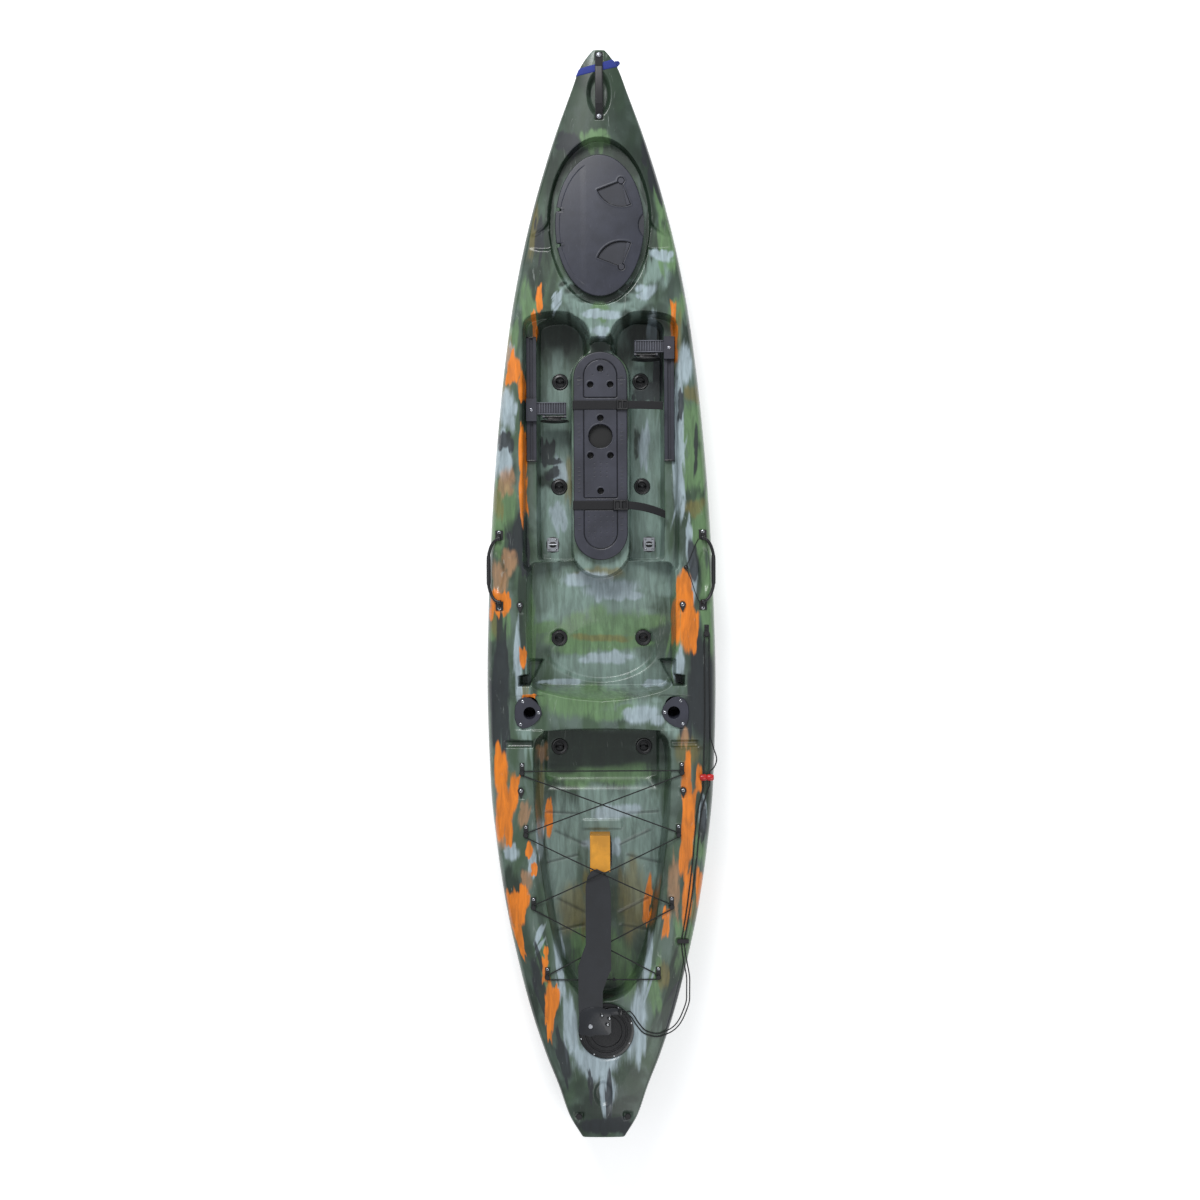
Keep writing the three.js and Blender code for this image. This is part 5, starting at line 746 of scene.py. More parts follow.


# Camouflage: brush marks as place, half sizes and, where one is turned, its turn in degrees

# Not all marks are pigment: the broad dark layer is painted shade, and some deep and pale marks are painted
# shade and sheen, as noted at each list.
MARKS = {
    "teal": [
        (-0.18, 0.7, 0.06, 0.26), (0.18, 0.62, 0.06, 0.3), (-0.19, 0.28, 0.06, 0.12), (0.19, 0.3, 0.06, 0.14),
        (0, -0.92, 0.2, 0.14), (-0.16, -1.1, 0.06, 0.2), (0.15, -1.05, 0.08, 0.16), (0.02, 1.08, 0.1, 0.08),
        (0, -0.27, 0.2, 0.08), (0.06, 0.06, 0.22, 0.07, 4), (0.06, 0, 0.18, 0.05, -6),
        (0.12, -0.45, 0.13, 0.04, 4), (0, 0, 0.24, 0.13), (0, 1.125, 0.17, 0.045), (-0.17, 0.48, 0.07, 0.3),
        (0.17, 0.46, 0.07, 0.3), (-0.1, 1.19, 0.05, 0.05, 30), (0.12, 1.19, 0.06, 0.05, -30),
        (0.23, 1.3, 0.05, 0.06, -20), (0, -0.08, 0.23, 0.06), (-0.3, -0.35, 0.02, 0.2),
        (0.3, -0.52, 0.04, 0.05), (-0.31, -0.52, 0.03, 0.05),
    ],
    "leaf": [
        (-0.02, -0.13, 0.24, 0.06, 8), (0, -0.19, 0.2, 0.03), (-0.08, -0.42, 0.18, 0.06),
        (-0.36, 1.02, 0.03, 0.06), (-0.38, 0.36, 0.05, 0.09), (-0.41, 0.25, 0.03, 0.1),
        (0.37, 0.68, 0.05, 0.1), (0.38, 0.52, 0.05, 0.09), (0.4, 0.28, 0.05, 0.12), (0.42, -0.02, 0.03, 0.12),
        (0.43, -0.16, 0.02, 0.1), (-0.4, -0.13, 0.04, 0.05), (0.38, -1, 0.03, 0.05),
        (0.33, -1.4, 0.04, 0.1, 8), (-0.23, -1.52, 0.018, 0.12, 10), (0, -0.72, 0.22, 0.035),
        (0, -1.45, 0.12, 0.1), (0.2, -1.55, 0.03, 0.08), (-0.28, 1.15, 0.03, 0.08, -8),
        (0.27, 1.38, 0.03, 0.1, 12), (0.24, 1.55, 0.02, 0.08, 14), (-0.02, 1.8, 0.05, 0.03),
        (0.3, 1.12, 0.03, 0.05), (-0.29, -0.1, 0.02, 0.14), (0.3, -0.1, 0.02, 0.16), (0, 1.13, 0.04, 0.04),
    ],
    # Painted shade among the deep green: the marks in the tank well's trough, at the fore ends of the
    # footwells and along the bow recess's walls; the rest are deep green pigment.
    "deep_and_shade": [
        (0, -0.58, 0.26, 0.035), (0, -0.645, 0.2, 0.05), (-0.17, 1.06, 0.07, 0.06), (0.17, 1.06, 0.07, 0.06),
        (-0.12, 1.73, 0.06, 0.05, -25), (0.12, 1.73, 0.06, 0.06, 25), (-0.18, 1.66, 0.03, 0.1, -14),
        (0.19, 1.6, 0.02, 0.14, 14), (-0.2, 1.47, 0.015, 0.14), (0.2, 1.47, 0.015, 0.12),
        (0, 1.185, 0.12, 0.018), (-0.1, 1.22, 0.05, 0.02, 25), (0.1, 1.22, 0.05, 0.02, -25),
        (-0.25, 1.25, 0.03, 0.06), (0.34, 1, 0.02, 0.07), (-0.31, 0.76, 0.015, 0.07),
        (-0.31, -0.03, 0.02, 0.16), (-0.31, -0.19, 0.014, 0.1), (-0.36, -1.17, 0.05, 0.08),
        (0, -2.03, 0.12, 0.05), (0.27, -1.78, 0.03, 0.22, -18), (-0.24, -1.93, 0.03, 0.16, 20),
        (0.3, -1.55, 0.03, 0.12, -12), (0, 1, 0.05, 0.03), (-0.28, -1.62, 0.02, 0.08, 12),
        (-0.3, -0.585, 0.06, 0.016), (0.33, -0.6, 0.06, 0.014), (0.43, -0.62, 0.02, 0.08),
        (-0.06, 2.05, 0.05, 0.06), (0.15, 0.62, 0.014, 0.06), (-0.2, 0.47, 0.05, 0.03),
    ],
    "olive": [
        (-0.375, 0.83, 0.02, 0.06), (0.365, 0.8, 0.035, 0.03), (0.37, 0.35, 0.04, 0.03),
        (-0.41, 0.37, 0.02, 0.05), (0, 0.09, 0.09, 0.025), (0, -0.17, 0.11, 0.014), (0.305, 1.02, 0.018, 0.1),
        (-0.42, -0.11, 0.02, 0.05), (-0.12, -1.25, 0.06, 0.1), (0.12, -1.22, 0.06, 0.14),
        (0.34, -0.62, 0.05, 0.06), (-0.13, 0.49, 0.012, 0.08), (-0.25, -0.8, 0.012, 0.12),
        (0.37, -1.25, 0.03, 0.05, -6), (-0.38, -0.72, 0.03, 0.03), (-0.36, 1, 0.012, 0.04),
        (0.24, -1.5, 0.02, 0.05), (-0.26, 1.45, 0.012, 0.1, -8), (-0.35, -1.32, 0.03, 0.05, 8),
        (-0.31, -0.42, 0.02, 0.08),
    ],
    # Painted sheen among the pale marks: those across the seat; the rest are pale blue-grey pigment.
    "pale": [
        (-0.37, 0.74, 0.035, 0.08), (-0.385, 0.55, 0.035, 0.09), (0.335, 0.92, 0.03, 0.08),
        (0.31, 0.66, 0.018, 0.16), (0.31, 0.45, 0.018, 0.12), (-0.165, 0.5, 0.025, 0.06),
        (0.175, 0.6, 0.022, 0.07), (-0.175, 0.33, 0.03, 0.05), (0.02, -0.25, 0.1, 0.022, 2),
        (0.04, 0.03, 0.11, 0.035, 4), (-0.05, 0.07, 0.1, 0.03), (0.16, -0.47, 0.07, 0.035, 6),
        (-0.02, -1.83, 0.09, 0.08), (0.02, -1.95, 0.03, 0.07), (-0.13, -1.7, 0.03, 0.13, 8),
        (0.13, -1.7, 0.035, 0.13, -8), (0.18, -1.46, 0.012, 0.1, -8), (-0.17, -1.48, 0.012, 0.11, 10),
        (0.05, -0.87, 0.09, 0.028), (0.24, 1.345, 0.045, 0.02, -20), (0.19, 1.2, 0.045, 0.022, 40),
        (-0.17, 1.17, 0.014, 0.04, -30), (0, 1.115, 0.08, 0.016), (0.21, 1.07, 0.02, 0.06),
        (-0.36, -1.02, 0.03, 0.03), (-0.25, -0.95, 0.012, 0.06), (0.4, -0.86, 0.014, 0.06),
        (-0.28, -1.06, 0.012, 0.05, -10), (0.31, -0.27, 0.022, 0.05), (-0.33, -0.3, 0.012, 0.16),
        (0.37, 0.06, 0.01, 0.08), (0.35, 0.22, 0.01, 0.08), (-0.25, -1.34, 0.008, 0.05, -30),
        (0, 1.05, 0.035, 0.02), (-0.35, 0.93, 0.012, 0.06), (0, -1, 0.07, 0.03), (0.22, -0.35, 0.05, 0.012),
        (-0.17, -0.345, 0.07, 0.012),
    ],
    "slate": [
        (-0.4, -0.36, 0.035, 0.22), (-0.42, -0.5, 0.02, 0.12), (0.39, -0.4, 0.055, 0.18),
        (0.42, -0.36, 0.03, 0.16), (0.34, -0.47, 0.025, 0.09), (-0.38, 0.62, 0.035, 0.035),
        (-0.32, 0.26, 0.028, 0.09), (-0.34, 0.2, 0.03, 0.05), (-0.12, 1.79, 0.05, 0.04, -20),
        (0.23, 1.68, 0.035, 0.1, 16), (0.2, 1.76, 0.03, 0.05, 20), (-0.25, -1.54, 0.022, 0.12, 14),
        (-0.155, -1.83, 0.022, 0.09, 14), (0.28, -1.66, 0.02, 0.12, -16), (0, -2.1, 0.12, 0.035),
        (-0.3, 0.115, 0.02, 0.03), (0.38, 0.58, 0.006, 0.08), (0.32, 0.76, 0.012, 0.05),
        (-0.24, 1.42, 0.018, 0.07, -10), (0.37, 0.12, 0.02, 0.07), (-0.195, 0.545, 0.042, 0.014),
        (-0.215, 0.578, 0.03, 0.05), (-0.19, 0.5, 0.03, 0.022), (0.19, 0.83, 0.06, 0.04),
        (0.235, 0.88, 0.02, 0.1), (0.4, -0.88, 0.014, 0.08), (0.02, -1.99, 0.01, 0.11),
        (-0.05, -1.95, 0.006, 0.05, 6),
    ],
    "peach": [
        (-0.355, 0.95, 0.02, 0.05), (-0.4, 0.06, 0.03, 0.06), (-0.36, 0.14, 0.03, 0.04),
        (0.28, -1.15, 0.022, 0.1), (-0.39, -0.95, 0.03, 0.05), (-0.31, -0.86, 0.018, 0.05, -14),
        (-0.375, 0.46, 0.03, 0.05), (0.33, -0.56, 0.014, 0.03), (-0.3, -1.13, 0.02, 0.03),
        (-0.24, -0.63, 0.02, 0.03),
    ],
    # Painted shade: broad dark patches over the bow, along the gunwales, in the wells and round the stern.
    "painted_shade": [
        (0, 1.9, 0.22, 0.22), (-0.2, 1.72, 0.08, 0.14), (0.2, 1.72, 0.08, 0.14), (-0.26, 1.38, 0.05, 0.22),
        (0.27, 1.3, 0.05, 0.16), (-0.2, 1.12, 0.1, 0.04), (0.2, 1.12, 0.1, 0.04), (-0.16, 1.04, 0.08, 0.09),
        (0.16, 1, 0.08, 0.12), (-0.39, 0.22, 0.05, 0.12), (-0.36, 0.5, 0.03, 0.05), (0.41, 0.24, 0.04, 0.2),
        (0.4, 0.05, 0.05, 0.1), (0.405, -0.52, 0.05, 0.24), (0.42, -0.8, 0.03, 0.1), (0, -0.585, 0.26, 0.05),
        (0, -0.66, 0.25, 0.06), (-0.17, -0.9, 0.06, 0.16), (0.17, -0.92, 0.06, 0.14), (0, -1.05, 0.1, 0.18),
        (-0.22, -1.1, 0.03, 0.2, 8), (0.22, -1.1, 0.03, 0.2, -8), (0, -1.45, 0.16, 0.12),
        (-0.3, -1.42, 0.03, 0.2, 8), (0.3, -1.48, 0.03, 0.2, -8), (0.1, -1.95, 0.06, 0.12),
        (0, -2.08, 0.16, 0.06), (-0.2, -1.9, 0.03, 0.18, 18), (-0.235, 1.33, 0.05, 0.14, -10),
        (0.38, 0.2, 0.06, 0.22), (0.4, -0.38, 0.05, 0.22), (-0.14, -0.84, 0.09, 0.08), (0, -0.75, 0.22, 0.03),
        (0, -1.97, 0.1, 0.06), (0.4, -0.38, 0.05, 0.2), (0.22, -1.86, 0.03, 0.2, -18),
        (-0.43, -0.3, 0.015, 0.2), (0.31, 0.22, 0.02, 0.16), (-0.31, 0.24, 0.02, 0.12),
    ],
    "orange": [
        (-0.34, 0.9, 0.03, 0.055), (-0.31, 0.83, 0.018, 0.05), (-0.312, 0.58, 0.014, 0.1),
        (-0.312, 0.41, 0.013, 0.09), (-0.415, -0.02, 0.025, 0.05), (-0.38, -0.03, 0.02, 0.04),
        (-0.31, -0.245, 0.013, 0.04), (-0.29, -0.4, 0.03, 0.012), (0.333, 0.02, 0.03, 0.08),
        (0.345, -0.13, 0.032, 0.11), (0.3, -0.1, 0.014, 0.1), (-0.4, -0.7, 0.028, 0.09),
        (-0.385, -0.84, 0.035, 0.09), (-0.35, -0.78, 0.018, 0.08), (-0.37, -0.93, 0.018, 0.05),
        (-0.34, -1.25, 0.035, 0.07, 6), (-0.31, -1.2, 0.022, 0.05), (-0.29, -1.01, 0.014, 0.03),
        (-0.33, -1.36, 0.014, 0.06, 14), (-0.27, -1.08, 0.012, 0.025), (0.335, -0.74, 0.022, 0.1),
        (0.345, -0.87, 0.026, 0.13), (0.33, -1.02, 0.022, 0.1), (0.335, -1.2, 0.022, 0.1, -4),
        (0.385, -1.17, 0.012, 0.08, -4), (0.385, -0.72, 0.012, 0.06), (-0.21, -1.62, 0.016, 0.11, 2),
        (-0.185, -1.6, 0.016, 0.05, -6), (-0.232, -1.49, 0.009, 0.04), (-0.225, -1.43, 0.006, 0.03),
        (-0.24, 1.17, 0.012, 0.05), (-0.26, 1.06, 0.01, 0.05), (0.295, 1.06, 0.01, 0.1, 4),
        (0.25, -1.3, 0.01, 0.06, -8), (-0.215, -0.9, 0.012, 0.07), (0.18, -1.22, 0.014, 0.09, -8),
    ],
}

# Layers in the order that they are laid on, the first of them painted shade: colour, strength and softness of
# the edge
PAINT_LAYERS = {
    "painted_shade": ("deep_green", 0.62, 0.34),
    "teal": ("teal", 0.8, 0.34),
    "leaf": ("leaf_green", 0.85, 0.26),
    "deep_and_shade": ("deep_green", 0.9, 0.26),
    "olive": ("olive", 0.65, 0.3),
    "pale": ("blue_grey", 0.85, 0.24),
    "slate": ("near_black", 0.9, 0.16),
    "peach": ("peach", 0.7, 0.26),
    "orange": ("orange", 0.97, 0.13),
}
SUB_STROKES = 7

# Shallow channels in the tank well's floor: across and along at the outer end, then at the inner end
CHANNELS = [((0.225, -0.868), (0.10, -0.875)), ((0.19, -0.944), (0.07, -1.001)),
            ((0.22, -1.071), (0.10, -1.042)), ((0.183, -1.216), (0.07, -1.273)),
            ((0.178, -1.343), (0.075, -1.324))]


def away_from_channels(x, y):
    """Distance to the nearest channel, each a straight span from its outer to its inner end."""
    best = np.full(x.shape, 1.0)
    for (ax, ay), (bx, by) in CHANNELS:
        ex, ey = bx - ax, by - ay
        t = np.clip(((np.abs(x) - ax) * ex + (y - ay) * ey) / (ex * ex + ey * ey), 0, 1)
        best = np.minimum(best, np.hypot(np.abs(x) - ax - t * ex, y - ay - t * ey))
    return best


def strokes(marks, seed):
    """Each mark with several thinner ones drawn over its edges, all of them longer along the hull."""
    rng = np.random.default_rng(seed)
    found = []
    for at_x, at_y, half_x, half_y, *turn in marks:
        degrees = turn[0] if turn else 0
        found.append((at_x, at_y, half_x * 0.85, half_y * 0.85, degrees, 1.0))
        for _ in range(SUB_STROKES):
            shift_x, shift_y = rng.uniform(-0.95, 0.95, 2)
            thin, long = rng.uniform(0.14, 0.4), rng.uniform(0.35, 0.8)
            found.append((at_x + shift_x * half_x, at_y + shift_y * half_y, max(half_x * thin, 0.005),
                          half_y * long, degrees + rng.normal(0, 5), rng.uniform(0.75, 1.0)))
    return found


def smears(marks, x, y):
    """How strongly each point lies in a set of strokes: the greatest of their bells."""
    total = np.zeros(x.shape)
    for at_x, at_y, half_x, half_y, degrees, weight in marks:
        reach = 2.4 * max(half_x, half_y)
        near = (np.abs(x - at_x) < reach) & (np.abs(y - at_y) < reach)
        c, s = math.cos(math.radians(degrees)), math.sin(math.radians(degrees))
        dx, dy = x[near] - at_x, y[near] - at_y
        across, along = (dx * c + dy * s) / half_x, (dy * c - dx * s) / half_y
        total[near] = np.maximum(total[near], weight * np.exp(-0.7 * (across ** 2 + along ** 2)))
    return total


def paint(piece):
    """Stores how much of each layer, painted shade among them, every point of a hull piece has, and the
    painted shade in the tank well's channels.
    """
    co = np.zeros(len(piece.data.vertices) * 3, np.float32)
    piece.data.vertices.foreach_get("co", co)
    x, y, z = co.reshape(-1, 3).T.astype(float)
    reach = x + np.sign(x) * np.maximum(0.2 - z, 0) * 0.4 * (np.abs(x) > 0.3)
    for number, (name, marks) in enumerate(MARKS.items()):
        mark(piece, name, smears(strokes(marks, number), reach, y))
    # Painted shade in the tank well's channels.
    mark(piece, "shade", 0.55 * np.exp(-(away_from_channels(x, y) / 0.005) ** 2) * (z > 0.12) * (z < 0.2))


def camouflage(colours):
    """Marbled plastic: brush marks of pigment with streaky edges over mottled green, laid with painted shade,
    a painted sheen on the seat and painted shade in the channels.
    """
    look = Look("hull_camouflage", colours.green, Roughness=0.36, Coat_Weight=0.15)
    streak = look.noise(1.0, 6.0, 0.62, 0.5, look.stretched((52.0, 8.0, 20.0)))
    broad = look.noise(1.0, 4.0, 0.55, 0.8, look.stretched((11.0, 3.4, 6.0)))
    cloud = look.noise(5.0, 5.0, 0.55, 0.6)
    fine = look.noise(1.0, 3.0, 0.6, 0.2, look.stretched((170.0, 22.0, 60.0)))
    edge = (streak - 0.5) * 0.62 + (fine - 0.5) * 0.22 + (broad - 0.5) * 0.3
    base = look.mixed(broad.step(0.36, 0.62), colours.green, colours.grey_green)
    base = look.mixed(cloud.step(0.48, 0.68) * 0.6, base, colours.deep_green)
    for name, (tint, strength, soft) in PAINT_LAYERS.items():
        tint = getattr(colours, tint)
        share = (look.field(name) + edge).step(0.44 - soft, 0.44 + soft) * strength
        dark, light = tuple(c * 0.86 for c in tint), tuple(min(c * 1.1, 1) for c in tint)
        base = look.mixed(share, base, look.mixed(streak.step(0.3, 0.72), dark, light))
    wisps = look.noise(1.0, 5.0, 0.66, 1.4, look.stretched((34.0, 7.0, 16.0), (0, 0, 0.1))).step(0.62, 0.74)
    base = look.mixed(wisps * 0.28, base, colours.wisp)
    # Painted shade from the stored "shade": darker towards deep green in the tank well's channels.
    base = look.mixed(look.field("shade"), base, tuple(c * 0.3 for c in colours.deep_green))
    look.feed("Base Color", base)
    haze = look.noise(40.0, 4.0)
    look.feed("Roughness", 0.30 + haze * 0.14)
    look.bump(look.noise(420.0, 3.0) * 0.6 + look.noise(45.0, 3.0) * 0.4, 0.2, 0.0005)
    return look.material


# Hull pieces: the radius of their rounded ends, and how far their widest part is drawn in

ROUND = 0.012
SHY_OF_BOX = 0.0012

# Openings cut in the hull's faces, as half sizes
HATCH_HOLE, STERN_HOLE, SCUPPER_HOLE = (0.147, 0.253), (0.094, 0.094), (0.026, 0.026)


def hull_openings():
    """Openings in the hull: half sizes, place, and whether they go right through."""
    found = [(*HATCH_HOLE, 0, HATCH_Y, False), (*STERN_HOLE, *STERN_HATCH, False)]
    for at_x, at_y, _ in SCUPPERS:
        found += [(*SCUPPER_HOLE, sign * at_x, at_y, True) for _, sign in SIDES]
    return found


def hull_section(name, aft, fore, rows, dense_at, round_aft=False, round_fore=False):
    """One closed length of the hull: rings that run across the deck and back round the keel."""
    y = spread(rows, dense_at, 0.03, 1.2, aft, fore)
    u = spread(171, (-0.69, -0.6, -0.27, 0.27, 0.6, 0.69), 0.035, 2.2)
    grid_u, grid_y = np.meshgrid(u, y)
    x = grid_u * EDGE_SHARE * half_beam_at(grid_y)
    deck = np.stack([x, grid_y, hull_deck(x, grid_y)], -1)
    s = np.linspace(10, 0, 31)[1:]
    grid_s, low_y = np.meshgrid(s, y)
    right_x, right_z = section_point(grid_s, low_y)
    right = np.stack([right_x, low_y, right_z], -1)
    left = (right * (-1, 1, 1))[:, ::-1][:, 1:]
    ring = np.concatenate([deck, right, left], 1)
    ring[..., 0] *= 1 - SHY_OF_BOX * smooth((np.abs(ring[..., 0]) - 0.33) / 0.1)
    for wanted, row, sign in ((round_aft, 0, -1), (round_fore, -1, 1)):
        if wanted:
            ring = rounded_end(ring, row, sign)
    rows, columns = ring.shape[:2]
    faces = grid_faces(rows, columns, closed_columns=True)
    flat = ring.reshape(-1, 3)
    middle = flat[faces].mean(1)
    keep = np.ones(len(faces), bool)
    for half_x, half_y, at_x, at_y, through in hull_openings():
        inside = np.hypot((middle[:, 0] - at_x) / half_x, (middle[:, 1] - at_y) / half_y) < 1
        keep &= ~(inside & (through | (middle[:, 2] > 0.2)))
    piece = mesh_object(name, flat, faces[keep])
    cap_ends(piece, rows, columns)
    paint(piece)
    return piece


def rounded_end(ring, row, sign):
    """Turns the last rings in towards their middle along a quarter circle."""
    last = ring[row]
    middle = np.array([last[:, 0].mean(), last[0, 1], (last[:, 2].min() + last[:, 2].max()) / 2])
    out = last - middle
    size = np.hypot(out[:, 0], out[:, 2]).max()
    extra = []
    for angle in np.linspace(0, math.pi / 2, 7)[1:]:
        shrunk = middle + out * (1 - ROUND * (1 - math.cos(angle)) / size * np.array([2.2, 1, 1]))
        shrunk[:, 1] = last[:, 1] + sign * ROUND * math.sin(angle) * 0.5
        extra.append(shrunk)
    extra = np.array(extra)
    return np.concatenate([extra[::-1], ring] if sign < 0 else [ring, extra])


def cap_ends(piece, rows, columns):
    """Closes both ends of a tube of rings with a flat face each, with sharp edges round it."""
    bm = bmesh.new()
    bm.from_mesh(piece.data)
    bm.verts.ensure_lookup_table()
    for row in (0, rows - 1):
        corners = [bm.verts[row * columns + c] for c in range(columns)]
        face = bm.faces.new(corners if row else corners[::-1])
        for edge in face.edges:
            edge.smooth = False
    bmesh.ops.recalc_face_normals(bm, faces=bm.faces)
    if sum(f.normal.z * f.calc_area() for f in bm.faces if f.calc_center_median().z > 0.25) < 0:
        bmesh.ops.reverse_faces(bm, faces=bm.faces)
    bm.to_mesh(piece.data)
    bm.free()


def swept_ring(name, half_x, half_y, at_x, at_y, profile, count=128):
    """A closed ring: a closed profile of pairs of outward step and height, carried round an ellipse."""
    angle = np.arange(count) / count * 2 * math.pi
    step, height = np.array(profile, float).T
    nx, ny = np.cos(angle) / half_x, np.sin(angle) / half_y
    length = np.hypot(nx, ny)
    x = at_x + half_x * np.cos(angle)[:, None] + (nx / length)[:, None] * step
    y = at_y + half_y * np.sin(angle)[:, None] + (ny / length)[:, None] * step
    return closed_loop(name, np.stack([x, y, np.broadcast_to(height, x.shape)], -1))


# Coaming, hollows and hinges: steps outwards or shares of the radius, each with its height

COAMING_FOOT = [(0.012, -0.002), (0.008, 0.001), (0.006, 0.005)]
COAMING_TOP = [(0.006, -0.002), (0.004, 0), (0.001, 0), (0.0, -0.001)]
COAMING_DROP = 0.02
FORE_HOLLOW = [(1.0, 0.0), (1.0, -0.014), (1.25, -0.018), (1.42, -0.04), (1.42, -0.1), (1.25, -0.17),
               (0.9, -0.2), (0.4, -0.21)]
AFT_HOLLOW = [(1.0, 0.0), (1.0, -0.02), (1.35, -0.022), (1.6, -0.05), (1.55, -0.1), (1.2, -0.16),
              (0.5, -0.19)]
AFT_HOLLOW_RADIUS, AFT_HOLLOW_RISE = 0.0845, 0.016
HINGE_X, HINGE_AXIS = -0.162, 0.324
POST_BORE, POST_RADIUS = 0.0034, 0.007
LID_HINGES = (1.529, 1.384)


def build_hull(colours):
    """The hull in three closed lengths, its coaming, hollows, drain tubes and hinge posts."""
    look = camouflage(colours)
    # The hollows under the hatches are a darker green than the hull: painted shade for the hull's inside.
    dark = moulded_plastic("hull_inside_shaded", (0.14, 0.17, 0.13), 0.6)
    end = HALF_LENGTH - ROUND / 2
    fore = hull_section("hull_fore", 1.14, end, 330, (1.155, 1.8, 1.89, 2.06), round_fore=True)
    mid = hull_section("hull_mid", -0.5, 1.14, 420, (-0.42, -0.36, 0.1, 0.15, 1.02, 1.11))
    aft = hull_section("hull_aft", -end, -0.5, 420, (-0.52, -0.73, -0.79, -1.6, -0.587), round_aft=True)
    placed(fore, look)
    placed(mid, look, replaces=("hull",))
    placed(aft, look)
    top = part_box("bow_hatch_seal")[0].z - GAP
    section = [(step, RECESS_FLOOR + z) for step, z in COAMING_FOOT]
    section += [(step, top + z) for step, z in COAMING_TOP]
    section += [(step, RECESS_FLOOR - COAMING_DROP) for step in (0.0, 0.004)]
    coaming = swept_ring("hull_coaming", *OPENING, 0, HATCH_Y, section)
    paint(coaming)
    placed(coaming, look)
    level = RECESS_FLOOR - 0.004
    placed(hollow("hull_hollow_fore", 0, HATCH_Y, *OPENING, level, FORE_HOLLOW), dark)
    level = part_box("stern_hatch_ring")[0].z + AFT_HOLLOW_RISE
    radius = AFT_HOLLOW_RADIUS
    placed(hollow("hull_hollow_aft", *STERN_HATCH, radius, radius, level, AFT_HOLLOW), dark)
    pieces = [joined("hull_drain_tubes",
                     [drain_tube(x * sign, y, z) for x, y, z in SCUPPERS for _, sign in SIDES])]
    for number, at_y in enumerate(LID_HINGES, 1):
        pieces.append(hinge_post(f"hull_hinge_post_{number}", HINGE_X, at_y, HINGE_AXIS))
    for piece in pieces:
        paint(piece)
        placed(piece, look)


def hollow(name, at_x, at_y, half_x, half_y, top, steps):
    """The space under a hatch: rings of an ellipse that widen under the deck and close over the bottom."""
    angle = np.arange(96) / 96 * 2 * math.pi
    share, drop = np.array(steps, float).T
    x = at_x + share[:, None] * half_x * np.cos(angle)
    y = at_y + share[:, None] * half_y * np.sin(angle)
    z = np.broadcast_to((top + drop)[:, None], x.shape)
    points = np.stack([x, y, z], -1)
    rows, columns = points.shape[:2]
    faces = grid_faces(rows, columns, closed_columns=True)
    flat = np.r_[points.reshape(-1, 3), [points[-1].mean(0)]]
    c = (rows - 1) * columns + np.arange(columns)
    fans = np.stack([c, np.roll(c, -1), np.full(columns, len(flat) - 1)], 1)
    return with_fans(name, flat, faces[:, ::-1], fans[:, ::-1])


def drain_tube(x, y, level):
    """A scupper: a tube with a flat lip at the well's floor and another under the hull."""
    s = np.linspace(0, 10, 401)
    across, up = section_point(s, np.full(s.shape, y))
    low = float(np.interp(abs(x), across[:300], up[:300])) + 0.0017
    upper = [(0.033, -0.003), (0.032, -0.0005), (0.03, 0), (0.024, 0), (SCUPPER_RADIUS, -0.002)]
    lower = [(SCUPPER_RADIUS, 0.002), (0.024, -0.001), (0.03, -0.0015), (0.03, 0.003), (0.0235, 0.004)]
    profile = [(r, level + z) for r, z in upper] + [(r, low + z) for r, z in lower]
    profile.append((0.0235, level - 0.004))
    return swept_ring("drain", 0.001, 0.001, x, y, [(r - 0.001, z) for r, z in profile], 40)


def joined(name, pieces):
    """Joins pieces into one mesh object."""
    bm = bmesh.new()
    for piece in pieces:
        bm.from_mesh(piece.data)
    mesh = bpy.data.meshes.new(name)
    bm.to_mesh(mesh)
    bm.free()
    for piece in pieces:
        bpy.data.objects.remove(piece)
    made = bpy.data.objects.new(name, mesh)
    bpy.context.scene.collection.objects.link(made)
    return made


def hinge_post(name, x, y, axis_z):
    """An upright with a round, bored top for the lid's hinge pin."""
    angle = np.arange(48) / 48 * 2 * math.pi
    bore = POST_BORE * np.c_[np.cos(angle), np.sin(angle)]
    outer = POST_RADIUS * np.c_[np.cos(angle), np.sin(angle)]
    below = outer[:, 1] < 0
    spread_out = np.minimum(np.abs(np.cos(angle[below])) * 2.2, 1)
    outer[below, 0] = POST_RADIUS * np.sign(np.cos(angle[below])) * spread_out
    outer[below, 1] = np.minimum(outer[below, 1] * 5, 0)
    outer[:, 1] = np.maximum(outer[:, 1], RECESS_FLOOR - 0.002 - axis_z)
    rings = []
    for shape, across in ((outer, -1), (outer, 1), (bore, 1), (bore, -1)):
        rings.append(np.c_[x + shape[:, 0], np.full(48, y + across * POST_RADIUS), axis_z + shape[:, 1]])
    return closed_loop(name, np.array(rings))


# Fittings that keep their CAD shape

def build_fittings(colours):
    """CAD nodes whose shape is right, with eased corners and a material of their own."""
    kinds = {
        "satin_black": moulded_plastic("satin_black_plastic", colours.satin_black, 0.42),
        "rubber_black": moulded_plastic("black_rubber", colours.rubber, 0.62, 600.0, 0.00025),
        "gloss_black": moulded_plastic("gloss_black_plastic", colours.gloss_black, 0.22),
        "pod_grey": moulded_plastic("pod_plastic", colours.pod, 0.45, 700.0, 0.0002),
        "blade_black": moulded_plastic("blade_plastic", colours.blade, 0.45),
        "steel": brushed_metal("stainless_steel", (0.72, 0.73, 0.75), 0.3),
        "toggle_red": moulded_plastic("red_plastic", colours.toggle, 0.3),
        "rest_yellow": moulded_plastic("yellow_board", colours.rest, 0.6),
    }
    eased = {"satin_black": 0.0012, "gloss_black": 0.001, "pod_grey": 0.002, "blade_black": 0.0015,
             "rest_yellow": 0.002}
    for part in frame["record"]["subparts"]:
        node, slot = part["node"], part["material_slot"]
        if slot in kinds and not frame["nodes"][node].hide_render:
            finished_copy(node, kinds[slot], eased.get(slot, 0.0006))


# Cords

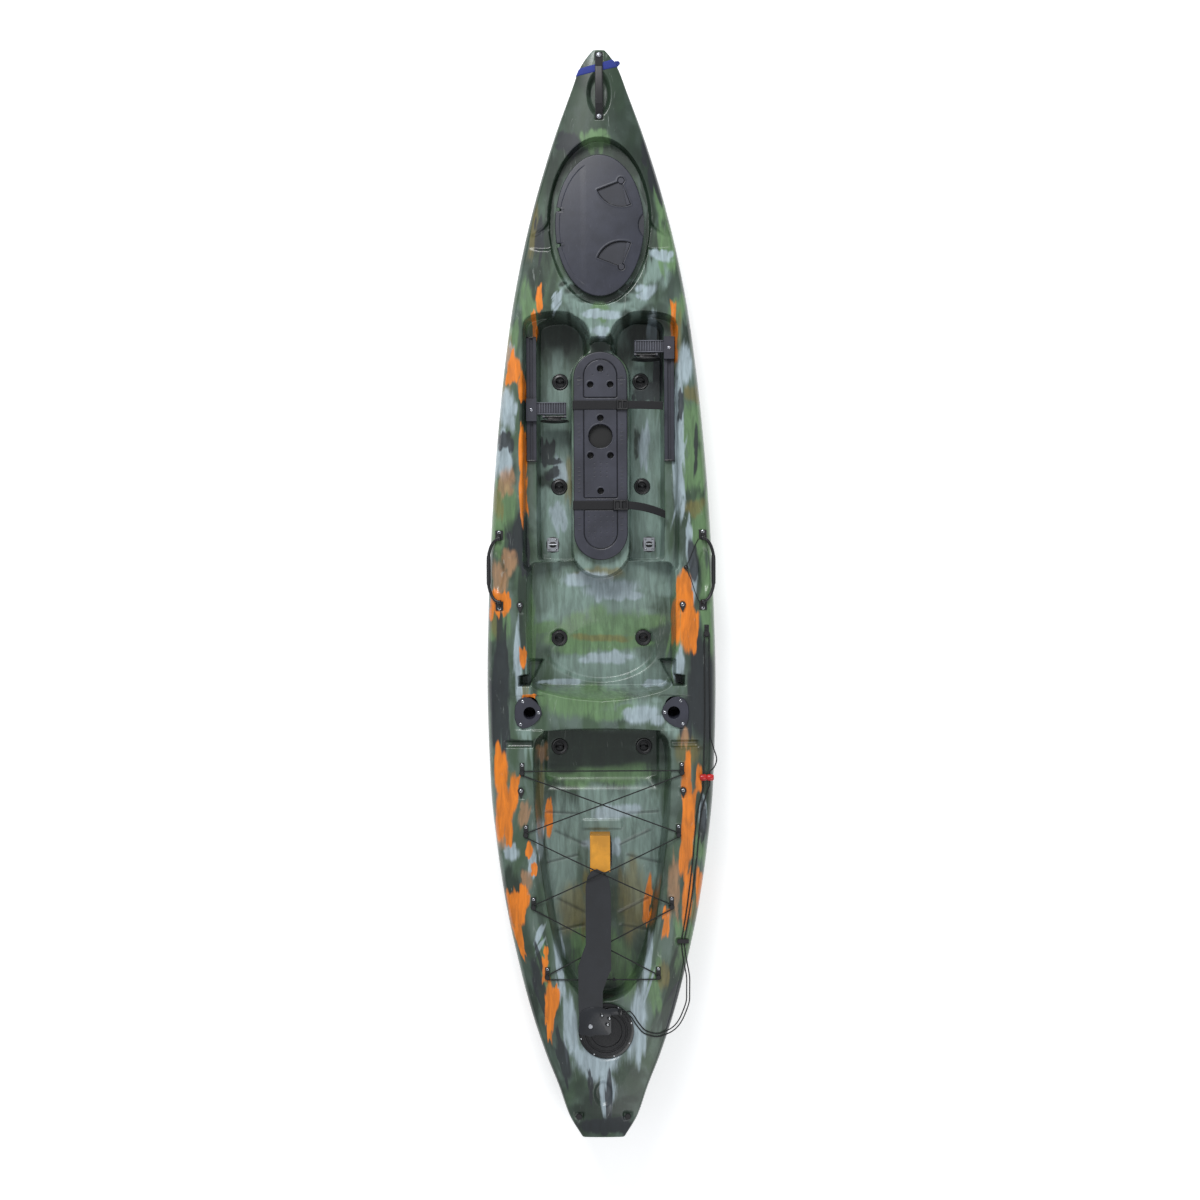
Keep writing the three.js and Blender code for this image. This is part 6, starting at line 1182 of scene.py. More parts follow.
HOOKS = [(0.317, -0.702), (0.303, -0.948), (0.274, -1.234), (0.22, -1.511)]
HOOK_CORD_DROP = 0.0075
WRAP = 0.0084
LASHING_RADIUS = 0.0025
BLADE_CROSSING = 0.33542
CROSS_LIFT = 0.0056
LINE_RADIUS = 0.0025
LINE_EYE = (0.418, -0.152)
LINE_EYE_REACH = 0.01
TOGGLE_RADIUS, TOGGLE_LENGTH = 0.014, 0.056
TOGGLE_BEAD, TOGGLE_NECK = 0.0138, 0.0075
LASHING_KNOT_X, LASHING_KNOT, LASHING_KNOT_CORD = 0.045, 0.0055, 0.0022
KEEPER_RADIUS, KEEPER_AT, KEEPER_BALL, KEEPER_BALL_RISE = 0.0015, (0.337, 0.112), 0.0088, 0.0093

# The lift line: x, y, height over the deck, distance between its two runs, slack of the outer one
LINE_ROUTE = [
    (0.418, -0.176, 0.007, 0.0196, 0), (0.418, -0.24, 0.0036, 0.0196, 0), (0.419, -0.42, 0.0036, 0.02, 0),
    (0.418, -0.56, 0.0036, 0.022, 0.003), (0.417, -0.604, 0.004, 0.024, 0.014),
    (0.416, -0.65, 0.006, 0.024, 0.027), (0.4155, -0.682, 0.012, 0.024, 0.016),
    (0.415, -0.7, 0.0156, 0.024, 0), (0.415, -0.721, 0.0158, 0.024, 0), (0.415, -0.742, 0.0156, 0.024, 0),
    (0.411, -0.766, 0.007, 0.02, 0), (0.401, -0.8, 0.0036, 0.017, 0), (0.384, -0.869, 0.0036, 0.016, 0),
    (0.365, -1.055, 0.0036, 0.015, 0), (0.344, -1.215, 0.0036, 0.013, 0), (0.324, -1.335, 0.004, 0.0116, 0),
    (0.318, -1.37, 0.0046, 0.0116, 0), (0.32, -1.402, 0.004, 0.0116, 0), (0.328, -1.455, 0.004, 0.012, 0),
    (0.339, -1.53, -0.022, 0.012, 0), (0.339, -1.6, -0.044, 0.012, 0), (0.321, -1.66, -0.034, 0.012, 0),
    (0.295, -1.7, -0.005, 0.012, 0), (0.262, -1.724, 0.008, 0.012, 0), (0.214, -1.74, 0.004, 0.012, 0),
    (0.168, -1.728, 0.0038, 0.012, 0), (0.136, -1.694, 0.005, 0.012, 0), (0.114, -1.66, 0.014, 0.012, 0),
    (0.097, -1.645, 0.022, 0.012, 0),
]
LINE_END = (0.0753, -1.642, 0.34062)
KEEPER_ROUTE = [
    (0.387, 0.226, 0.0035), (0.376, 0.205, 0.0024), (0.352, 0.146, 0.003), (0.34, 0.12, 0.007),
    (0.337, 0.112, 0.008), (0.34, 0.104, 0.007), (0.356, 0.066, 0.003), (0.374, 0.01, 0.0024),
    (0.387, -0.022, 0.0035),
]


def route(points, step=0.004):
    """A smooth, evenly spaced line through points: each coordinate is a curve over the spans' length."""
    points = np.array(points, float)
    along = np.r_[0, np.cumsum(np.linalg.norm(np.diff(points, axis=0), axis=1))]
    places = np.linspace(0, along[-1], max(int(along[-1] / step), 3))
    return np.stack([curve_at(np.c_[along, points[:, k]], places) for k in range(3)], 1)


def tube(name, path, radius, sides=14, closed=False):
    """A round tube along a path: rings square to it, with their seam below. V counts metres along it."""
    path = np.array(path, float)
    ahead = np.roll(path, -1, 0) - np.roll(path, 1, 0)
    if not closed:
        ahead[0], ahead[-1] = path[1] - path[0], path[-1] - path[-2]
    ahead /= np.linalg.norm(ahead, axis=1)[:, None]
    side = np.cross((0, 0, 1), ahead)
    side /= np.linalg.norm(side, axis=1)[:, None]
    up = np.cross(ahead, side)
    angle = (np.arange(sides) / sides * 2 - 0.5)[:, None] * math.pi
    rings = path[:, None] + radius * (np.cos(angle) * side[:, None] + np.sin(angle) * up[:, None])
    length = np.linalg.norm(np.diff(path, axis=0), axis=1).sum()
    return facing_out(grid_object(name, rings, closed, True, ends=not closed, length=length))


def path_length(path):
    """Length of a path."""
    return float(np.linalg.norm(np.diff(np.array(path), axis=0), axis=1).sum())


def lashing_path():
    """One loop round all eight hooks: straight legs, lifted where they cross, and half turns between."""
    tops = {(row, sign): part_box(f"bungee_hook_{row + 1}_{side}")[1].z - HOOK_CORD_DROP
            for row in range(4) for side, sign in SIDES}

    def hooked(row, sign, end):
        return np.array((sign * HOOKS[row][0], HOOKS[row][1] + end * WRAP, tops[row, sign]))

    half = CROSS_LIFT / 2
    rise = BLADE_CROSSING - (tops[1, -1] + tops[2, -1]) / 2
    over = [(0.38, rise), (0.46, rise), (0.54, rise), (0.66, rise)]
    higher = [(0.34, rise), (0.46, rise + CROSS_LIFT), (0.54, rise + CROSS_LIFT), (0.62, rise)]
    legs = [
        ((0, -1, 1), (0, 1, 1), []),
        ((0, 1, -1), (1, -1, 1), [(0.35, half), (0.5, CROSS_LIFT), (0.65, half)]),
        ((1, -1, -1), (2, 1, 1), over),
        ((2, 1, -1), (3, -1, 1), [(0.35, -half), (0.5, -CROSS_LIFT), (0.65, -half)]),
        ((3, -1, -1), (3, 1, -1), []), ((3, 1, 1), (2, -1, -1), []), ((2, -1, 1), (1, 1, -1), higher),
        ((1, 1, 1), (0, -1, -1), []),
    ]
    path = []
    for start, end, lifts in legs:
        t = np.linspace(0, 1, 90)[:, None]
        points = hooked(*start) * (1 - t) + hooked(*end) * t
        points[:, 2] += curve_at([(0, 0), *lifts, (1, 0)], t[:, 0])
        x, y = points[:, 0], points[:, 1]
        lowest = deck_base(x, y) + LASHING_RADIUS + 0.002
        off_well = distance_to(tank_outline(), x, y) > -0.04
        points[:, 2] = np.where(off_well, np.maximum(points[:, 2], lowest), points[:, 2])
        row, sign, side = end
        angle = np.linspace(0.5, -0.5, 14)[1:-1] * math.pi * side
        turn = np.stack([sign * (HOOKS[row][0] + WRAP * np.cos(angle)), HOOKS[row][1] + WRAP * np.sin(angle),
                         np.full(12, tops[row, sign])], 1)
        path += [points, turn]
    path = np.concatenate(path)
    for _ in range(2):
        path = path / 2 + (np.roll(path, 1, 0) + np.roll(path, -1, 0)) / 4
    return path


def tight_knot(name, place, size, radius, turn=0.0):
    """A tight overhand knot: a tube along a trefoil, three times up and down in two times round."""
    t = np.arange(150) / 150 * 2 * math.pi
    wide = 2 + np.cos(3 * t)
    path = np.stack([wide * np.cos(2 * t), wide * np.sin(2 * t), np.sin(3 * t) * 1.1], 1) * size / 3
    c, s = math.cos(turn), math.sin(turn)
    path = path @ np.array([(c, s, 0), (-s, c, 0), (0, 0, 1)]) + place
    return tube(name, path, radius, 10, closed=True)


def lift_line_path():
    """From the rudder head along the deck to the eye, round it and back, as one line."""
    rows = np.array(LINE_ROUTE)
    ahead = np.roll(rows, -1, 0)[:, :2] - np.roll(rows, 1, 0)[:, :2]
    ahead[0], ahead[-1] = rows[1, :2] - rows[0, :2], rows[-1, :2] - rows[-2, :2]
    ahead /= np.linalg.norm(ahead, axis=1)[:, None]
    deck = deck_base(rows[:, 0], rows[:, 1]) + rows[:, 2]
    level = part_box("lift_line_eye")[1].z - HOOK_CORD_DROP
    runs = []
    for side in (-1, 1):
        out = side * rows[:, 3] / 2
        x = rows[:, 0] - ahead[:, 1] * out + (rows[:, 4] if side > 0 else 0)
        points = np.stack([x, rows[:, 1] + ahead[:, 0] * out, deck], 1)
        end = [(LINE_END[0] + shift, LINE_END[1] + side * LINE_RADIUS * 2, LINE_END[2])
               for shift in (0.007, 0)]
        runs.append(np.r_[[(LINE_EYE[0] + side * LINE_EYE_REACH, LINE_EYE[1], level)], points, end])
    angle = np.linspace(math.pi, 0, 9)[1:-1]
    turn = np.stack([LINE_EYE[0] + LINE_EYE_REACH * np.cos(angle),
                     LINE_EYE[1] + LINE_EYE_REACH * np.sin(angle), np.full(7, level)], 1)
    return route(np.r_[runs[0][::-1], turn, runs[1]])


def turned_along_x(name, profile, place, count=48):
    """A closed turned piece: pairs of place along X and radius, carried round a line through a point."""
    at, radius = np.array(profile, float).T
    angle = np.arange(count) / count * 2 * math.pi
    x = np.broadcast_to(place[0] + at[:, None], (len(at), count))
    y = place[1] + radius[:, None] * np.cos(angle)
    z = place[2] + radius[:, None] * np.sin(angle)
    return closed_tube(name, np.stack([x, y, z], -1))


def deck_level(x, y):
    """Height of the deck, without its wells, at one place."""
    return float(deck_base(np.array([x]), np.array([y]))[0])


def line_toggle():
    """The lift line's toggle: two beads side by side, each a flattened half circle over a neck."""
    angle = np.linspace(0, math.pi, 15)
    right = []
    for a in angle:
        rise = (TOGGLE_RADIUS - TOGGLE_NECK - 0.0004) * math.sin(a) ** 0.7
        right.append((TOGGLE_BEAD * (1 - math.cos(a)), TOGGLE_NECK + rise))
    profile = [(-x, r) for x, r in right[::-1]] + right[1:]
    stretch = TOGGLE_LENGTH / 4 / TOGGLE_BEAD
    return turned_along_x("lift_line_beads", [(x * stretch, r) for x, r in profile],
                          middle_of("lift_line_toggle"))


def build_cords(colours):
    """The lashing, the rudder's lift line with its red toggle, and the paddle keeper with its ball."""
    cord = braided("black_cord", colours.cord, (0.3, 0.33, 0.33))
    lashing = tube("tank_lashing", lashing_path(), LASHING_RADIUS, 12, closed=True)
    placed(lashing, cord, replaces=("tank_bungee",))
    place = (LASHING_KNOT_X, HOOKS[3][1] - WRAP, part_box("bungee_hook_4_port")[1].z - HOOK_CORD_DROP)
    placed(tight_knot("tank_lashing_knot", place, LASHING_KNOT, LASHING_KNOT_CORD), cord)
    path = lift_line_path()
    line = placed(tube("lift_line", path, LINE_RADIUS, 12), cord, replaces=("rudder_lift_line",))
    toggle = line_toggle()
    red = moulded_plastic("red_plastic", colours.toggle, 0.28)
    placed(toggle, red, replaces=("lift_line_toggle",))
    points = [(x, y, deck_level(x, y) + up) for x, y, up in KEEPER_ROUTE]
    keeper = tube("paddle_keeper_cord", route(points, 0.003), KEEPER_RADIUS, 10)
    placed(keeper, cord, replaces=("paddle_keeper",))
    angle = np.linspace(-math.pi / 2, math.pi / 2, 25)
    profile = [(KEEPER_BALL * math.sin(a), max(KEEPER_BALL * math.cos(a), 0.0002)) for a in angle]
    place = (*KEEPER_AT, deck_level(*KEEPER_AT) + KEEPER_BALL_RISE)
    ball = turned_along_x("paddle_keeper_ball", profile, place, 36)
    placed(ball, moulded_plastic("ball_rubber", colours.rubber, 0.4))


# Straps

def strap(name, path, across, width, thick):
    """Flat webbing: a thin section with round edges along a path, its width in the given directions."""
    path = np.array(path, float)
    across = np.broadcast_to(np.array(across, float), path.shape)
    up = np.cross(across, np.gradient(path, axis=0))
    up /= np.linalg.norm(up, axis=1)[:, None]
    share = np.linspace(-1, 1, 17)
    rise = np.sqrt(1 - share ** 12)
    share, rise = np.r_[share, share[-2:0:-1]], np.r_[rise, -rise[-2:0:-1]]
    wide = share[:, None] * across[:, None] * width / 2
    rings = path[:, None] + wide + rise[:, None] * up[:, None] * thick / 2
    return facing_out(grid_object(name, rings, closed_columns=True, ends=True, length=path_length(path)))


def strap_buckle(name, x, y, z, half_x, half_y, height):
    """A low buckle: a rounded block with a hollow on top and a bar across it."""
    u, v = np.meshgrid(np.linspace(-1, 1, 61), np.linspace(-1, 1, 61))
    edge = np.maximum(np.abs(u), np.abs(v))
    lift = height * (1 - np.clip((edge - 0.86) / 0.14, 0, 1) ** 3 * 0.8)
    along = smooth((0.74 - np.abs(u)) / 0.08) * smooth((np.abs(u) - 0.14) / 0.07)
    lift = lift - smooth((0.72 - np.abs(v)) / 0.1) * along * height * 0.62
    top = np.stack([x + u * half_x, y + v * half_y, z + lift], -1)
    return lidded(name, top, z)


def lidded(name, top, floor):
    """A closed body under a grid of points: its rim goes straight down to a floor level, which closes it."""
    rows, columns = top.shape[:2]
    count = rows * columns
    index = np.arange(count).reshape(rows, columns)
    rim = np.r_[index[0], index[1:, -1], index[-1, -2::-1], index[-2:0:-1, 0]]
    low = top.reshape(-1, 3)[rim].copy()
    low[:, 2] = floor
    points = np.r_[top.reshape(-1, 3), low, [low.mean(0)]]
    lower = count + np.arange(len(rim))
    after = np.roll(lower, -1)
    walls = np.stack([rim, lower, after, np.roll(rim, -1)], 1)
    fans = np.stack([lower, np.full(len(rim), len(points) - 1), after, lower], 1)
    return facing_out(with_fans(name, points, np.r_[grid_faces(rows, columns), walls], fans))


# Pod straps: place along the kayak, half length of the buckle, reach, droop and drift of the loose tail

POD_STRAPS = {"fore": (0.76, 0.023, 0.142, 0.016, 0.003), "aft": (0.361, 0.031, 0.15, 0.046, 0.036)}
STRAP_SIDE, STRAP_BEND = 0.1091, 0.006
TAIL_START, TAIL_EDGE, TAIL_RISE, TAIL_WAVE = 0.088, 0.107, 0.0045, 0.0012
BUCKLE_EDGE, BUCKLE_HALF, BUCKLE_HEIGHT = 0.111, 0.0205, 0.0085


def pod_strap(name, place, sizes, web, plastic):
    """One strap over the pod cover: down its sides, under a buckle, with a loose tail to starboard."""
    y, buckle_half, reach, droop, drift = place
    low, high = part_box("pod_cover")
    top, foot = high.z + 0.0018, low.z + 0.001
    side, bend = STRAP_SIDE, STRAP_BEND
    over = [(-side, y, foot), (-side, y, top - bend), (-side + bend * 0.3, y, top - bend * 0.3),
            (-side + bend, y, top)]
    path = over + [(0, y, top + 0.0002)] + [(-x, y, z) for x, y, z in over[::-1]]
    band = strap(name + "_band", route(path, 0.002), (0, 1, 0), sizes.strap_width, sizes.strap_thickness)
    placed(band, web, "pod", replaces=(name,))
    t = np.linspace(0, 1, 60)
    x = TAIL_START + t * (TAIL_EDGE + reach - TAIL_START)
    z = top + TAIL_RISE - droop * t * t + TAIL_WAVE * np.sin(t * 9) * t
    tail = np.stack([x, y - drift * t * t, z], 1)
    placed(strap(name + "_tail", tail, (0, 1, 0), sizes.tail_width, sizes.tail_thickness), web, "pod")
    middle = BUCKLE_EDGE - buckle_half
    buckle = strap_buckle(name + "_buckle", middle, y, top + 0.0008, buckle_half, BUCKLE_HALF, BUCKLE_HEIGHT)
    placed(buckle, plastic, "pod")


# Bow handle and band: ends of the handle, its height at each over its box, and its rise between them

HANDLE_AFT, HANDLE_FORE, HANDLE_END = 1.888, 2.128, 0.011
HANDLE_LOW, HANDLE_HIGH, HANDLE_RISE, SLEEVE_RISE = 0.0025, 0.0096, 0.02, 0.0195
BAND_KNOT_IN, BAND_KNOT_AFT, BAND_KNOT_Z = 0.011, 0.0135, 0.352


def bow_handle(web, plastic):
    """The bow's carry handle: webbing from bolt to bolt over a low arch, with a sleeve round its middle."""
    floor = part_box("bow_handle_strap")[0].z
    aft, fore = HANDLE_AFT, HANDLE_FORE
    first, second = floor + HANDLE_LOW, floor + HANDLE_HIGH

    def arch(t, rise):
        y = aft + HANDLE_END + t * (fore - aft - 2 * HANDLE_END)
        z = first + (second - first) * t + rise * np.sin(math.pi * t) ** 0.6
        return np.stack([np.zeros(len(t)), y, z], 1)

    path = np.r_[[(0, aft - HANDLE_END, first), (0, aft, first)], arch(np.linspace(0, 1, 60), HANDLE_RISE),
                 [(0, fore, second), (0, fore + HANDLE_END, second)]]
    handle = strap("bow_handle_webbing", path, (1, 0, 0), 0.0298, 0.0046)
    placed(handle, web, replaces=("bow_handle_strap",))
    sleeve = strap("bow_handle_sleeve", arch(np.linspace(0.16, 0.84, 50), SLEEVE_RISE), (1, 0, 0), 0.03,
                   0.0058)
    placed(sleeve, plastic)
    steel = brushed_metal("bolt_steel", (0.6, 0.61, 0.63), 0.35)
    for number, (at, level) in enumerate(((aft, first), (fore, second)), 1):
        bolt = screw_head(f"bow_handle_bolt_{number}", 0, at, level + 0.0022, 0.0105, 0.0048)
        placed(bolt, steel)


def build_straps(colours, sizes):
    """The pod's two straps, the bow handle and the blue band round the bow."""
    web = woven("black_webbing", colours.webbing)
    plastic = moulded_plastic("buckle_plastic", colours.rubber, 0.45)
    for end, place in POD_STRAPS.items():
        pod_strap(f"pod_strap_{end}", place, sizes, web, plastic)
    bow_handle(web, plastic)
    band_look = woven("blue_band", colours.band, 24.0, 500.0)
    placed(bow_band(), band_look, replaces=("bow_band",))
    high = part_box("bow_band")[1]
    place = (high.x - BAND_KNOT_IN, high.y - BAND_KNOT_AFT, BAND_KNOT_Z)
    placed(tight_knot("bow_band_knot", place, 0.009, 0.0036, 0.4), band_look)


def bow_band():
    """Flat webbing pulled round the bow: the hull's own section a little larger, leaning aft to port."""
    count, wide = 120, 9
    middle, slope = 0.9675 * HALF_LENGTH, 0.12
    s = np.linspace(0, 10, count)
    half_x, _ = section_point(s, np.full(count, middle))
    deck = np.linspace(1, -1, 41)[1:-1]
    rings = []
    for shift in np.linspace(-0.015, 0.015, wide):
        right_y = middle + shift + slope * half_x * 2
        left_y = middle + shift - slope * half_x * 2
        rx, rz = section_point(s, right_y)
        lx, lz = section_point(s, left_y)
        deck_y = middle + shift + slope * deck * half_x[-1] * 2
        deck_x = deck * EDGE_SHARE * half_beam_at(deck_y)
        over = np.stack([deck_x, deck_y, deck_base(deck_x, deck_y)], 1)
        rings.append(np.r_[np.stack([rx, right_y, rz], 1), over, np.stack([-lx, left_y, lz], 1)[::-1]])
    rings = np.array(rings).transpose(1, 0, 2)[:-1]
    ahead = np.roll(rings, -1, 0) - np.roll(rings, 1, 0)
    out = np.cross(ahead, (0, -1.0, 0))
    out /= np.linalg.norm(out, axis=2)[:, :, None]
    edge = np.abs(np.linspace(-1, 1, wide))[None, :, None]
    outer = rings + out * (0.0006 + 0.0018 * (1 - edge ** 6))
    inner = (rings + out * 0.0004)[:, ::-1]
    loops = np.concatenate([outer, inner], 1)
    return facing_out(grid_object("bow_band_webbing", loops, True, True, length=0.5))


# Pod cover and bow lid

def rounded_box(x, y, half_x, half_y, at_y, radius=0.006):
    """Signed distance to a box with round corners, negative inside."""
    out_x, out_y = np.abs(x) - half_x + radius, np.abs(y - at_y) - half_y + radius
    outside = np.hypot(np.maximum(out_x, 0), np.maximum(out_y, 0))
    return outside + np.minimum(np.maximum(out_x, out_y), 0) - radius


def eased_edge(inset, radius):
    """How far a rounded edge lies below its flat top, at a distance in from the side."""
    away = np.clip(radius - inset, 0, radius)
    return radius - np.sqrt(radius ** 2 - away ** 2)


# Pod cover: holes with their radii, pimples, ticks beside the panels, and the three raised panels

POD_HOLES = [(0, 0.905, 0.0126), (-0.0397, 0.8414, 0.0126), (0.0397, 0.8414, 0.0126), (0, 0.708, 0.0126),
             (-0.0397, 0.5592, 0.0126), (0.0397, 0.5592, 0.0126), (0, 0.418, 0.0126), (0, 0.636, 0.048)]
POD_DOTS = [(x, y) for y in (0.529, 0.512, 0.495, 0.478) for x in (-0.025, 0, 0.025)]
POD_DOTS += [(x, y) for y in (0.319, 0.298, 0.277, 0.256, 0.235) for x in (-0.048, -0.024, 0, 0.024, 0.048)]
POD_DOTS += [(-0.03, 0.881), (0.03, 0.881), (-0.048, 0.406), (0.048, 0.406)]
POD_TICKS = [0.872 - 0.0155 * k for k in range(3)] + [0.682 - 0.0158 * k for k in range(6)]
POD_TICKS += [0.51 - 0.0158 * k for k in range(7)] + [0.311, 0.282, 0.262]

POD_EDGE, POD_LEVEL, POD_BORE = 0.005, 0.002, 0.021
PANEL_HALF, PANEL_ROUND = 0.065, 0.065
GROOVE_DEPTH, GROOVE_WIDTH = 0.0026, 0.0016
TICK_AT, TICK_HALF, TICK_RISE = 0.0845, (0.0062, 0.0015), 0.0007
SEAM_Y, SEAM_FROM, SEAM_TO, SEAM_DEPTH = 0.863, 0.069, 0.098, 0.0015
DOT_RADIUS, DOT_DEPTH = 0.0026, 0.0012


def pod_panels(x, y):
    """Signed distance to the pod cover's three raised panels, of which the outer two have a round end."""
    fore = np.minimum(rounded_box(x, y, PANEL_HALF, 0.042, 0.833), np.hypot(x, y - 0.876) - PANEL_ROUND)
    aft = np.minimum(rounded_box(x, y, PANEL_HALF, 0.044, 0.298), np.hypot(x, y - 0.254) - PANEL_ROUND)
    return np.minimum(np.minimum(fore, aft), rounded_box(x, y, PANEL_HALF, 0.177, 0.568))


def pod_surface(x, y, level):
    """Height and painted shade of the pod cover: a round-edged stadium with raised panels, bored and pimpled.
    """
    straight = POD_LENGTH / 2 - POD_HALF
    inset = POD_HALF - np.hypot(x, np.maximum(np.abs(y - POD_Y) - straight, 0))
    z = level - POD_LEVEL - eased_edge(inset, POD_EDGE)
    panel = pod_panels(x, y)
    groove = np.exp(-((panel - 0.0015) / GROOVE_WIDTH) ** 2)
    z = z + POD_LEVEL * smooth(-panel / GROOVE_WIDTH) - GROOVE_DEPTH * groove
    tick = np.zeros(x.shape)
    across = smooth((TICK_HALF[0] - np.abs(np.abs(x) - TICK_AT)) / 0.002)
    for at in POD_TICKS:
        tick = np.maximum(tick, across * smooth((TICK_HALF[1] - np.abs(y - at)) / 0.001))
    seam = smooth((0.0012 - np.abs(y - SEAM_Y)) / 0.001) * (np.abs(x) > SEAM_FROM) * (np.abs(x) < SEAM_TO)
    z = z + TICK_RISE * tick - SEAM_DEPTH * seam
    dots = np.zeros(x.shape)
    for at_x, at_y in POD_DOTS:
        dots = np.maximum(dots, smooth((DOT_RADIUS - np.hypot(x - at_x, y - at_y)) / 0.0018))
    z = z - DOT_DEPTH * dots
    depth = np.zeros(x.shape)
    for at_x, at_y, radius in POD_HOLES:
        away = np.hypot(x - at_x, y - at_y) - radius
        z = z + 0.0007 * np.exp(-((away - 0.003) / 0.0014) ** 2)
        depth = np.maximum(depth, smooth(-away / 0.0018))
    z = z + (level - POD_BORE - z) * depth
    # Painted shade along the rim, and in the grooves, on the ticks, in the dimples, holes and seam.
    rim = 0.7 * np.exp(-((inset - 0.0005) / 0.002) ** 2)
    return z, np.clip(groove * 0.95 + tick * 0.75 + dots * 0.9 + depth + seam * 0.9 + rim, 0, 1)


def build_pod(colours):
    """The pod cover as one grid of heights over a stadium, closed below."""
    low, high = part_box("pod_cover")
    straight = POD_LENGTH / 2 - POD_HALF
    radius = POD_HALF - GAP
    ends = np.sin(np.linspace(0, 1.53, 56)) * radius
    y = np.r_[-straight - ends[::-1], np.linspace(-straight, straight, 380)[1:-1], straight + ends] + POD_Y
    half = np.sqrt(radius ** 2 - np.maximum(np.abs(y - POD_Y) - straight, 0) ** 2)
    u = spread(121, (-1, -0.61, 0.61, 1), 0.03, 1.4)
    x = u * half[:, None]
    grid_y = np.broadcast_to(y[:, None], x.shape)
    z, crease_shade = pod_surface(x, grid_y, high.z)
    piece = lidded("pod_cover_moulding", np.stack([x, grid_y, z], -1), low.z)
    mark_top(piece, crease_shade)
    look = moulded_plastic("pod_plastic", colours.pod, 0.42, 700.0, 0.0002)
    placed(sharpen(piece, 50), look, "pod", replaces=("pod_cover",))


# Bow lid: half sizes, latches with the side they swing to, levels, and the depth of its notches

LID_HALF = (0.176, 0.28)
LID_LATCHES = ((0.086, 1.64, 1), (0.086, 1.299, -1))
LID_EDGE_Z, LID_DOME, LID_EDGE = 0.332, 0.008, 0.004
FAN_RADIUS, FAN_START, FAN_SWEEP, FAN_FLOOR, FAN_HUB = 0.102, 292, 91, 0.329, 0.0133
FINGER_X, FINGER_RADIUS, FINGER_FLOOR = 0.2132, 0.062, 0.327
NOTCH_X, NOTCH_HALF = -0.153, 0.009
SKIRT_FOOT, LID_UNDER = 0.3102, 0.3202
PIN_HALF, PIN_RADIUS = 0.0112, 0.003


def latch_fan(at_x, at_y, side):
    """A sector of a circle, counterclockwise, from the lever's place to where it swings."""
    angle = np.radians(FAN_START - np.linspace(0, FAN_SWEEP, 40)) * side
    arc = np.c_[at_x + FAN_RADIUS * np.cos(angle), at_y + FAN_RADIUS * np.sin(angle)]
    return np.r_[[(at_x, at_y)], arc[::-1] if side > 0 else arc]


def lid_surface(x, y, inset):
    """Height and painted shade of the lid: a shallow dome with a soft crease, two fan pockets and a finger
    notch.
    """
    share = np.hypot(x / LID_HALF[0], (y - HATCH_Y) / LID_HALF[1])
    z = LID_EDGE_Z + LID_DOME * (1 - np.minimum(share, 1) ** 2) - eased_edge(inset, LID_EDGE)
    z = z - 0.0012 * smooth((-0.05 - x) / 0.03) * (share < 0.9)
    # Painted shade along the edge, round and in the fan pockets, and in the finger notch.
    crease_shade = 0.5 * np.exp(-(inset / 0.003) ** 2)
    for at_x, at_y, side in LID_LATCHES:
        hub = np.hypot(x - at_x, y - at_y) - FAN_HUB
        away = np.minimum(distance_to(latch_fan(at_x, at_y, side), x, y), hub)
        z = z + 0.0006 * np.exp(-((away - 0.004) / 0.002) ** 2)
        z = sink(z, away, FAN_FLOOR, 0.0022)
        crease_shade = np.maximum(crease_shade, np.exp(-((away + 0.001) / 0.0024) ** 2) * 0.95)
        crease_shade = np.maximum(crease_shade, 0.25 * (away < 0))
    away = np.hypot(x - FINGER_X, y - HATCH_Y) - FINGER_RADIUS
    z = sink(z, away, FINGER_FLOOR, 0.003)
    return z, np.maximum(crease_shade, 0.35 * smooth(-away / 0.003))


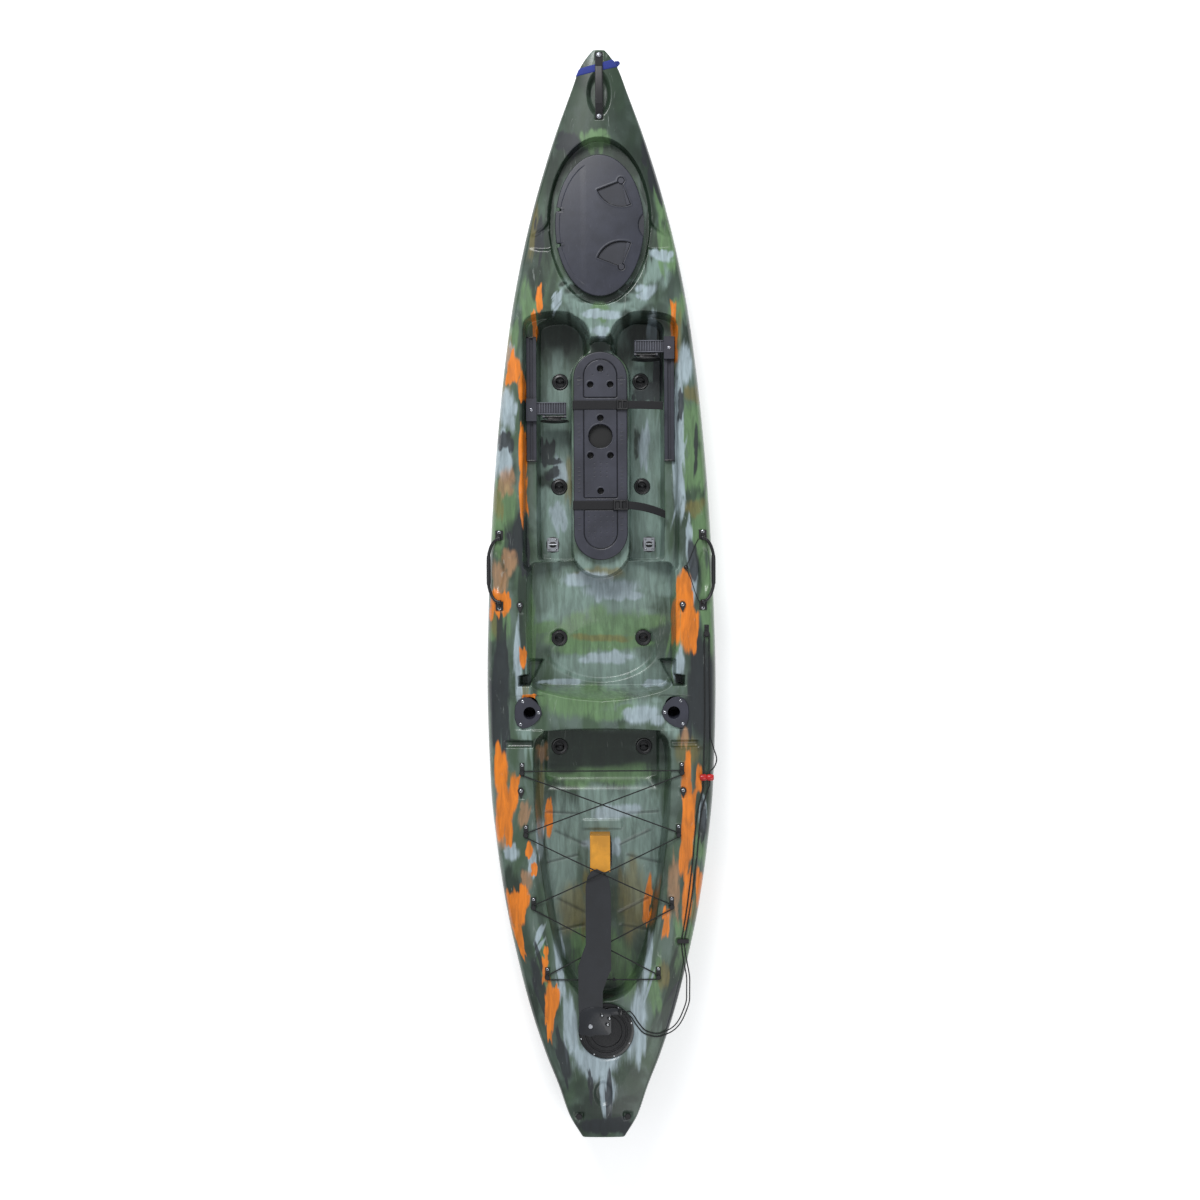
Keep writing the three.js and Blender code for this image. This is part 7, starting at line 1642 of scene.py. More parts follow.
def build_lid(colours):
    """The bow lid: rings from its middle out to its edge, down its skirt and back, with hinge notches."""
    centre = np.array((0, HATCH_Y))
    turns = [math.pi - math.asin((at - HATCH_Y) / LID_HALF[1]) for at in LID_HINGES]
    angle = spread(620, turns, 0.05, 4, 0, 2 * math.pi)[:-1]
    whole = np.c_[LID_HALF[0] * np.cos(angle), LID_HALF[1] * np.sin(angle)]
    rim = whole + centre
    in_notch = np.min([np.abs(rim[:, 1] - at) for at in LID_HINGES], 0) < NOTCH_HALF
    rim[in_notch & (rim[:, 0] < 0), 0] = NOTCH_X
    out = rim - centre
    length = np.linalg.norm(out, axis=1)
    shares = np.r_[np.linspace(0.01, 1, 125), np.ones(8)]
    insets = np.r_[np.full(125, 0.006), (0.005, 0.004, 0.003, 0.002, 0.0012, 0.0006, 0.0002, 0)]
    notched = smooth((shares - 0.84) / 0.12)[:, None, None]
    reach = shares[:, None] * (1 - insets[:, None] / length)
    rings = centre + (whole + (out - whole) * notched) * reach[..., None]
    x, y = rings[..., 0], rings[..., 1]
    inset = (1 - shares[:, None]) * length + insets[:, None]
    z, crease_shade = lid_surface(x, y, inset)
    foot = np.where(rim[:, 0] < NOTCH_X + 0.004, LID_UNDER, SKIRT_FOOT)
    under = []
    for inward, level in ((0, foot + 0.001), (0.001, foot), (0.005, foot), (0.006, foot + 0.001),
                          (0.0065, LID_UNDER), (0.08, LID_UNDER)):
        ring = centre + out * (1 - inward / length)[:, None]
        under.append(np.c_[ring, np.broadcast_to(level, length.shape)])
    points = np.concatenate([np.stack([x, y, z], -1), under])
    piece = grid_object("bow_lid_moulding", points, closed_columns=True, ends=True)
    mark_top(piece, crease_shade)
    piece = facing_out(sharpen(piece, 50))
    pins = []
    for at in LID_HINGES:
        path = [(HINGE_X, at + shift, HINGE_AXIS) for shift in (-PIN_HALF, 0, PIN_HALF)]
        pins.append(tube("pin", path, PIN_RADIUS, 20))
    look = moulded_plastic("lid_plastic", colours.lid, 0.4)
    placed(piece, look, BODY_OF["bow_hatch_lid"], replaces=("bow_hatch_lid",))
    steel = brushed_metal("pin_steel", (0.6, 0.61, 0.63), 0.35)
    placed(joined("bow_lid_pins", pins), steel, BODY_OF["bow_hatch_lid"])


# Screws

def top_of(node, x, y):
    """Height of a CAD node's surface under a point."""
    mesh = frame["nodes"][node].data
    found = BVHTree.FromPolygons([v.co for v in mesh.vertices], [p.vertices for p in mesh.polygons])
    hit = found.ray_cast((x, y, 2.0), (0, 0, -1.0))[0]
    if hit is None:
        raise ValueError(f"nothing of {node} at {x}, {y}")
    return hit.z


def screw_head(name, x, y, z, radius, height, turn=0.5):
    """A domed head with a crossed recess: a quarter ellipse turned about Z, sunk along both arms."""
    share = np.r_[np.linspace(0.04, 0.86, 12), 0.93, 0.97, 0.995, 1, 1]
    angle = np.arange(48) / 48 * 2 * math.pi
    px, py = radius * share[:, None] * np.cos(angle), radius * share[:, None] * np.sin(angle)
    lift = height * np.sqrt(np.maximum(1 - share ** 2.4, 0))[:, None] * np.ones(48)
    lift[-1] = -0.0006
    c, s = math.cos(turn), math.sin(turn)
    arm = np.minimum(np.abs(px * c + py * s), np.abs(py * c - px * s)) / radius
    cross = smooth((0.17 - arm) / 0.08) * smooth((0.62 - share[:, None]) / 0.12)
    lift = lift - cross * height * 0.45
    return closed_tube(name, np.stack([x + px, y + py, z + lift], -1))


# Places of the screws, with radius and height of each kind

PAD_SCREWS = {"fore": 0.2538, "aft": -0.0488}
CLEAT_SCREWS = {"fore": (0.323, -0.035), "aft": (0.322, -0.772)}
ROD_SCREWS = ((-0.72, 0), (0.55, 0.7), (0.72, -0.72))
ROD_FLANGE_HALF, ROD_FLANGE_AT = (0.05, 0.064), (0.286, -0.462)
HOOK_SCREW_IN = 0.008
BIG_SCREW, HOOK_SCREW, ROD_SCREW = (0.0074, 0.004), (0.0063, 0.003), (0.0063, 0.0025)


def build_screws():
    """Steel screw heads on the fittings that show them, each just over its own dome."""
    steel = brushed_metal("screw_steel", (0.74, 0.75, 0.77), 0.25)
    heads = []
    for side, sign in SIDES:
        for end, (x, y) in CLEAT_SCREWS.items():
            heads.append((f"deck_cleat_{end}_{side}", sign * x, y, *BIG_SCREW))
        for end, y in PAD_SCREWS.items():
            node = f"side_handle_pad_{end}_{side}"
            heads.append((node, middle_of(node)[0], y, *BIG_SCREW))
        for row in range(1, 5):
            node = f"bungee_hook_{row}_{side}"
            heads.append((node, middle_of(node)[0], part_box(node)[1].y - HOOK_SCREW_IN, *HOOK_SCREW))
        for sx, sy in ROD_SCREWS:
            x, y = ROD_FLANGE_AT[0] + sx * ROD_FLANGE_HALF[0], ROD_FLANGE_AT[1] + sy * ROD_FLANGE_HALF[1]
            heads.append((f"rod_holder_{side}", sign * x, y, *ROD_SCREW))
    for number, (node, x, y, radius, height) in enumerate(heads):
        level = top_of(node, x, y) - height + 0.0004
        placed(screw_head(f"screw_{number}", x, y, level, radius, height, number * 0.7), steel)


# Small moulded and turned shapes

def extruded(name, outline, low, high, ease=0.0008):
    """A plate between two levels over an outline, its edges eased towards the outline's middle."""
    outline = np.array(outline, float)
    middle = outline.mean(0)
    away = outline - middle
    length = np.linalg.norm(away, axis=1)[:, None]
    steps = ((ease, low), (0, low + ease), (0, high - ease), (ease * 0.3, high - ease * 0.3), (ease, high))
    rings = []
    for inset, level in steps:
        ring = middle + away * (1 - inset / length)
        rings.append(np.c_[ring, np.full(len(ring), level)])
    return closed_tube(name, np.array(rings), 50)


def rounded_plate(name, half, x, y, low, high, ease=0.0008):
    """A plate between two levels over a rectangle whose corners are cut round."""
    return extruded(name, softened(box_outline(*half, x, y)), low, high, ease)


def turned(name, profile, x, y, count=72, teeth=0, depth=0.0):
    """A piece turned about Z, from its underside round to its top, with teeth in its outer radii."""
    radius, level = np.array(profile, float).T
    angle = np.arange(count) / count * 2 * math.pi
    outermost = (radius > radius.max() * 0.985)[:, None]
    reach = radius[:, None] - outermost * depth * (0.5 - 0.5 * np.cos(teeth * angle))
    height = np.broadcast_to(level[:, None], reach.shape)
    return closed_tube(name, np.stack([x + reach * np.cos(angle), y + reach * np.sin(angle), height], -1))


# Drain plugs: radius, and height over the well's floor

PLUG_RISE = 0.0053
PLUG_PROFILE = [
    (0.002, -0.034), (0.0187, -0.034), (0.0217, 0.0003), (0.0322, 0.0003), (0.0328, 0.0014), (0.0325, 0.0036),
    (0.031, 0.005), (0.0292, PLUG_RISE), (0.0272, 0.0044), (0.0252, 0.0044), (0.0235, PLUG_RISE),
    (0.0185, PLUG_RISE), (0.0172, 0.0042), (0.0155, -0.0062), (0.002, -0.0068),
]
PULL_REACH, PULL_DROP, PULL_RISE = 0.0326, 0.004, 0.0078


def build_plugs(colours, sizes):
    """Eight drain plugs: a turned cup with a beaded flange, and a strap across the cup to pull it by."""
    look = moulded_plastic("plug_rubber", colours.rubber, 0.28, 500.0, 0.0002)
    for node in [name for name in frame["nodes"] if name.startswith("scupper_plug_")]:
        x, y, _ = middle_of(node)
        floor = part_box(node)[1].z - PLUG_RISE
        plug = turned(node + "_cup", [(r, floor + z) for r, z in PLUG_PROFILE], x, y)
        placed(plug, look, BODY_OF[node], replaces=(node,))
        t = np.linspace(0, 1, 24)
        height = floor - PULL_DROP + PULL_RISE * np.sin(math.pi * t)
        path = np.stack([x + (t - 0.5) * PULL_REACH, np.full(24, y), height], 1)
        pull = strap(node + "_pull", path, (0, 1, 0), sizes.pull_width, sizes.pull_thickness)
        placed(pull, look, BODY_OF[node])


# Foot braces: sizes are half sizes along X and Y, and levels are heights over the floor

RAIL_X = 0.276
BRACES = {"port": 0.703, "starboard": 0.95}
PEDAL_MIDDLE, PEDAL_HALF, PEDAL_BULGE, TREAD = 0.1835, 0.0573, 0.006, 0.0007
HINGE_AHEAD, HINGE_Z = 0.014, 0.211
BARREL_HALF, BARREL_RADIUS, BARREL_RIB, BARREL_END = 0.0379, 0.0066, 0.0003, 0.0068
WEB, WEB_AHEAD, WEB_LEVELS = (0.026, 0.0062), 0.0068, (0.2062, 0.2158)
ARM_AFT, ARM_FORE, ARM_INNER, ARM_OUTER = 0.0245, 0.0718, 0.1365, 0.2545
RIB, RIB_COUNT, RIB_LEVELS = (0.0014, 0.0215), 11, (0.2155, 0.2208)
BAR_HALF, BAR_LEVELS = 0.0016, (0.2155, 0.222)
SLIDER_AHEAD, SLIDER_TOP = 0.042, 0.2225
CAP, CAP_INSET = (0.0202, 0.0032), 0.0034


def pedal_pad(name, x, y, low, high):
    """A lens-shaped pad on edge: rings of the lens from its foot to its top, with treads on its aft face."""
    share = np.linspace(-1, 1, 41)
    bulge = PEDAL_BULGE * (1 - 0.78 * share ** 2)
    outline_x = np.r_[share, share[-2:0:-1]] * PEDAL_HALF
    outline_y = np.r_[-bulge, bulge[-2:0:-1]]
    t = np.linspace(-1, 1, 61)
    keep = np.maximum(1 - np.abs(t) ** 10, 0.0) ** 0.5 * 0.9 + 0.08
    wide = 1 - 0.16 * np.abs(t) ** 5
    level = (low + high) / 2 + t * (high - low) / 2
    tread = TREAD * np.sin(t * 46) * (np.abs(t) < 0.86)
    px = x + outline_x * wide[:, None]
    aft = (outline_y < 0) * tread[:, None] * (1 - (outline_x / PEDAL_HALF) ** 2)
    py = y + outline_y * keep[:, None] + aft
    return closed_tube(name, np.stack([px, py, np.broadcast_to(level[:, None], px.shape)], -1), 50)


def slider_ribs(name, sign, y):
    """Ribs across a slider's arm, and a bar along each of its two edges."""
    aft, fore = y + ARM_AFT, y + ARM_FORE
    pieces = []
    for at in np.linspace(ARM_INNER + 0.006, ARM_OUTER - 0.012, RIB_COUNT):
        pieces.append(rounded_plate("rib", RIB, sign * at, (aft + fore) / 2, *RIB_LEVELS))
    bar = ((ARM_OUTER - ARM_INNER) / 2, BAR_HALF)
    for at in (aft + BAR_HALF, fore - BAR_HALF):
        pieces.append(rounded_plate("bar", bar, sign * (ARM_OUTER + ARM_INNER) / 2, at, *BAR_LEVELS))
    return joined(name, pieces)


def build_braces(colours):
    """Foot braces: pedals with their hinge barrels, ribs on the sliders' arms, and the rails' caps."""
    pad_look = moulded_plastic("pedal_rubber", colours.rubber, 0.4, 500.0, 0.0002)
    rib_look = moulded_plastic("brace_plastic", colours.rubber, 0.35)
    steel = brushed_metal("brace_steel", (0.66, 0.67, 0.7), 0.3)
    tooth_look = moulded_plastic("brace_teeth", (0.42, 0.43, 0.47), 0.3)
    for side, sign in SIDES:
        y = BRACES[side]
        pedal, slider = f"foot_pedal_{side}", f"foot_slider_{side}"
        low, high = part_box(pedal)
        middle = sign * PEDAL_MIDDLE
        placed(pedal_pad(pedal + "_pad", middle, y, low.z, high.z), pad_look, BODY_OF[pedal],
               replaces=(pedal,))
        profile = []
        for at in np.linspace(-BARREL_HALF, BARREL_HALF, 26):
            ribbed = BARREL_RADIUS + BARREL_RIB * math.cos(at * 900)
            profile.append((at, BARREL_END if abs(at) > BARREL_HALF - 0.0019 else ribbed))
        barrel = turned_along_x(pedal + "_barrel", profile, (middle, y + HINGE_AHEAD, HINGE_Z), 36)
        placed(barrel, rib_look, BODY_OF[pedal])
        web = rounded_plate(pedal + "_web", WEB, middle, y + WEB_AHEAD, *WEB_LEVELS)
        placed(web, rib_look, BODY_OF[pedal])
        placed(slider_ribs(slider + "_ribs", sign, y), tooth_look, BODY_OF[slider])
        bolt = screw_head(slider + "_bolt", sign * RAIL_X, y + SLIDER_AHEAD, SLIDER_TOP, 0.007, 0.0028, 0.3)
        placed(bolt, steel, BODY_OF[slider])
        rail_low, rail_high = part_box(f"foot_rail_{side}")
        caps = []
        for at in (rail_low.y + CAP_INSET, rail_high.y - CAP_INSET):
            caps.append(rounded_plate("cap", CAP, sign * RAIL_X, at, rail_low.z + 0.0004, rail_high.z + GAP))
        placed(joined(f"foot_rail_{side}_caps", caps), rib_look)


# Side handles: their strap as shares of its reach outwards and of half its length

HANDLE_SHARES = [(0, 1), (0.4, 0.93), (0.8, 0.72), (1, 0.42), (1, 0), (1, -0.42), (0.8, -0.72), (0.4, -0.93),
                 (0, -1)]
HANDLE_X, HANDLE_Y, HANDLE_Z = 0.404, 0.1025, 0.298457
HANDLE_HALF, HANDLE_REACH, HANDLE_DROP = 0.1265, 0.0423, 0.3
GRIP_HALF, GRIP_RADIUS, GRIP_SWELL, GRIP_RIB = 0.0578, 0.0074, 0.0012, 0.0004
BARREL_STEPS = (-0.0088, 0, 0.0088)


def handle_grip(name, sign):
    """A round grip that swells in its middle, with fine ribs: a turned shape along Y."""
    at = np.linspace(-1, 1, 90)
    swell = GRIP_RADIUS + GRIP_SWELL * (1 - at ** 6) - GRIP_RIB * (0.5 + 0.5 * np.cos(at * 60))
    angle = np.arange(28) / 28 * 2 * math.pi
    x = sign * (HANDLE_X + HANDLE_REACH) + swell[:, None] * np.cos(angle)
    z = HANDLE_Z - HANDLE_REACH * HANDLE_DROP + swell[:, None] * np.sin(angle)
    y = np.broadcast_to((HANDLE_Y + at * GRIP_HALF)[:, None], x.shape)
    return closed_tube(name, np.stack([x, y, z], -1))


def build_handles(colours, sizes):
    """Side handles: a strap bent out from two hinge barrels, with a ribbed grip along its middle."""
    look = moulded_plastic("handle_rubber", colours.rubber, 0.4)
    grip_look = moulded_plastic("grip_rubber", colours.webbing, 0.55)
    for side, sign in SIDES:
        node = f"side_handle_{side}"
        body = BODY_OF[node]
        points = [(sign * (HANDLE_X + sx * HANDLE_REACH), HANDLE_Y + sy * HANDLE_HALF,
                   HANDLE_Z - sx * HANDLE_REACH * HANDLE_DROP) for sx, sy in HANDLE_SHARES]
        bow = tube(node + "_bow", route(points, 0.003), sizes.handle_radius, 24)
        placed(bow, look, body, replaces=(node,))
        ends = []
        for end in (-1, 1):
            path = [(sign * HANDLE_X, HANDLE_Y + end * HANDLE_HALF + shift, HANDLE_Z)
                    for shift in BARREL_STEPS]
            ends.append(tube("barrel", path, sizes.barrel_radius, 28))
        placed(joined(node + "_barrels", ends), look, body)
        placed(handle_grip(node + "_grip", sign), grip_look, body)


# Rudder head: places are from the pivot, and levels from the underside of the lower cheek

PIVOT = (-0.05, -1.7)
CHEEK_THICK, UPPER_CHEEK, CHEEK_TOP = 0.003, 0.0126, 0.0156
SPACER, SPACER_AT = (0.006, 0.008), (-0.0385, -0.0245)
TAB, TAB_AT = (0.033, 0.0138), (0.0915, 0.058)
BLOCK, BLOCK_AT = (0.0068, 0.0138), (0.118, 0.058)
ROLLERS = ((0.0459, 0.0441), (0.0755, 0.0319), (0.0681, 0.0076))
ROLLER_PROFILE = [(0.001, -0.0004), (0.0079, -0.0003), (0.0079, 0.0012), (0.0058, 0.0024), (0.0058, 0.0038),
                  (0.0078, 0.0052), (0.0074, 0.0066), (0.001, 0.0067)]


def cheek_outline():
    """The cheek plate seen from above: square corners behind, and an arched edge ahead."""
    angle = np.linspace(0, math.pi, 33)
    arch = np.stack([0.0185 + 0.0634 * np.cos(angle), 0.036 + 0.0398 * np.sin(angle) ** 0.85], 1)
    plate = np.r_[[(-0.045, -0.024), (-0.036, -0.034), (0.072, -0.034), (0.082, -0.024)], arch]
    return plate + PIVOT


def from_pivot(place):
    """A place given from the pivot."""
    return PIVOT[0] + place[0], PIVOT[1] + place[1]


def build_rudder(colours):
    """The rudder's head with pulleys and line block, the round hatch and the rest's dark strip."""
    plate_look = moulded_plastic("rudder_plate", colours.blade, 0.3)
    dark = moulded_plastic("rudder_block", colours.gloss_black, 0.2)
    steel = brushed_metal("rudder_steel", (0.78, 0.79, 0.8), 0.2)
    low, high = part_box("rudder_head")
    body = BODY_OF["rudder_head"]
    upper, top = low.z + UPPER_CHEEK, low.z + CHEEK_TOP
    cheek = extruded("rudder_cheek_upper", cheek_outline(), upper, top)
    placed(cheek, plate_look, body, replaces=("rudder_head",))
    for piece, look in (
        (extruded("rudder_cheek_lower", cheek_outline(), low.z, low.z + CHEEK_THICK), plate_look),
        (rounded_plate("rudder_cheek_spacer", SPACER, *from_pivot(SPACER_AT), low.z + 0.0025,
                       upper + 0.0005), plate_look),
        (rounded_plate("rudder_tab", TAB, *from_pivot(TAB_AT), upper, top - 0.0002), plate_look),
        (rounded_plate("rudder_line_block", BLOCK, *from_pivot(BLOCK_AT), top - 0.0015, high.z, 0.0015),
         dark),
    ):
        placed(piece, look, body)
    rollers, rivets = [], []
    for place in ROLLERS:
        x, y = from_pivot(place)
        rollers.append(turned("roller", [(r, top + z) for r, z in ROLLER_PROFILE], x, y, 40))
        rivets.append(screw_head("rivet", x, y, top + 0.0062, 0.0042, 0.0018, place[0] * 90))
    placed(joined("rudder_rollers", rollers), dark, body)
    placed(joined("rudder_rivets", rivets), steel, body)
    build_stern_hatch(dark, steel)
    rest_low, rest_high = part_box("rudder_rest")
    strip = rounded_plate("rudder_rest_strip", (0.0032, 0.052), rest_high.x + 0.0036, -1.02, rest_low.z,
                          rest_high.z - 0.003)
    placed(strip, dark)


# Stern hatch: radii of the lid and outward steps of the ring, with heights under the top of each

SCREW_LID_BASE = [(0.002, 0.012), (0.071, 0.012), (0.0725, 0), (0.0765, 0)]
SCREW_LID_PROFILE = [
    (0.0768, 0.006), (0.0965, 0.006), (0.0978, 0.005), (0.0978, 0.0015), (0.0965, 0.0002), (0.085, 0.0001),
    (0.0835, 0.0022), (0.0785, 0.0022), (0.077, 0.0004), (0.0635, 0.0004), (0.061, 0.003), (0.002, 0.0028),
]
SCREW_LID_TEETH, SCREW_LID_TOOTH = 36, 0.0012
RING_INNER, RING_STRETCH = 0.0792, 0.0306 / 0.0258
RING_PROFILE = [(0.0255, RING_FOOT), (0.0258, 0.003), (0.0245, 0.0006), (0.0225, 0), (0.0145, 0),
                (0.0135, 0.0014), (0.0115, 0.0014), (0.0105, 0), (0.001, 0), (0.0, 0.001)]
RING_SCREWS, RING_SCREW_REACH = 8, 0.1035


def build_stern_hatch(dark, steel):
    """The round hatch: a lid with teeth round its edge, in a stepped ring held by eight screws."""
    x, y = STERN_HATCH
    lid_low, lid_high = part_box("stern_hatch_lid")
    profile = [(r, lid_low.z + z) for r, z in SCREW_LID_BASE]
    profile += [(r, lid_high.z - z) for r, z in SCREW_LID_PROFILE]
    lid = turned("stern_hatch_lid_turned", profile, x, y, 180, SCREW_LID_TEETH, SCREW_LID_TOOTH)
    placed(lid, dark, BODY_OF["stern_hatch_lid"], replaces=("stern_hatch_lid",))
    ring_low, ring_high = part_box("stern_hatch_ring")
    crest, under = ring_high.z, ring_low.z + 0.0005
    section = [(step, crest - z) for step, z in RING_PROFILE]
    section += [(0.0, under), (0.004, under), (0.0045, crest - RING_FOOT)]
    section = [(step * RING_STRETCH, z) for step, z in section]
    ring = swept_ring("stern_hatch_ring_moulded", RING_INNER, RING_INNER, x, y, section, 160)
    placed(ring, dark, BODY_OF["stern_hatch_ring"], replaces=("stern_hatch_ring",))
    heads = []
    for a in np.arange(RING_SCREWS) / RING_SCREWS * 2 * math.pi + 0.3:
        at_x, at_y = x + RING_SCREW_REACH * math.cos(a), y + RING_SCREW_REACH * math.sin(a)
        heads.append(screw_head("screw", at_x, at_y, crest - 0.0003, 0.0035, 0.0014, a))
    placed(joined("stern_hatch_screws", heads), steel)


# Seat brackets

GASKET, BRACKET_PAD = (0.0262, 0.0312), (0.014, 0.012)
PLATE_TOP, PAD_TOP = 0.0028, 0.0042
BRACKET_BOLTS = [(x, y) for x in (-0.014, 0.014) for y in (-0.02, 0.02)]


def build_brackets(colours):
    """A dark gasket under each seat bracket, a pad on it, and a bolt near each corner of its plate."""
    rubber = moulded_plastic("gasket_rubber", colours.rubber, 0.5)
    steel = brushed_metal("bracket_steel", (0.7, 0.71, 0.73), 0.22)
    for side, _ in SIDES:
        node = f"seat_bracket_{side}"
        x, y, _ = middle_of(node)
        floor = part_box(node)[0].z
        gasket = rounded_plate(node + "_gasket", GASKET, x, y, floor - 0.0002, floor + 0.0016, 0.0004)
        placed(gasket, rubber)
        pad = rounded_plate(node + "_pad", BRACKET_PAD, x, y, floor + PLATE_TOP, floor + PAD_TOP, 0.0004)
        placed(pad, rubber)
        bolts = [screw_head("bolt", x + across, y + along, floor + PLATE_TOP, 0.0042, 0.0024, across)
                 for across, along in BRACKET_BOLTS]
        placed(joined(node + "_bolts", bolts), steel)


# Stage

FLOOR_COLOUR, FLOOR_GLOW = (0.93, 0.93, 0.93), 0.42
SKY_COLOUR, SKY_STRENGTH = (0.93, 0.96, 1.0, 1), 0.55
LAMPS = (("key", (-1.6, 5.0, 5.5), 3.0, 420), ("fill", (2.5, -4.0, 6.0), 4.0, 110))
LAMP_AIM = (0, 0.2, 0.2)
LENS, CAMERA_PLACE, CAMERA_TURN = 71.8, (-0.0048, -0.0159, 0.285 + 9.5), -0.0046


def build_stage():
    """Floor, soft lights, pale surroundings and the camera of the photograph."""
    bpy.ops.mesh.primitive_plane_add(size=60, location=(0, 0, -0.0005))
    floor = bpy.context.object
    floor.name = "floor"
    look = Look("pale_floor", FLOOR_COLOUR, Roughness=0.9)
    path = look.node("ShaderNodeLightPath")
    direct, glossy = (Number(look, path.outputs[ray]) for ray in ("Is Camera Ray", "Is Glossy Ray"))
    seen = direct.math("MAXIMUM", glossy)
    glow = look.node("ShaderNodeEmission", None, {"Color": (1, 1, 1, 1), "Strength": seen * FLOOR_GLOW})
    both = look.node("ShaderNodeAddShader", None, {0: look.surface.outputs[0], 1: glow.outputs[0]})
    out = next(n for n in look.tree.nodes if n.type == "OUTPUT_MATERIAL")
    look.tree.links.new(both.outputs[0], out.inputs["Surface"])
    floor.data.materials.append(look.material)
    world = bpy.data.worlds.new("studio")
    world.use_nodes = True
    sky = world.node_tree.nodes["Background"].inputs
    sky["Color"].default_value = SKY_COLOUR
    sky["Strength"].default_value = SKY_STRENGTH
    bpy.context.scene.world = world
    for name, place, size, power in LAMPS:
        lamp = bpy.data.lights.new(name, "AREA")
        lamp.size = size
        lamp.energy = power
        light = bpy.data.objects.new(name, lamp)
        light.location = place
        aim = np.array(LAMP_AIM) - place
        tilt = math.acos(-aim[2] / np.linalg.norm(aim))
        light.rotation_euler = (tilt, 0, math.atan2(aim[1], aim[0]) + math.pi / 2 + math.pi)
        bpy.context.scene.collection.objects.link(light)
    camera = bpy.data.objects.new("camera", bpy.data.cameras.new("camera"))
    camera.data.lens = LENS
    camera.location = CAMERA_PLACE
    camera.rotation_euler = (0, 0, CAMERA_TURN)
    bpy.context.scene.collection.objects.link(camera)
    bpy.context.scene.camera = camera
    bpy.context.scene.view_settings.view_transform = "Standard"


# Add-on: settings, one operator for each group of pieces, and a panel

def colour(name, text, value):
    """A colour setting."""
    return FloatVectorProperty(name=name, description=text, subtype="COLOR_GAMMA", default=value)


def length(name, text, value):
    """A size setting."""
    return FloatProperty(name=name, description=text, unit="LENGTH", precision=4, default=value)


class KayakColours(PropertyGroup):
    """Colours of the kayak, as they look on a screen."""

    green: colour("Green", "Main green of the hull", (0.235, 0.315, 0.235))
    grey_green: colour("Grey green", "Greyer parts of the hull", (0.34, 0.405, 0.37))
    deep_green: colour("Deep green", "Darker green of the hull", (0.11, 0.165, 0.125))
    olive: colour("Olive", "Olive brown marks", (0.42, 0.38, 0.20))
    teal: colour("Teal grey", "Floors of the wells", (0.475, 0.56, 0.53))
    leaf_green: colour("Leaf green", "Light green of the seat", (0.36, 0.48, 0.32))
    blue_grey: colour("Blue grey", "Pale marks", (0.60, 0.66, 0.69))
    wisp: colour("Wisps", "Thin pale streaks", (0.72, 0.75, 0.73))
    near_black: colour("Near black", "Dark marks", (0.115, 0.13, 0.15))
    peach: colour("Peach", "Where orange thins out over pale plastic", (0.62, 0.47, 0.34))
    orange: colour("Orange", "Orange marks", (0.82, 0.45, 0.06))
    satin_black: colour("Satin black", "Rails, pedals and rod holders", (0.185, 0.19, 0.235))
    lid: colour("Lid", "Bow hatch lid", (0.165, 0.175, 0.225))
    rubber: colour("Rubber", "Handles, plugs and hooks", (0.08, 0.08, 0.09))
    gloss_black: colour("Gloss black", "Rudder head and stern hatch", (0.06, 0.06, 0.07))
    pod: colour("Pod grey", "Pod cover", (0.195, 0.20, 0.245))
    blade: colour("Blade black", "Rudder blade", (0.12, 0.13, 0.15))
    toggle: colour("Red", "Lift line toggle", (0.76, 0.13, 0.13))
    rest: colour("Yellow", "Rudder rest", (0.87, 0.60, 0.16))
    cord: colour("Cord", "Cords and lashing", (0.06, 0.07, 0.07))
    webbing: colour("Webbing", "Straps", (0.055, 0.055, 0.07))
    band: colour("Band", "Band round the bow", (0.13, 0.19, 0.50))


class KayakSizes(PropertyGroup):
    """Sizes of the straps, handles and pulls, in metres."""

    strap_width: length("Strap width", "Width of the pod cover's straps", 0.036)
    tail_width: length("Tail width", "Width of the straps' loose tails", 0.032)
    strap_thickness: length("Strap thickness", "Thickness of the pod cover's straps", 0.0026)
    tail_thickness: length("Tail thickness", "Thickness of the straps' loose tails", 0.0024)
    handle_radius: length("Handle radius", "Radius of the side handles' straps", 0.0063)
    barrel_radius: length("Barrel radius", "Radius of the side handles' hinge barrels", 0.0078)
    pull_width: length("Pull width", "Width of the strap across each drain plug", 0.008)
    pull_thickness: length("Pull thickness", "Thickness of the strap across each drain plug", 0.002)


class KAYAK_OT_stage(Operator):
    """Build the floor, lights and camera"""
    bl_idname = "kayak.stage"
    bl_label = "Stage"

    def execute(self, context):
        build_stage()
        return {"FINISHED"}


class KAYAK_OT_cords(Operator):
    """Build the lashing, the lift line and the paddle keeper"""
    bl_idname = "kayak.cords"
    bl_label = "Cords"

    def execute(self, context):
        build_cords(context.scene.kayak_colours)
        return {"FINISHED"}


class KAYAK_OT_straps(Operator):
    """Build the pod straps, the bow handle and the band"""
    bl_idname = "kayak.straps"
    bl_label = "Straps"

    def execute(self, context):
        build_straps(context.scene.kayak_colours, context.scene.kayak_sizes)
        return {"FINISHED"}


class KAYAK_OT_hull(Operator):
    """Build the moulded hull"""
    bl_idname = "kayak.hull"
    bl_label = "Hull"

    def execute(self, context):
        build_hull(context.scene.kayak_colours)
        return {"FINISHED"}


class KAYAK_OT_pod(Operator):
    """Build the pod cover"""
    bl_idname = "kayak.pod"
    bl_label = "Pod cover"

    def execute(self, context):
        build_pod(context.scene.kayak_colours)
        return {"FINISHED"}


class KAYAK_OT_lid(Operator):
    """Build the bow hatch lid"""
    bl_idname = "kayak.lid"
    bl_label = "Bow lid"

    def execute(self, context):
        build_lid(context.scene.kayak_colours)
        return {"FINISHED"}


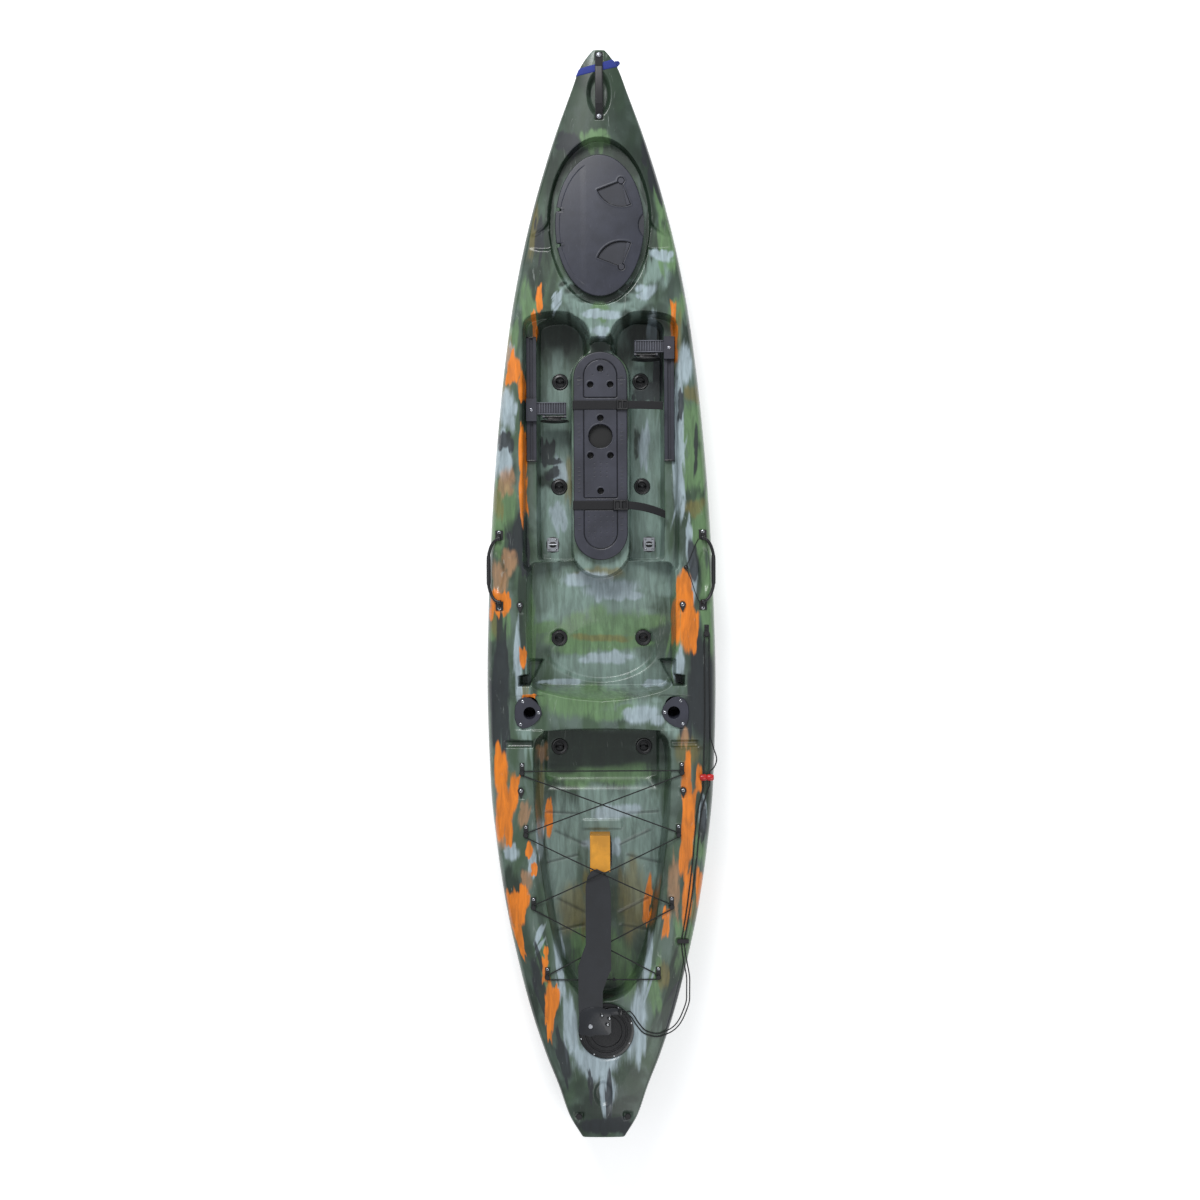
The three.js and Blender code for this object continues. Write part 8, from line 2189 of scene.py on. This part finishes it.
class KAYAK_OT_plugs(Operator):
    """Build the eight drain plugs"""
    bl_idname = "kayak.plugs"
    bl_label = "Drain plugs"

    def execute(self, context):
        build_plugs(context.scene.kayak_colours, context.scene.kayak_sizes)
        return {"FINISHED"}


class KAYAK_OT_braces(Operator):
    """Build the pedals, ribs and caps of the foot braces"""
    bl_idname = "kayak.braces"
    bl_label = "Foot braces"

    def execute(self, context):
        build_braces(context.scene.kayak_colours)
        return {"FINISHED"}


class KAYAK_OT_handles(Operator):
    """Build the side handles"""
    bl_idname = "kayak.handles"
    bl_label = "Side handles"

    def execute(self, context):
        build_handles(context.scene.kayak_colours, context.scene.kayak_sizes)
        return {"FINISHED"}


class KAYAK_OT_rudder(Operator):
    """Build the rudder's head and the stern hatch"""
    bl_idname = "kayak.rudder"
    bl_label = "Rudder head"

    def execute(self, context):
        build_rudder(context.scene.kayak_colours)
        return {"FINISHED"}


class KAYAK_OT_brackets(Operator):
    """Build the gaskets and bolts of the seat brackets"""
    bl_idname = "kayak.brackets"
    bl_label = "Seat brackets"

    def execute(self, context):
        build_brackets(context.scene.kayak_colours)
        return {"FINISHED"}


class KAYAK_OT_fittings(Operator):
    """Finish the fittings"""
    bl_idname = "kayak.fittings"
    bl_label = "Fittings"

    def execute(self, context):
        build_fittings(context.scene.kayak_colours)
        return {"FINISHED"}


class KAYAK_OT_screws(Operator):
    """Build the screw heads"""
    bl_idname = "kayak.screws"
    bl_label = "Screws"

    def execute(self, context):
        build_screws()
        return {"FINISHED"}


STEPS = [
    KAYAK_OT_stage, KAYAK_OT_cords, KAYAK_OT_straps, KAYAK_OT_hull, KAYAK_OT_pod, KAYAK_OT_lid,
    KAYAK_OT_plugs, KAYAK_OT_braces, KAYAK_OT_handles, KAYAK_OT_rudder, KAYAK_OT_brackets, KAYAK_OT_fittings,
    KAYAK_OT_screws,
]


class KAYAK_PT_panel(Panel):
    """Lists the kayak's build steps."""
    bl_label = "Kayak"
    bl_idname = "KAYAK_PT_panel"
    bl_space_type = "VIEW_3D"
    bl_region_type = "UI"
    bl_category = "Kayak"

    def draw(self, context):
        for step in STEPS:
            self.layout.operator(step.bl_idname)


CLASSES = [KayakColours, KayakSizes, *STEPS, KAYAK_PT_panel]


def register():
    """Adds the classes and the two groups of settings."""
    for cls in CLASSES:
        bpy.utils.register_class(cls)
    bpy.types.Scene.kayak_colours = PointerProperty(type=KayakColours)
    bpy.types.Scene.kayak_sizes = PointerProperty(type=KayakSizes)


def unregister():
    """Takes them away again."""
    del bpy.types.Scene.kayak_sizes
    del bpy.types.Scene.kayak_colours
    for cls in reversed(CLASSES):
        bpy.utils.unregister_class(cls)


def main():
    """Builds everything in order."""
    register()
    for step in STEPS:
        getattr(bpy.ops.kayak, step.bl_idname.split(".")[1])()


if __name__ == "__main__":
    main()
